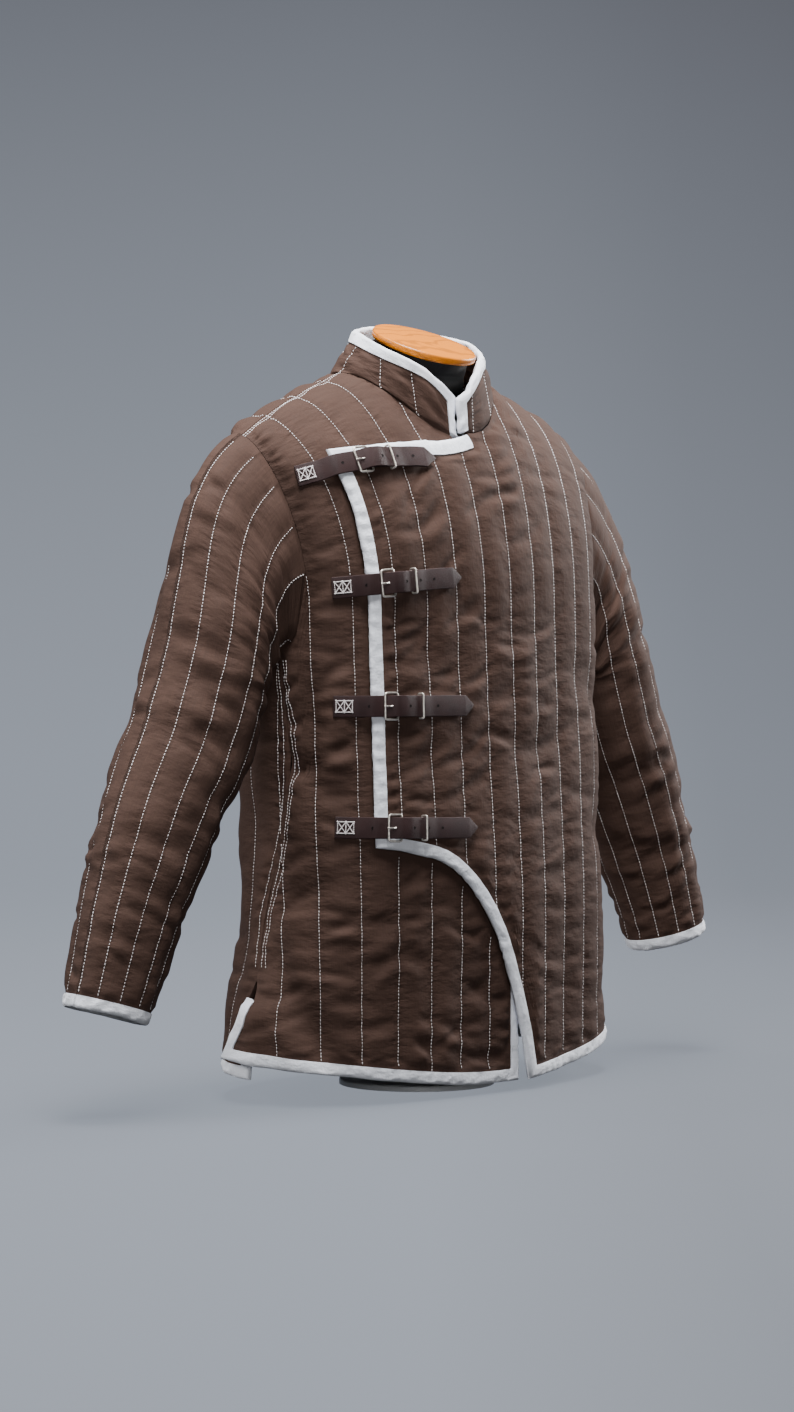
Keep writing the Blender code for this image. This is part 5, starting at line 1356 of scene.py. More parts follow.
def collar_top(turns):
    """Inner points of the collar's top edge; its height follows the way round from the nearer end."""
    round_ = np.degrees(np.unwrap(-turns))
    way = np.where(round_ < 180.0, round_, 360.0 - round_)
    end = np.where(round_ < 180.0, round_[0], 360.0 - round_[-1])
    from_end = way - end * (1.0 - way / 180.0)
    height = through(column(COLLAR_TOP, 0), column(COLLAR_TOP, 1), from_end) + FLOOR_CLEAR
    depth = np.where(np.cos(turns) > 0, COLLAR_TOP_FRONT, COLLAR_TOP_BACK)
    x = COLLAR_TOP_HALF * np.sin(turns)
    y = COLLAR_TOP_Y - depth * np.cos(turns)
    return np.stack((x, y, height - BAND_WIDTH), -1)


def collar_bend(inner_base, shares):
    """How the front corners lean together and the left end stands in front of the right one."""
    run = run_along(inner_base)
    right = 1.0 - smooth(run / COLLAR_CORNER)
    left = 1.0 - smooth((run[-1] - run) / COLLAR_CORNER)
    lean = COLLAR_SHIFT * (right - left) * shares[:, None]
    ahead = -COLLAR_LAP * left * shares[:, None]
    return np.stack((lean, ahead, 0.0 * lean), -1)


COLLAR_ROWS = 28
COLLAR_FOOT = 0.0013      # the collar's binding begins this far above the neckline
COLLAR_FADE = 0.008       # over this the padding thins out towards the collar's edges
COLLAR_MITRE = 0.010      # the length on either side of a corner in which the binding turns


def collar_grids(inner_base, outer_base, rows):
    turns = np.arctan2(inner_base[:, 0], COLLAR_TURN_Y - inner_base[:, 1])
    top = collar_top(turns)
    shares = np.linspace(0.0, 1.0, rows + 1)
    inner = inner_base * (1 - shares[:, None, None]) + top * shares[:, None, None]
    inner = inner + collar_bend(inner_base, shares)
    along = np.gradient(inner, axis=1)
    up = np.gradient(inner, axis=0)
    out = unit(np.cross(along, up))
    centre = inner.mean(axis=(0, 1))
    if np.sum((inner - centre) * out) < 0:
        out = -out
    run = run_along(inner[0])
    thick = np.tile(puff(run, COLLAR_QUILT, COLLAR_FIRST, COLLAR_THICK + 0.001), (rows + 1, 1))
    small = strokes(run[None, :], shares[:, None] * 0.055, COLLAR_FIELDS, 21)
    tall = np.linalg.norm(np.diff(inner, axis=0), axis=-1).sum(axis=0)
    from_end = np.minimum(run, run[-1] - run)
    full = smooth(shares[:, None] * tall[None, :] / COLLAR_FADE)
    full = full * smooth((1 - shares)[:, None] * tall[None, :] / COLLAR_FADE)
    full = full * smooth(from_end / COLLAR_FADE)[None, :]
    thick = EDGE_THICK + (thick + small - EDGE_THICK) * full
    outer = inner + out * thick[..., None]
    blend = (1.0 - smooth(shares / 0.15))[:, None, None]
    outer = outer + (outer_base - outer[0])[None] * blend
    first = unit(outer_base - inner_base)[None]
    out = unit(out * (1 - blend) + first * blend)
    cut = np.stack(np.broadcast_arrays(run[None, :], shares[:, None] * 0.05), -1)
    crest = np.tile(np.abs(np.sin(math.pi * (run - COLLAR_FIRST) / COLLAR_QUILT)) ** 0.9, (rows + 1, 1))
    return inner, outer, out, cut, crest, run


def collar_edge(inner, out):
    """The collar's bound edge: up one end, round the top and down the other end."""
    rows, columns = inner.shape[0] - 1, inner.shape[1] - 1
    path = [(j, 0) for j in range(rows)] + [(rows, i) for i in range(columns + 1)]
    path += [(j, columns) for j in range(rows - 1, -1, -1)]
    bases, outs, normals = [], [], []
    for j, i in path:
        here = inner[j, i]
        up = unit(inner[min(j + 1, rows), i] - inner[max(j - 1, 0), i])
        past = unit(inner[j, min(i + 1, columns)] - inner[j, max(i - 1, 0)])
        past = past if i == columns else -past
        to_top = np.linalg.norm(inner[rows, i] - here)
        to_side = min(np.linalg.norm(here - inner[j, 0]), np.linalg.norm(here - inner[j, columns]))
        side_part = max(0.0, 1.0 - to_side / COLLAR_MITRE)
        top_part = max(0.0, 1.0 - to_top / COLLAR_MITRE)
        foot = COLLAR_FOOT * up * max(0.0, 1.0 - j / 3) if i in (0, columns) else 0.0
        bases.append(here + foot)
        outs.append(unit(past * side_part + up * top_part))
        normals.append(out[j, i])
    return bases, outs, normals


# ------------------------------------------------------------------ straps
UNDER_SEAT = PUFF_THICK + GAP                     # what a strap or tab lies on, above the girth surface
FLAP_SEAT = FLAP_LIFT + PUFF_THICK + GAP
HINGE_HEIGHT = FLAP_SEAT + TAB_THICK + GAP + FRAME_WIRE
OVER_TAB = HINGE_HEIGHT + FRAME_WIRE + GAP + TAB_THICK + GAP
BAR_HEIGHT = FLAP_SEAT + STRAP_THICK + GAP + FRAME_WIRE
KEEPER_LOW = FLAP_SEAT + KEEPER_WIRE
OVER_KEEPER = KEEPER_LOW + KEEPER_WIRE + GAP
KEEPER_HIGH = OVER_KEEPER + STRAP_THICK + GAP + KEEPER_WIRE


class StrapLine:
    """The straight line of one strap over the pattern, measured along it from its stitched end."""

    def __init__(self, row):
        self.name, s0, w0, s1, w1, frame_s, keeper_s = row
        self.start = np.array([s0, w0])
        self.length = math.hypot(s1 - s0, w1 - w0)
        self.step = (np.array([s1, w1]) - self.start) / self.length
        self.frame = (frame_s - s0) / self.step[0]
        self.keeper = (keeper_s - s0) / self.step[0]
        self.flap = (FLAP_LEFT - s0) / self.step[0]
        self.frames = {}

    def frame_at(self, distance):
        """Origin, along, across and normal directions at a distance along the strap; worked out once."""
        key = round(float(distance), 7)
        if key not in self.frames:
            s, w = self.start + self.step * distance
            step = 0.002
            origin = body(s, w, "front")
            ahead = body(s + self.step[0] * step, w + self.step[1] * step, "front")
            before = body(s - self.step[0] * step, w - self.step[1] * step, "front")
            normal = body_normal(s, w, "front")
            along = unit(ahead - before)
            fold = float(fold_height(s, w, "front"))
            self.frames[key] = origin + normal * fold, along, np.cross(normal, along), normal
        return self.frames[key]

    def point(self, distance, across, height):
        origin, _along, side, normal = self.frame_at(distance)
        return origin + side * across + normal * height

    def seat(self, distance):
        """The strap's underside above the girth surface."""
        f = self.frame
        keys = (0.0, self.flap - 0.014, self.flap - 0.002, f + 0.002, f + FRAME_REACH - 0.003,
                f + FRAME_REACH + 0.008, self.keeper - 0.004, self.keeper + 0.003,
                self.keeper + 0.014, self.length)
        heights = (UNDER_SEAT, UNDER_SEAT, FLAP_SEAT, FLAP_SEAT, OVER_TAB, OVER_TAB,
                   OVER_KEEPER, OVER_KEEPER, FLAP_SEAT, FLAP_SEAT)
        return float(np.interp(distance, keys, heights))


def rounded(half, low, high):
    """A strap's section with rounded edges, as (across, height)."""
    edge, count = STRAP_EDGE, 3
    section = []
    for sign_a, sign_h, start in ((1, -1, -90), (1, 1, 0), (-1, 1, 90), (-1, -1, 180)):
        middle = (low + high) / 2 + sign_h * ((high - low) / 2 - edge)
        for i in range(count + 1):
            turn = math.radians(start + 90.0 * i / count)
            section.append((sign_a * (half - edge) + edge * math.cos(turn), middle + edge * math.sin(turn)))
    return section


def strap_stops(line):
    stops = list(np.arange(0.0, line.length - STRAP_POINT, 0.0018))
    point = [line.length - STRAP_POINT * (1 - t) for t in np.linspace(0.0, 1.0, 8)]
    return stops + point


def softened(line, distance):
    """The strap's underside with its bends eased, as leather takes them."""
    offsets = np.linspace(-0.0028, 0.0028, 5)
    return float(np.mean([line.seat(min(max(distance + o, 0.0), line.length)) for o in offsets]))


def strap_half(line, distance):
    """Half the strap's width, down to the rounded tip of its point."""
    to_tip = line.length - distance
    if to_tip > STRAP_POINT:
        return STRAP_WIDTH / 2
    return 0.0009 + (STRAP_WIDTH / 2 - 0.0009) * to_tip / STRAP_POINT


def build_strap(line, material):
    rings, uv, edges = [], [], []
    for distance in strap_stops(line):
        low = softened(line, distance)
        end = min(distance, line.length - distance)
        thin = 0.0003 * (1 - min(end / 0.0008, 1.0))
        half = strap_half(line, distance)
        section = rounded(half, low + thin, low + STRAP_THICK - thin)
        rings.append([line.point(distance, a, h) for a, h in section])
        uv += [(distance, a) for a, h in section]
        # Each point's nearness to the strap's edge, kept as its crest; the leather paints a highlight along
        # the edges with it.
        edges += [max(0.0, 1.0 - (half - abs(a)) / 0.0016) for a, h in section]
    points, faces = loft(rings)
    return mesh_object("leather_strap_" + line.name, points, faces, material, uv, edges, 40.0)


def build_tab(line, material):
    """The short leather tab that folds round the frame's hinge bar."""
    hinge = line.frame + FRAME_REACH
    inside = FRAME_WIRE + GAP
    route = [(line.keeper - 0.005, HINGE_HEIGHT - inside, 0.0, -1.0)]
    for i in range(15):
        turn = -math.pi / 2 - math.pi * i / 14
        route.append((hinge + inside * math.cos(turn), HINGE_HEIGHT + inside * math.sin(turn),
                      math.cos(turn), math.sin(turn)))
    route.append((hinge + 0.007, HINGE_HEIGHT + inside, 0.0, 1.0))
    rings = []
    half = TAB_WIDTH / 2
    for distance, height, lean_along, lean_up in route:
        far = distance + lean_along * TAB_THICK
        high = height + lean_up * TAB_THICK
        rings.append([line.point(distance, -half, height), line.point(distance, half, height),
                      line.point(far, half, high), line.point(far, -half, high)])
    points, faces = loft(rings)
    uv = [(route[k][0], 0.0) for k in range(len(rings)) for _ in range(4)]
    # An even crest of 0.3 gives the tab a faint painted highlight all over.
    return mesh_object("leather_tab_" + line.name, points, faces, material, uv, [0.3] * len(points), 40.0)


WIRE_SIDES = 12
FRAME_BEND = 0.0030       # how far from each corner the frame's wire begins to bend
KEEPER_BEND = 0.0012
KEEPER_LEAN = 0.002       # how far the keeper's top leans towards the tip


def wire_loop(corners, radius, bend, corner_steps):
    """A closed wire through rounded corners, given as points in space."""
    path = []
    for k, corner in enumerate(corners):
        start = corner + unit(corners[k - 1] - corner) * bend
        end = corner + unit(corners[(k + 1) % len(corners)] - corner) * bend
        for i in range(corner_steps + 1):
            t = i / corner_steps
            path.append(start * (1 - t) ** 2 + corner * 2 * t * (1 - t) + end * t * t)
    plane = unit(np.cross(corners[1] - corners[0], corners[2] - corners[1]))
    rings = []
    for k, point in enumerate(path):
        side = np.cross(plane, unit(path[(k + 1) % len(path)] - path[k - 1]))
        rings.append([point + radius * (side * math.cos(a) + plane * math.sin(a))
                      for a in (2 * math.pi * i / WIRE_SIDES for i in range(WIRE_SIDES))])
    return loft(rings, closed=True)


def wire_piece(name, line, ends, half, radius, bend, corner_steps, material):
    """A four-cornered wire between two bars, each given as its distance along the strap and its height."""
    (low_at, low), (high_at, high) = ends
    corners = [line.point(low_at, -half, low), line.point(low_at, half, low),
               line.point(high_at, half, high), line.point(high_at, -half, high)]
    points, faces = wire_loop(corners, radius, bend, corner_steps)
    return mesh_object(name + line.name, points, faces, material, angle=60.0)


def build_buckle(line, material):
    ends = (line.frame, BAR_HEIGHT), (line.frame + FRAME_REACH, HINGE_HEIGHT)
    return wire_piece("wire_frame_", line, ends, FRAME_HALF, FRAME_WIRE, FRAME_BEND, 6, material)


def build_keeper(line, material):
    ends = (line.keeper - KEEPER_LEAN, KEEPER_LOW), (line.keeper, KEEPER_HIGH)
    return wire_piece("wire_keeper_", line, ends, KEEPER_HALF, KEEPER_WIRE, KEEPER_BEND, 5, material)


PRONG_RADIUS = 0.0008
PRONG_SPAN = (0.0060, -0.0020)    # its root and its tip, from the frame's free bar


def build_prong(line, material):
    """The pin that lies on the strap and rests on the frame's free bar."""
    rings = []
    over_bar = BAR_HEIGHT + FRAME_WIRE + GAP + PRONG_RADIUS
    for back in np.linspace(*PRONG_SPAN, 17):
        distance = line.frame + back
        on_strap = line.seat(distance) + STRAP_THICK + GAP + PRONG_RADIUS
        share = float(smooth((0.0045 - back) / 0.0025))
        height = max(on_strap, on_strap * (1 - share) + over_bar * share)
        small = PRONG_RADIUS * (0.55 if back < -0.0018 else 1.0)
        rings.append([line.point(distance, small * math.cos(a), height + small * math.sin(a))
                      for a in (math.pi / 5 * i for i in range(10))])
    points, faces = loft(rings)
    return mesh_object("wire_prong_" + line.name, points, faces, material, angle=60.0)


# ------------------------------------------------------------------ thread
def straight(start, end, steps):
    return [start + (end - start) * i / steps for i in range(steps + 1)]


def seated(tree, point, normal, lift):
    """A point on the piece's outer face, found from above it, or nothing."""
    hit = tree.ray_cast(Vector(point + normal * 0.014), Vector(-normal), 0.030)
    if hit[0] is None:
        return None
    return np.array(hit[0]) + normal * lift


def panel_lines(fine, tree, lift):
    """The quilting lines of a panel as runs of points on its outer face."""
    top = float(np.nanmax(fine.panel.w))
    runs = []
    for k in range(7):
        for side in (-1, 1):
            runs += panel_line(fine, tree, side, (k + 0.5) * QUILT, top, lift)
    return runs


def panel_line(fine, tree, side, u, top, lift):
    """One quilting line from the hem up, broken where the panel ends or another lies over it."""
    runs, run = [], []
    w = np.arange(THREAD_STEP, top, THREAD_STEP)
    s = np.full(len(w), side * (u if fine.face == "front" else back_line(u)))
    points = cloth(s, w, fine.face, base_height(fine.panel, s, w))
    normals = body_normal(s, w, fine.face)
    hidden = np.zeros(len(w), bool)
    if fine.face == "front" and fine.side == -1:
        hidden = covered(s, w) > 0.9
    for k, point in enumerate(points):
        spot = None
        if not hidden[k] and inside_cut(fine, s[k], w[k]):
            spot = seated(tree, point, normals[k], lift)
        if spot is not None:
            run.append(spot)
            continue
        if len(run) > 3:
            runs.append(run)
        run = []
    if len(run) > 3:
        runs.append(run)
    return runs


def back_line(u):
    """A back column's own distance for a quilting line."""
    if u <= ARM_S:
        return back_s(float(ring(np.array(u), np.array(CHEST), "front")[0]))
    return back_s(float(ring(np.array(ARM_S), np.array(CHEST), "front")[0])) + u - ARM_S


def inside_cut(fine, s, w):
    """Whether a place of the pattern lies on the panel, a little in from its edges."""
    if not hasattr(fine, "places"):
        rows, columns = np.nonzero(around(fine.cells))
        fine.places = rows, columns, KDTree(len(rows))
        for i, (j, k) in enumerate(zip(rows, columns)):
            fine.places[2].insert((fine.s[j, k], fine.w[j, k], 0.0), i)
        fine.places[2].balance()
    _spot, i, distance = fine.places[2].find((float(s), float(w), 0.0))
    j, k = fine.places[0][i], fine.places[1][i]
    return distance < 0.0045 and fine.away[j, k] > 0.0012


def thread_object(name, runs, pitch, length, radius, seed):
    """Stitches along runs of points, made by the stitching tree."""
    points, edges = [], []
    for run in runs:
        start = len(points)
        points += [tuple(map(float, p)) for p in run]
        edges += [(i, i + 1) for i in range(start, len(points) - 1)]
    mesh = bpy.data.meshes.new(name + "_path")
    mesh.from_pydata(points, edges, [])
    path = bpy.data.objects.new(name + "_path", mesh)
    bpy.context.scene.collection.objects.link(path)
    values = {"Pitch": pitch, "Length": length, "Thread radius": radius, "Seed": seed,
              "Thread": finish("white thread")}
    return grown(name, path, stitching_tree(), values)


def grown(name, item, tree, values):
    """Runs a tree on an object and keeps the result as a plain mesh under the given name."""
    modifier = item.modifiers.new("tree", "NODES")
    modifier.node_group = tree
    for socket in tree.interface.items_tree:
        if socket.in_out == "INPUT" and socket.name in values:
            modifier[socket.identifier] = values[socket.name]
    graph = bpy.context.evaluated_depsgraph_get()
    mesh = bpy.data.meshes.new_from_object(item.evaluated_get(graph), depsgraph=graph)
    bpy.data.objects.remove(item)
    mesh.name = name
    result = bpy.data.objects.new(name, mesh)
    bpy.context.scene.collection.objects.link(result)
    return result


def stitching_tree():
    """Thread stitches of one pitch along every path of the mesh it is given."""
    if "stitching" in bpy.data.node_groups:
        return bpy.data.node_groups["stitching"]
    tree = bpy.data.node_groups.new("stitching", "GeometryNodeTree")
    sockets = tree.interface
    sockets.new_socket("Geometry", in_out="INPUT", socket_type="NodeSocketGeometry")
    for name, kind, value in (("Pitch", "NodeSocketFloat", 0.0034), ("Length", "NodeSocketFloat", 0.0028),
                              ("Thread radius", "NodeSocketFloat", 0.0004), ("Seed", "NodeSocketInt", 1)):
        sockets.new_socket(name, in_out="INPUT", socket_type=kind).default_value = value
    sockets.new_socket("Thread", in_out="INPUT", socket_type="NodeSocketMaterial")
    sockets.new_socket("Geometry", in_out="OUTPUT", socket_type="NodeSocketGeometry")
    given = node(tree, "NodeGroupInput")
    curve = node(tree, "GeometryNodeMeshToCurve", Mesh=given.outputs["Geometry"])
    spots = node(tree, "GeometryNodeCurveToPoints", mode="LENGTH", Curve=curve.outputs[0],
                 Length=given.outputs["Pitch"])
    turned = node(tree, "FunctionNodeAlignRotationToVector", axis="Z", Vector=spots.outputs["Tangent"])
    half = maths(tree, "MULTIPLY", given.outputs["Length"], 0.5)
    size = node(tree, "ShaderNodeCombineXYZ", X=given.outputs["Thread radius"],
                Y=given.outputs["Thread radius"], Z=half)
    bead = node(tree, "GeometryNodeMeshUVSphere", Segments=4, Rings=3, Radius=1.0)
    shaped = node(tree, "GeometryNodeTransform", Geometry=bead.outputs["Mesh"], Scale=size.outputs[0])
    uneven = node(tree, "FunctionNodeRandomValue", data_type="FLOAT", Min=0.88, Max=1.12,
                  Seed=given.outputs["Seed"])
    amount = uneven.outputs["Value"]
    placed = node(tree, "GeometryNodeInstanceOnPoints", Points=spots.outputs["Points"],
                  Instance=shaped.outputs[0], Rotation=turned.outputs[0], Scale=amount)
    real = node(tree, "GeometryNodeRealizeInstances", Geometry=placed.outputs[0])
    smoothed = node(tree, "GeometryNodeSetShadeSmooth", Geometry=real.outputs[0])
    coloured = node(tree, "GeometryNodeSetMaterial", Geometry=smoothed.outputs[0],
                    Material=given.outputs["Thread"])
    node(tree, "NodeGroupOutput", Geometry=coloured.outputs[0])
    return tree


# ------------------------------------------------------------------ materials
def feed(tree, socket, value):
    """Links a socket to another one, or sets its value."""
    if isinstance(value, bpy.types.NodeSocket):
        tree.links.new(value, socket)
    else:
        socket.default_value = value


def node(tree, kind, **values):
    """Adds a node; a value that names a setting of the node is set, any other is an input's."""
    item = tree.nodes.new(kind)
    own = [name for name in values if hasattr(item, name)]
    for name in own:
        setattr(item, name, values[name])
    for name, value in values.items():
        if name not in own:
            feed(tree, item.inputs[name.replace("_", " ")], value)
    return item


def maths(tree, operation, *values):
    item = node(tree, "ShaderNodeMath", operation=operation)
    for socket, value in zip(item.inputs, values):
        feed(tree, socket, value)
    return item.outputs[0]


def blend(tree, share, first, second):
    """A colour between two colours."""
    item = node(tree, "ShaderNodeMix", data_type="RGBA")
    for index, value in ((0, share), (6, first), (7, second)):
        feed(tree, item.inputs[index], (*value, 1.0) if isinstance(value, tuple) else value)
    return item.outputs[2]


def noise(tree, vector, scale, detail=3.0, stretch=(1.0, 1.0, 1.0)):
    """Uneven tone from 0 to 1; scale is in spots a metre."""
    moved_ = node(tree, "ShaderNodeMapping", Vector=vector, Scale=stretch)
    item = node(tree, "ShaderNodeTexNoise", Vector=moved_.outputs[0], Scale=scale, Detail=detail)
    return item.outputs[0]


def spread_out(tree, value, low, high):
    """A tone stretched so that low becomes 0 and high becomes 1."""
    return node(tree, "ShaderNodeMapRange", Value=value, From_Min=low, From_Max=high).outputs[0]


def effect(name, inputs, outputs):
    """An empty shader node group with named inputs and outputs."""
    tree = bpy.data.node_groups.new(name, "ShaderNodeTree")
    for socket_name, kind, value in inputs:
        socket = tree.interface.new_socket(socket_name, in_out="INPUT", socket_type=kind)
        if value is not None:
            socket.default_value = value
    for socket_name, kind in outputs:
        tree.interface.new_socket(socket_name, in_out="OUTPUT", socket_type=kind)
    return tree, tree.nodes.new("NodeGroupInput"), tree.nodes.new("NodeGroupOutput")


FLOAT = "NodeSocketFloat"
VECTOR = "NodeSocketVector"


def woven():
    """Uneven warp and weft threads: a tone and a height."""
    if "woven" in bpy.data.node_groups:
        return bpy.data.node_groups["woven"]
    tree, given, out = effect("woven", (("Vector", VECTOR, None), ("Threads a metre", FLOAT, 1500.0)),
                              (("Tone", FLOAT), ("Height", FLOAT)))
    scaled = node(tree, "ShaderNodeVectorMath", operation="SCALE", Vector=given.outputs["Vector"],
                  Scale=given.outputs["Threads a metre"])
    warp = noise(tree, scaled.outputs[0], 1.0, 2.0, (1.0, 0.035, 1.0))
    weft = noise(tree, scaled.outputs[0], 1.0, 2.0, (0.035, 1.0, 1.0))
    both = maths(tree, "ADD", maths(tree, "MULTIPLY", warp, 0.62), maths(tree, "MULTIPLY", weft, 0.38))
    tree.links.new(spread_out(tree, both, 0.36, 0.64), out.inputs["Tone"])
    tree.links.new(both, out.inputs["Height"])
    return tree


def crumpled():
    """Soft crumples of cloth: a height, and a tone that paints shade into its hollows."""
    if "crumpled" in bpy.data.node_groups:
        return bpy.data.node_groups["crumpled"]
    tree, given, out = effect("crumpled", (("Vector", VECTOR, None), ("Crumples a metre", FLOAT, 60.0)),
                              (("Tone", FLOAT), ("Height", FLOAT)))
    scaled = node(tree, "ShaderNodeVectorMath", operation="SCALE", Vector=given.outputs["Vector"],
                  Scale=given.outputs["Crumples a metre"])
    large = noise(tree, scaled.outputs[0], 1.0, 3.0, (0.6, 1.0, 1.0))
    small = noise(tree, scaled.outputs[0], 3.1, 2.0, (1.0, 0.7, 1.0))
    both = maths(tree, "ADD", maths(tree, "MULTIPLY", large, 0.75), maths(tree, "MULTIPLY", small, 0.25))
    tree.links.new(spread_out(tree, both, 0.35, 0.65), out.inputs["Tone"])
    tree.links.new(both, out.inputs["Height"])
    return tree


def creased():
    """Soft folds drawn out across the cloth: a height, and a tone that paints shade into their hollows."""
    if "creased" in bpy.data.node_groups:
        return bpy.data.node_groups["creased"]
    tree, given, out = effect("creased", (("Vector", VECTOR, None),), (("Tone", FLOAT), ("Height", FLOAT)))
    place = node(tree, "ShaderNodeMapping", Vector=given.outputs["Vector"],
                 Rotation=(0.0, 0.0, math.radians(24.0)))
    folds = noise(tree, place.outputs[0], 1.0, 2.0, (26.0, 46.0, 1.0))
    tree.links.new(spread_out(tree, folds, 0.46, 0.28), out.inputs["Tone"])
    tree.links.new(folds, out.inputs["Height"])
    return tree


def shader_material(name, **constants):
    """A material's tree, and its shader with the given constant values."""
    item = bpy.data.materials.new(name)
    item.use_nodes = True
    shader = item.node_tree.nodes["Principled BSDF"]
    for socket, value in constants.items():
        shader.inputs[socket.replace("_", " ")].default_value = value
    return item.node_tree, shader


def on_object(tree):
    return node(tree, "ShaderNodeTexCoord").outputs["Object"]


def on_cut(tree):
    """The place in the cut that a piece was sewn from."""
    return node(tree, "ShaderNodeUVMap", uv_map="cut").outputs[0]


def carried(tree, name):
    """A value that the mesh carries at its points."""
    return node(tree, "ShaderNodeAttribute", attribute_name=name).outputs["Fac"]


def group_node(tree, group, **values):
    return node(tree, "ShaderNodeGroup", node_tree=group, **values).outputs


def paint(tree, shader, share, first, second):
    """Gives the shader a colour between two colours."""
    tree.links.new(blend(tree, share, first, second), shader.inputs["Base Color"])


def vary(tree, shader, socket, low, tone, span):
    """Lets one of the shader's values rise from low with a tone."""
    value = maths(tree, "ADD", low, maths(tree, "MULTIPLY", tone, span))
    tree.links.new(value, shader.inputs[socket])


def raised(tree, shader, height, distance, strength=1.0, below=None):
    """Feeds a height to the shader's normal."""
    item = node(tree, "ShaderNodeBump", Height=height, Distance=distance, Strength=strength)
    if below is not None:
        tree.links.new(below, item.inputs["Normal"])
    tree.links.new(item.outputs[0], shader.inputs["Normal"])
    return item.outputs[0]


def colour(name):
    return tuple(getattr(bpy.context.scene.gambeson_colours, name))


def tinted(colour, amount):
    return tuple(c * amount for c in colour)


def make_cotton(name):
    tree, shader = shader_material(name, Specular_IOR_Level=0.12)
    base = colour("cotton")
    cut = on_cut(tree)
    threads = group_node(tree, woven(), Vector=cut)
    soft = group_node(tree, crumpled(), Vector=cut, Crumples_a_metre=70.0)
    fold = group_node(tree, creased(), Vector=cut)
    patches = noise(tree, cut, 9.0, 3.0)
    crest = carried(tree, "crest")
    tone = blend(tree, threads["Tone"], tinted(base, 0.86), tinted(base, 1.14))
    # Lighter worn patches of the cotton, strewn at random.
    wear_and_highlight = maths(tree, "MULTIPLY", spread_out(tree, patches, 0.4, 0.7), 0.45)
    faded = blend(tree, wear_and_highlight, tone, tinted(base, 1.25))
    # Painted shade: the colour darkens towards each stitch line, in the grooves of the quilting.
    dark = maths(tree, "MULTIPLY", maths(tree, "SUBTRACT", 1.0, spread_out(tree, crest, 0.0, 0.45)), 0.30)
    # Painted shade: the colour darkens in the hollows of the drawn-out folds.
    painted_crease_shade = blend(tree, maths(tree, "MULTIPLY", fold["Tone"], 0.12), faded, tinted(base, 0.55))
    paint(tree, shader, dark, painted_crease_shade, tinted(base, 0.55))
    vary(tree, shader, "Roughness", 0.74, threads["Tone"], 0.14)
    low = raised(tree, shader, soft["Height"], 0.0022, 0.45)
    folded = raised(tree, shader, fold["Height"], 0.0040, 0.35, low)
    pucker = noise(tree, cut, 1.0, 3.0, (52.0, 105.0, 1.0))
    near = maths(tree, "SUBTRACT", 1.0, maths(tree, "MULTIPLY", crest, 0.75))
    puckered = raised(tree, shader, maths(tree, "MULTIPLY", pucker, near), 0.0060, 0.65, folded)
    raised(tree, shader, threads["Height"], 0.00022, 0.5, puckered)


def make_tape(name):
    tree, shader = shader_material(name, Sheen_Weight=0.15, Specular_IOR_Level=0.25)
    base = colour("tape")
    cut = on_cut(tree)
    threads = group_node(tree, woven(), Vector=cut, Threads_a_metre=1900.0)
    soft = group_node(tree, crumpled(), Vector=cut, Crumples_a_metre=110.0)
    tone = blend(tree, threads["Tone"], tinted(base, 0.95), tinted(base, 1.03))
    # Painted shade: the tape greys in the hollows of its crumples.
    painted_crumple_shade = maths(tree, "MULTIPLY", maths(tree, "SUBTRACT", 1.0, soft["Tone"]), 0.16)
    paint(tree, shader, painted_crumple_shade, tone, tinted(base, 0.72))
    vary(tree, shader, "Roughness", 0.78, threads["Tone"], 0.12)
    low = raised(tree, shader, soft["Height"], 0.0030, 0.7)
    raised(tree, shader, threads["Height"], 0.0002, 0.5, low)


def make_leather(name):
    tree, shader = shader_material(name, Specular_IOR_Level=0.22)
    base = colour("leather")
    place = on_object(tree)
    grain = node(tree, "ShaderNodeTexVoronoi", feature="DISTANCE_TO_EDGE", Vector=place, Scale=850.0)
    pores = spread_out(tree, grain.outputs["Distance"], 0.0, 0.16)
    patches = noise(tree, place, 60.0, 4.0)
    edge = carried(tree, "crest")
    tone = blend(tree, spread_out(tree, patches, 0.35, 0.7), tinted(base, 0.75), tinted(base, 1.35))
    # Painted highlight: the leather lightens towards the strap's edges, as if they caught the light.
    wear_and_highlight = maths(tree, "MULTIPLY", maths(tree, "POWER", edge, 2.0), 0.5)
    paint(tree, shader, wear_and_highlight, tone, tinted(base, 2.6))
    vary(tree, shader, "Roughness", 0.50, patches, 0.22)
    raised(tree, shader, pores, 0.00012, 0.6)


def make_nickel(name):
    tree, shader = shader_material(name, Metallic=0.85)
    base = colour("nickel")
    place = on_object(tree)
    dull = noise(tree, place, 420.0, 3.0)
    paint(tree, shader, spread_out(tree, dull, 0.4, 0.7), base, tinted(base, 0.72))
    vary(tree, shader, "Roughness", 0.26, dull, 0.20)
    raised(tree, shader, dull, 0.00004, 0.4)


def make_thread(name):
    tree, shader = shader_material(name, Specular_IOR_Level=0.3)
    base = colour("thread")
    place = on_object(tree)
    tone = noise(tree, place, 900.0, 2.0)
    paint(tree, shader, tone, tinted(base, 0.80), tinted(base, 1.1))
    vary(tree, shader, "Roughness", 0.55, tone, 0.2)


def make_jersey(name):
    tree, shader = shader_material(name, Sheen_Weight=0.2, Specular_IOR_Level=0.2)
    base = colour("jersey")
    place = on_object(tree)
    ribs = noise(tree, place, 900.0, 2.0, (1.0, 1.0, 0.12))
    paint(tree, shader, ribs, tinted(base, 0.7), tinted(base, 1.5))
    vary(tree, shader, "Roughness", 0.80, ribs, 0.15)
    raised(tree, shader, ribs, 0.0003, 0.4)


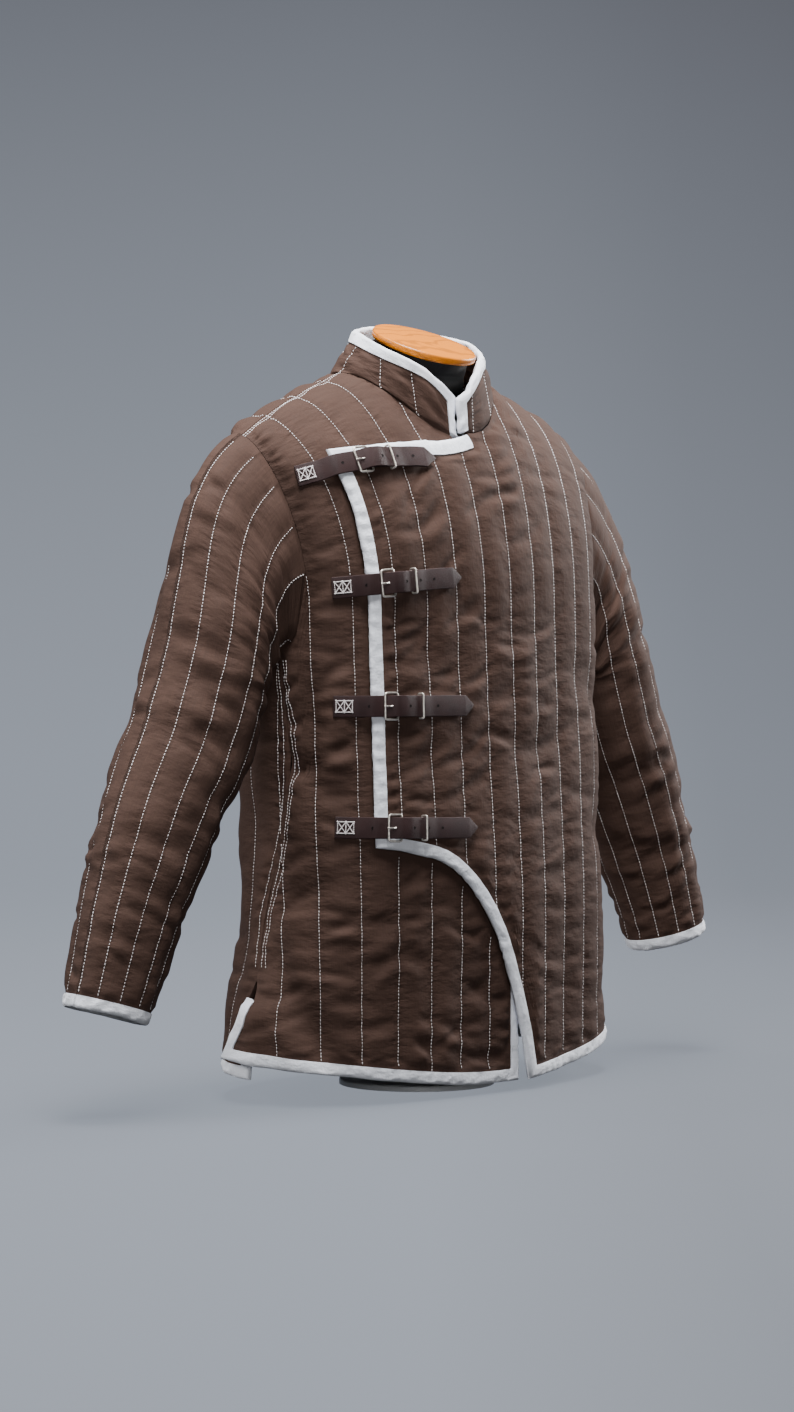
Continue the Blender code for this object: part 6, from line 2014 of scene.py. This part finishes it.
def make_wood(name):
    tree, shader = shader_material(name, Coat_Roughness=0.12, Specular_IOR_Level=0.3)
    base = colour("wood")
    place = on_object(tree)
    centred = node(tree, "ShaderNodeMapping", Vector=place, Location=(-0.006, -0.0040, 0.0),
                   Scale=(0.30, 1.0, 0.25))
    wander = noise(tree, place, 22.0, 2.0)
    bent = node(tree, "ShaderNodeVectorMath", operation="LENGTH", Vector=centred.outputs[0])
    reach = maths(tree, "ADD", bent.outputs["Value"], maths(tree, "MULTIPLY", wander, 0.007))
    rings = maths(tree, "SINE", maths(tree, "MULTIPLY", reach, 2000.0))
    lines = spread_out(tree, rings, 0.55, 1.0)
    pores = noise(tree, place, 1400.0, 2.0, (0.05, 1.0, 1.0))
    tone = blend(tree, maths(tree, "MULTIPLY", lines, 0.65), tinted(base, 1.0), tinted(base, 0.52))
    fleck = maths(tree, "MULTIPLY", spread_out(tree, pores, 0.5, 0.8), 0.35)
    paint(tree, shader, fleck, tone, tinted(base, 0.45))
    vary(tree, shader, "Roughness", 0.30, pores, 0.2)
    vary(tree, shader, "Coat Weight", 0.12, lines, 0.1)
    raised(tree, shader, lines, 0.00008, 0.4)


def make_steel(name):
    tree, shader = shader_material(name, Specular_IOR_Level=0.5)
    base = colour("steel")
    place = on_object(tree)
    spots = noise(tree, place, 700.0, 3.0)
    paint(tree, shader, spots, tinted(base, 0.92), tinted(base, 1.05))
    vary(tree, shader, "Roughness", 0.36, spots, 0.18)
    raised(tree, shader, spots, 0.00008, 0.4)


def make_floor(name):
    """The studio's floor and backdrop, with its own painted glow, darker where its tone is low; from behind
    it is clear.
    """
    tree, shader = shader_material(name, Specular_IOR_Level=0.1, Emission_Strength=1.0)
    base = colour("floor")
    stage = bpy.context.scene.gambeson_stage
    place = on_object(tree)
    tone = noise(tree, place, 2.0, 3.0)
    paint(tree, shader, tone, tinted(base, 0.985), tinted(base, 1.015))
    vary(tree, shader, "Roughness", 0.8, tone, 0.1)
    # Painted light: the backdrop glows, brightest near the floor and darker upwards and aside.
    glow = carried(tree, "tone")
    tree.links.new(blend(tree, glow, tuple(stage.backdrop_high), tuple(stage.backdrop_low)),
                   shader.inputs["Emission Color"])
    behind = node(tree, "ShaderNodeNewGeometry").outputs["Backfacing"]
    tree.links.new(maths(tree, "SUBTRACT", 1.0, behind), shader.inputs["Alpha"])


def make_hole_shadow(name):
    tree, shader = shader_material(name, Specular_IOR_Level=0.2)
    base = colour("leather")
    place = on_object(tree)
    tone = noise(tree, place, 1200.0, 2.0)
    # Painted shadow: the cup is nearly black, standing in for the shade inside a punched hole.
    paint(tree, shader, tone, tinted(base, 0.10), tinted(base, 0.35))
    vary(tree, shader, "Roughness", 0.7, tone, 0.2)


FINISHES = {
    "quilted cotton": make_cotton,
    "white tape": make_tape,
    "white thread": make_thread,
    "dark leather": make_leather,
    "hole shadow": make_hole_shadow,
    "bright nickel wire": make_nickel,
    "black jersey": make_jersey,
    "varnished wood": make_wood,
    "pale painted steel": make_steel,
    "pale floor": make_floor,
}


def finish(name):
    """The material of that name, made once."""
    if name not in bpy.data.materials:
        FINISHES[name](name)
    return bpy.data.materials[name]


# ------------------------------------------------------------------ the pieces
MADE = {}


def panels():
    """The three cut panels in fine cells, made once."""
    if not MADE:
        MADE["right"] = FinePanel(right_front())
        MADE["left"] = FinePanel(left_front())
        MADE["back"] = FinePanel(back_panel())
    return MADE["right"], MADE["left"], MADE["back"]


INNER_STEPS = (4, 4)      # fine rows and columns in one cell of an inner skin
LEAST_AREA = 0.31         # the least share of its rectangle that a cut is declared with


def cut_area(cells, cut):
    """The flat area of a piece's cut."""
    a = cut[:-1, :-1][cells]
    b = cut[:-1, 1:][cells]
    c = cut[1:, 1:][cells]
    d = cut[1:, :-1][cells]
    first = c - a
    second = d - b
    return float(np.abs(first[:, 0] * second[:, 1] - first[:, 1] * second[:, 0]).sum() / 2)


def settle(piece, slot, *nodes):
    """Ties a finished piece to the part: it rides on the root, and the imported parts it stands for are
    hidden; slot is not used.
    """
    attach(piece, "root")
    if nodes:
        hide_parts(*nodes)


def panel_piece(name, fine, node_name):
    cut = np.stack((fine.s, fine.w), -1)
    cotton = finish("quilted cotton")
    piece = shell_object(name, fine.cells, fine.inner, fine.outer, cotton, cut, fine.crest, INNER_STEPS)
    here = around(fine.cells) > 0
    wide = fine.s[here].max() - fine.s[here].min()
    tall = fine.w[here].max() - fine.w[here].min()
    settle(piece, "quilted_cotton", node_name)
    max(cut_area(fine.cells, cut), LEAST_AREA * wide * tall)


def tape_piece(name, fine, path, node_name, seed):
    bases, outs, normals = fine_edge(fine, fine.path(path))
    piece = tape_object(name, bases, outs, normals, finish("white tape"), seed)
    settle(piece, "white_binding", node_name)
    run_along(bases)[-1]


def piece_tree(piece):
    mesh = piece.data
    return BVHTree.FromPolygons([v.co for v in mesh.vertices], [p.vertices for p in mesh.polygons])


def stitch_piece(name, runs):
    own = bpy.context.scene.gambeson_sizes
    settle(thread_object(name, runs, own.stitch_pitch, own.stitch_length, own.thread_radius, 7),
           "white_binding")


class Fronts(bpy.types.Operator):
    """Draws the two fronts with the flap that laps over to the wearer's right"""
    bl_idname = "gambeson.fronts"
    bl_label = "Fronts"

    def execute(self, context):
        right, left, _back = panels()
        panel_piece("quilted_front_right", right, "front_right")
        panel_piece("quilted_front_left", left, "front_left")
        return {"FINISHED"}


class Back(bpy.types.Operator):
    """Draws the back"""
    bl_idname = "gambeson.back"
    bl_label = "Back"

    def execute(self, context):
        panel_piece("quilted_back", panels()[2], "back")
        return {"FINISHED"}


class Sleeves(bpy.types.Operator):
    """Draws both sleeves with their bound cuffs"""
    bl_idname = "gambeson.sleeves"
    bl_label = "Sleeves and cuffs"

    def execute(self, context):
        right, left, back = panels()
        for name, front, side in (("right", right, -1), ("left", left, 1)):
            inner, outer, cut, crest = sleeve_grids(*arm_ring(front, back, side), side)
            MADE["sleeve_" + name] = inner, outer
            rows, count = inner.shape[:2]
            cells = np.ones((rows - 1, count), bool)
            piece = shell_object("quilted_sleeve_" + name, cells, inner, outer, finish("quilted cotton"),
                                 cut, crest, (SLEEVE_PARTS // 3, 2), True)
            settle(piece, "quilted_cotton", "sleeve_" + name)
            round_ = np.linalg.norm(inner - np.roll(inner, 1, axis=1), axis=-1).sum(axis=1)
            down = np.linalg.norm(np.diff(inner, axis=0), axis=-1).sum(axis=0)
            self.cuff(name, inner, outer)
        return {"FINISHED"}

    def cuff(self, name, inner, outer):
        down = unit(inner[-1] - inner[-4])
        out = unit(outer[-1] - inner[-1])
        piece = tape_object("cuff_tape_" + name, inner[-1], down, out, finish("white tape"), 31, True)
        settle(piece, "white_binding", "cuff_" + name)
        run = np.linalg.norm(inner[-1] - np.roll(inner[-1], 1, axis=0), axis=1).sum()


class Collar(bpy.types.Operator):
    """Draws the standing collar with its bound edge"""
    bl_idname = "gambeson.collar"
    bl_label = "Collar"

    def execute(self, context):
        right, left, back = panels()
        inner, outer, out, cut, crest, run = collar_grids(*neck_ring(right, back, left), COLLAR_ROWS)
        MADE["collar"] = inner, outer, run
        cells = np.ones((inner.shape[0] - 1, inner.shape[1] - 1), bool)
        piece = shell_object("quilted_collar", cells, inner, outer, finish("quilted cotton"), cut, crest,
                             INNER_STEPS)
        settle(piece, "quilted_cotton", "collar")
        tall = np.linalg.norm(np.diff(inner, axis=0), axis=-1).sum(axis=0)
        bases, outs, normals = collar_edge(inner, out)
        edge = tape_object("collar_tape", bases, outs, normals, finish("white tape"), 41)
        settle(edge, "white_binding", "collar_binding")
        length = float(run_along(np.array(bases))[-1])
        return {"FINISHED"}


class Bindings(bpy.types.Operator):
    """Draws the white bindings of the hems, slits and flap"""
    bl_idname = "gambeson.bindings"
    bl_label = "Bindings"

    def execute(self, context):
        right, left, back = panels()
        neck_column = left.panel.columns.index(COLLAR_LEFT_U)
        tape_piece("front_right_tape", right, right_band_path(right.panel), "binding_front_right", 13)
        tape_piece("front_left_tape", left, left_band_path(left.panel, neck_column), "binding_front_left", 17)
        tape_piece("back_tape", back, back_band_path(back.panel), "binding_back", 19)
        return {"FINISHED"}


def seam_lines(fine, tree, lift):
    """The rows sewn beside the side seams, and beside the shoulder seams on the fronts."""
    front = fine.face == "front"
    edge = front_side_edge if front else back_side_edge
    lines = []
    for side in ((fine.side,) if front else (-1, 1)):
        for inset in SEAM_ROWS[:2 if front else 1]:
            w = np.arange(SLIT_TOP + 0.012, ARM_LOW - 0.008, THREAD_STEP)
            s = side * (np.array([edge(float(at)) for at in w]) - inset)
            lines.append((s, w))
    if front:
        over = [i for i, kind in enumerate(fine.panel.kind) if kind == "shoulder"]
        columns = np.arange(over[0] * COLUMN_PARTS, over[-1] * COLUMN_PARTS + 1)
        for inset in SEAM_ROWS[:2]:
            lines.append((fine.s[-1, columns], fine.w[-1, columns] - inset))
    runs = []
    for s, w in lines:
        base = base_height(fine.panel, s, w)
        points = cloth(s, w, fine.face, base + EDGE_THICK)
        spots = [seated(tree, point, normal, lift)
                 for point, normal in zip(points, body_normal(s, w, fine.face))]
        runs.append([spot for spot in spots if spot is not None])
    return runs


class Stitching(bpy.types.Operator):
    """Sews the quilting lines, the shoulder seams and the collar with white thread"""
    bl_idname = "gambeson.stitching"
    bl_label = "Stitching"

    def execute(self, context):
        lift = context.scene.gambeson_sizes.thread_radius * THREAD_SEAT
        right, left, back = panels()
        for name, fine in (("front_right", right), ("front_left", left), ("back", back)):
            tree = piece_tree(bpy.data.objects["quilted_" + name])
            stitch_piece("stitches_" + name, panel_lines(fine, tree, lift) + seam_lines(fine, tree, lift))
        for name in ("right", "left"):
            _inner, outer = MADE["sleeve_" + name]
            normals = grid_normals(outer)
            columns = range(0, outer.shape[1], 2 * COLUMN_PARTS)
            runs = [[outer[j, i] + normals[j, i] * lift for j in range(2, outer.shape[0] - 1, 2)]
                    for i in columns]
            stitch_piece("stitches_sleeve_" + name, runs)
        self.collar(lift)
        return {"FINISHED"}

    def collar(self, lift):
        _inner, outer, run = MADE["collar"]
        tree = piece_tree(bpy.data.objects["quilted_collar"])
        runs = []
        for k in range(int((run[-1] - COLLAR_FIRST) / COLLAR_QUILT) + 1):
            column_ = int(np.argmin(np.abs(run - COLLAR_FIRST - k * COLLAR_QUILT)))
            points = outer[1:-2, column_]
            centre = outer.mean(axis=(0, 1))
            line = []
            for point in points:
                away = unit((point - centre) * (1.0, 1.0, 0.0))
                spot = seated(tree, point, away, lift)
                if spot is not None:
                    line.append(spot)
            runs.append(line)
        stitch_piece("stitches_collar", runs)


BOX_LINES = (0.0020, 0.0088, 0.0156)      # the box stitching's cross lines, from the stitched end
BOX_HALF = 0.0055
BOX_THREAD = (0.0016, 0.0024, 0.00068)    # its stitches' pitch, length and radius
HOLE_PITCH = 0.0185
HOLE_FIRST = 0.005        # from the frame's free bar to the hole that the prong hides
HOLE_RINGS = (
    # radius, height above the leather
    (0.0015, -0.0004),
    (0.0014, 0.00022),
    (0.0010, 0.00020),
    (0.0006, 0.00005),
)


class Straps(bpy.types.Operator):
    """Draws the four leather straps with their tabs, box stitching and holes"""
    bl_idname = "gambeson.straps"
    bl_label = "Straps"

    def execute(self, context):
        for row in STRAPS:
            line = StrapLine(row)
            leather = finish("dark leather")
            settle(build_strap(line, leather), "strap_leather", "strap_" + line.name)
            settle(build_tab(line, leather), "strap_leather", "tab_" + line.name)
            self.boxes(line)
            self.holes(line)
        return {"FINISHED"}

    def boxes(self, line):
        """Two crossed boxes of thread at the stitched end."""
        near, middle, far = BOX_LINES
        half = BOX_HALF
        seams = [((near, -half), (far, -half)), ((far, -half), (far, half)), ((far, half), (near, half)),
                 ((near, half), (near, -half)), ((middle, -half), (middle, half)),
                 ((near, -half), (middle, half)), ((near, half), (middle, -half)),
                 ((middle, -half), (far, half)), ((middle, half), (far, -half))]
        lift = STRAP_THICK + GAP
        runs = []
        for start, end in seams:
            flat = straight(np.array(start), np.array(end), 6)
            runs.append([line.point(d, a, softened(line, d) + lift) for d, a in flat])
        settle(thread_object("box_stitches_" + line.name, runs, *BOX_THREAD, 3), "white_binding")

    def holes(self, line):
        """Punched holes as small cups painted dark as their shadow, with a pressed rim."""
        turns = [math.pi / 6 * i for i in range(12)]
        points, faces = [], []
        for place in (line.frame + HOLE_FIRST + HOLE_PITCH * n for n in (-1, 1, 2, 3)):
            if place < line.length - STRAP_POINT:
                low = softened(line, place) + STRAP_THICK
                rings = [[line.point(place + r * math.cos(t), r * math.sin(t), low + h) for t in turns]
                         for r, h in HOLE_RINGS]
                own_points, own_faces = loft(rings)
                faces += [tuple(i + len(points) for i in face) for face in own_faces]
                points += own_points
        item = mesh_object("strap_holes_" + line.name, points, faces, finish("hole shadow"), angle=30.0)
        settle(item, "strap_leather")


BUCKLE_PARTS = (("buckle_", build_buckle), ("keeper_", build_keeper), ("prong_", build_prong))


class Buckles(bpy.types.Operator):
    """Draws the wire frames, keepers and prongs of the closings"""
    bl_idname = "gambeson.buckles"
    bl_label = "Buckles"

    def execute(self, context):
        for row in STRAPS:
            line = StrapLine(row)
            for kind, build in BUCKLE_PARTS:
                settle(build(line, finish("bright nickel wire")), "nickel_wire", kind + line.name)
        return {"FINISHED"}


# ------------------------------------------------------------------ the dress form
FORM_SIDES = 96
POST_SIDES = 48
QUARTER = np.linspace(0.0, math.pi / 2, 6)    # turns of a rounded edge
CAP_EDGE = 0.0025
CAP_OVERHANG = 0.006      # how far the cap stands out past the jersey
FOOT_EDGE = 0.002


def oval(half, front, back, mid_y, height, power, count):
    ring_ = []
    for i in range(count):
        turn = 2 * math.pi * i / count
        side, ahead = math.sin(turn), math.cos(turn)
        depth = front if ahead > 0 else back
        reach = ((abs(side) / half) ** power + (abs(ahead) / depth) ** power) ** (-1 / power)
        ring_.append(np.array([reach * side, mid_y - reach * ahead, height]))
    return ring_


def tilted_ring(height, radius, count):
    """A ring in the neck cap's tilted plane, a height above the cap's top."""
    centre = np.array(CAP_CENTRE) + (0.0, 0.0, FLOOR_CLEAR)
    up = np.array([0.0, -math.sin(CAP_TILT), math.cos(CAP_TILT)])
    back = np.array([0.0, math.cos(CAP_TILT), math.sin(CAP_TILT)])
    across = np.array([1.0, 0.0, 0.0])
    middle = centre + up * height
    return [middle + radius * (across * math.sin(t) - back * math.cos(t))
            for t in (2 * math.pi * i / count for i in range(count))]


class DressForm(bpy.types.Operator):
    """Draws the limbless form with its wooden neck cap, post and foot"""
    bl_idname = "gambeson.dress_form"
    bl_label = "Dress form"

    def execute(self, context):
        self.torso()
        self.cap()
        self.stand()
        return {"FINISHED"}

    def torso(self):
        keys = column(FORM, 0)
        between = [np.linspace(low, high, 7)[:-1] for low, high in zip(keys[:-1], keys[1:])]
        levels = np.concatenate(between + [keys[-1:]])
        rings = []
        for level in levels:
            half, front, back, mid = (float(through(keys, column(FORM, i), np.array(level)))
                                      for i in range(1, 5))
            rings.append(oval(half, front, back, mid, level + FLOOR_CLEAR, FORM_SQUARE, FORM_SIDES))
        end = tilted_ring(-CAP_THICK - GAP, CAP_RADIUS - CAP_OVERHANG, FORM_SIDES)
        neck = rings[-1]
        for t in np.linspace(0.0, 1.0, 9)[1:]:
            rings.append([a * (1 - t) + b * t for a, b in zip(neck, end)])
        points, faces = loft(rings)
        torso = mesh_object("jersey_torso", points, faces, finish("black jersey"))
        settle(torso, "form_jersey", "form_torso")

    def cap(self):
        edge = CAP_EDGE
        profile = [(-CAP_THICK + edge - edge * math.cos(t), CAP_RADIUS - edge + edge * math.sin(t))
                   for t in QUARTER]
        profile += [(-edge + edge * math.sin(t), CAP_RADIUS - edge + edge * math.cos(t)) for t in QUARTER]
        points, faces = loft([tilted_ring(height, radius, FORM_SIDES) for height, radius in profile])
        settle(mesh_object("wooden_cap", points, faces, finish("varnished wood")), "neck_wood", "neck_cap")

    def stand(self):
        edge = FOOT_EDGE
        foot = [(FOOT_HALF, 0.0)]
        foot += [(FOOT_HALF - edge + edge * math.cos(t), FOOT_THICK - edge + edge * math.sin(t))
                 for t in QUARTER]
        post = [(POST_RADIUS, FOOT_THICK + GAP), (POST_RADIUS, FORM[0][0] + FLOOR_CLEAR - GAP)]
        for name, profile, sides, node_name in (("round_foot", foot, FORM_SIDES, "foot_plate"),
                                                ("round_post", post, POST_SIDES, "post")):
            points, faces = loft([oval(r, r, r, FOOT_Y, z, 2.0, sides) for r, z in profile])
            settle(mesh_object(name, points, faces, finish("pale painted steel")), "stand_steel", node_name)


# ------------------------------------------------------------------ stage
LIGHTS = (
    # name, place, height it is aimed at on the object's axis, width
    ("top", (-0.09, -0.08, 2.95), 0.45, 1.0),
    ("rim", (2.32, -0.46, 1.28), 0.45, 1.0),
    ("side", (-1.85, 1.52, 1.16), 0.45, 1.0),
    ("front", (-0.98, -0.89, 2.57), 0.45, 1.0),
    ("low", (-1.9, -2.3, 0.55), 0.30, 1.2),
)
LIGHT_HEIGHT = 1.0
FLOOR_FRONT = -4.2        # where the floor begins, in front of the object
FLOOR_HALF = 5.0
SWEEP_START = 2.4         # where the floor begins to rise, behind the object
SWEEP_RADIUS = 2.2
WALL_HEIGHT = 4.0         # above the sweep
DARKER_UP = 0.62          # how much of its glow the backdrop loses upwards and to the right
DARKER_ASIDE = 0.34


def area_light(name, place, aim, width, power):
    data = bpy.data.lights.new(name, "AREA")
    data.shape = "RECTANGLE"
    data.size = width
    data.size_y = LIGHT_HEIGHT
    data.energy = power
    item = bpy.data.objects.new(name, data)
    item.location = place
    item.rotation_euler = (Vector((0, 0, aim)) - Vector(place)).to_track_quat("-Z", "Y").to_euler()
    bpy.context.scene.collection.objects.link(item)


class Stage(bpy.types.Operator):
    """Sets the floor that rises into a backdrop, the soft lights and the camera"""
    bl_idname = "gambeson.stage"
    bl_label = "Stage"

    def execute(self, context):
        stage = context.scene.gambeson_stage
        self.floor(context, stage)
        for name, place, aim, width in LIGHTS:
            area_light(name + " light", place, aim, width, getattr(stage, name + "_power"))
        world = bpy.data.worlds.new("studio")
        world.use_nodes = True
        sky = world.node_tree.nodes["Background"]
        sky.inputs[0].default_value = (*stage.backdrop_low, 1.0)
        seen = node(world.node_tree, "ShaderNodeLightPath").outputs["Is Camera Ray"]
        glow = maths(world.node_tree, "MULTIPLY", seen, stage.sky_glow)
        world.node_tree.links.new(maths(world.node_tree, "ADD", glow, stage.room_light), sky.inputs[1])
        context.scene.world = world
        self.camera(context, stage)
        return {"FINISHED"}

    def floor(self, context, stage):
        """A pale floor sweeping up behind the object, its painted glow darker towards its top and one side.
        """
        turn = math.radians(stage.camera_turn)
        back = np.array([math.sin(turn), math.cos(turn), 0.0])
        side = np.array([math.cos(turn), -math.sin(turn), 0.0])
        profile = [(d, 0.0) for d in np.linspace(FLOOR_FRONT, SWEEP_START, 23)]
        for i in range(1, 25):
            bend = math.pi / 2 * i / 24
            profile.append((SWEEP_START + SWEEP_RADIUS * math.sin(bend), SWEEP_RADIUS * (1 - math.cos(bend))))
        profile += [(SWEEP_START + SWEEP_RADIUS, SWEEP_RADIUS + h) for h in np.linspace(0.2, WALL_HEIGHT, 16)]
        across = np.linspace(-FLOOR_HALF, FLOOR_HALF, 41)
        points, tones = [], []
        for depth, height in profile:
            for a in across:
                points.append(tuple(back * depth + side * a + np.array([0.0, 0.0, height])))
                far = max(depth + stage.camera_distance, 0.5)
                rise = math.atan2(height - stage.camera_height, far)
                aside = math.atan2(a, far)
                tone = 1.0 - DARKER_UP * min(max((rise + 0.05) / 0.19, 0.0), 1.0) ** 1.25
                tones.append(tone * (1.0 - DARKER_ASIDE * float(smooth((aside / 0.09 + 0.15) / 1.15))))
        wide = len(across)
        faces = [(j * wide + i, j * wide + i + 1, (j + 1) * wide + i + 1, (j + 1) * wide + i)
                 for j in range(len(profile) - 1) for i in range(wide - 1)]
        mesh = bpy.data.meshes.new("floor")
        mesh.from_pydata(points, [], faces)
        mesh.attributes.new("tone", "FLOAT", "POINT").data.foreach_set("value", np.array(tones, np.float32))
        mesh.materials.append(finish("pale floor"))
        mesh.shade_smooth()
        item = bpy.data.objects.new("floor", mesh)
        context.scene.collection.objects.link(item)
        item.visible_diffuse = False

    def camera(self, context, stage):
        turn = math.radians(stage.camera_turn)
        data = bpy.data.cameras.new("camera")
        data.sensor_fit = "VERTICAL"
        data.sensor_height = 36.0
        data.lens = stage.camera_lens
        item = bpy.data.objects.new("camera", data)
        place = Vector((-math.sin(turn), -math.cos(turn), 0.0)) * stage.camera_distance
        place.z = stage.camera_height
        yaw = math.radians(stage.camera_yaw)
        tilt = math.radians(stage.camera_tilt)
        item.location = place
        item.rotation_euler = (math.pi / 2 - tilt, 0.0, -turn + yaw)
        context.scene.collection.objects.link(item)
        context.scene.camera = item


# ------------------------------------------------------------------ settings, panel and registration
def setting(name, description, default, **limits):
    return bpy.props.FloatProperty(name=name, description=description, default=default, **limits)


def power_setting(name, default):
    return setting(name, "Power of the " + name.lower() + " in watts", default, min=0.0)


def colour_setting(name, description, default):
    return bpy.props.FloatVectorProperty(name=name, description=description, default=default, size=3,
                                         subtype="COLOR", min=0.0, max=1.0)


class Sizes(bpy.types.PropertyGroup):
    """Sizes of the sewing that a user may change"""
    stitch_pitch: setting("Stitch pitch", "From one stitch to the next", 0.0032, min=0.002, unit="LENGTH")
    stitch_length: setting("Stitch length", "Length of thread that shows in one stitch", 0.0026,
                           min=0.001, unit="LENGTH")
    thread_radius: setting("Thread radius", "Half the thickness of the sewing thread", 0.00052,
                           min=0.0001, unit="LENGTH")


class Colours(bpy.types.PropertyGroup):
    """Colours of the garment, its closings and the form"""
    cotton: colour_setting("Cotton", "The quilted brown cotton", (0.061, 0.0350, 0.0270))
    tape: colour_setting("Tape", "The white bindings", (0.90, 0.925, 1.0))
    thread: colour_setting("Thread", "The white sewing thread", (0.80, 0.745, 0.745))
    leather: colour_setting("Leather", "The straps", (0.021, 0.0095, 0.0095))
    nickel: colour_setting("Nickel", "The wire frames and keepers", (0.74, 0.68, 0.61))
    jersey: colour_setting("Jersey", "The form's cover", (0.010, 0.010, 0.011))
    wood: colour_setting("Wood", "The neck cap", (0.66, 0.19, 0.002))
    steel: colour_setting("Steel", "The foot and post", (0.62, 0.63, 0.65))
    floor: colour_setting("Floor", "The studio floor", (0.034, 0.037, 0.043))


class StageSettings(bpy.types.PropertyGroup):
    """Lights, backdrop and camera"""
    top_power: power_setting("Top light", 150.0)
    rim_power: power_setting("Rim light", 98.0)
    side_power: power_setting("Side light", 42.0)
    front_power: power_setting("Front light", 78.0)
    low_power: power_setting("Low light", 22.0)
    backdrop_low: colour_setting("Backdrop low", "The backdrop's glow near the floor", (0.29, 0.32, 0.375))
    backdrop_high: colour_setting("Backdrop high", "The backdrop's glow at its darkest", (0.045, 0.042, 0.05))
    sky_glow: setting("Sky", "How bright the room looks past the backdrop", 0.55, min=0.0)
    room_light: setting("Room light", "Light from all round", 0.03, min=0.0)
    camera_turn: setting("Camera turn", "Degrees round from the front", 48.0)
    camera_distance: setting("Camera distance", "From the object's axis", 4.3, unit="LENGTH")
    camera_height: setting("Camera height", "Above the floor", 0.526, unit="LENGTH")
    camera_tilt: setting("Camera tilt", "Degrees down from level", 1.95)
    camera_yaw: setting("Camera yaw", "Degrees left of the axis", 0.44)
    camera_lens: setting("Camera lens", "Focal length in millimetres", 109.63)


STEPS = (Fronts, Back, Sleeves, Collar, Bindings, Stitching, Straps, Buckles, DressForm, Stage)


class GambesonPanel(bpy.types.Panel):
    """Lists the steps that draw the gambeson"""
    bl_idname = "VIEW3D_PT_gambeson"
    bl_label = "Gambeson"
    bl_space_type = "VIEW_3D"
    bl_region_type = "UI"
    bl_category = "Gambeson"

    def draw(self, context):
        layout = self.layout
        for group in ("gambeson_sizes", "gambeson_colours", "gambeson_stage"):
            settings = getattr(context.scene, group)
            box = layout.box()
            for name in settings.bl_rna.properties.keys():
                if name not in ("rna_type", "name"):
                    box.prop(settings, name)
        for step in STEPS:
            layout.operator(step.bl_idname)


GROUPS = (("gambeson_sizes", Sizes), ("gambeson_colours", Colours), ("gambeson_stage", StageSettings))


def register():
    for _name, group in GROUPS:
        bpy.utils.register_class(group)
    for step in STEPS + (GambesonPanel,):
        bpy.utils.register_class(step)
    for name, group in GROUPS:
        setattr(bpy.types.Scene, name, bpy.props.PointerProperty(type=group))


def unregister():
    for name, _group in GROUPS:
        delattr(bpy.types.Scene, name)
    for item in (GambesonPanel,) + STEPS + tuple(group for _name, group in GROUPS):
        bpy.utils.unregister_class(item)


def main():
    register()
    for step in STEPS:
        group, name = step.bl_idname.split(".")
        getattr(getattr(bpy.ops, group), name)()


if __name__ == "__main__":
    main()
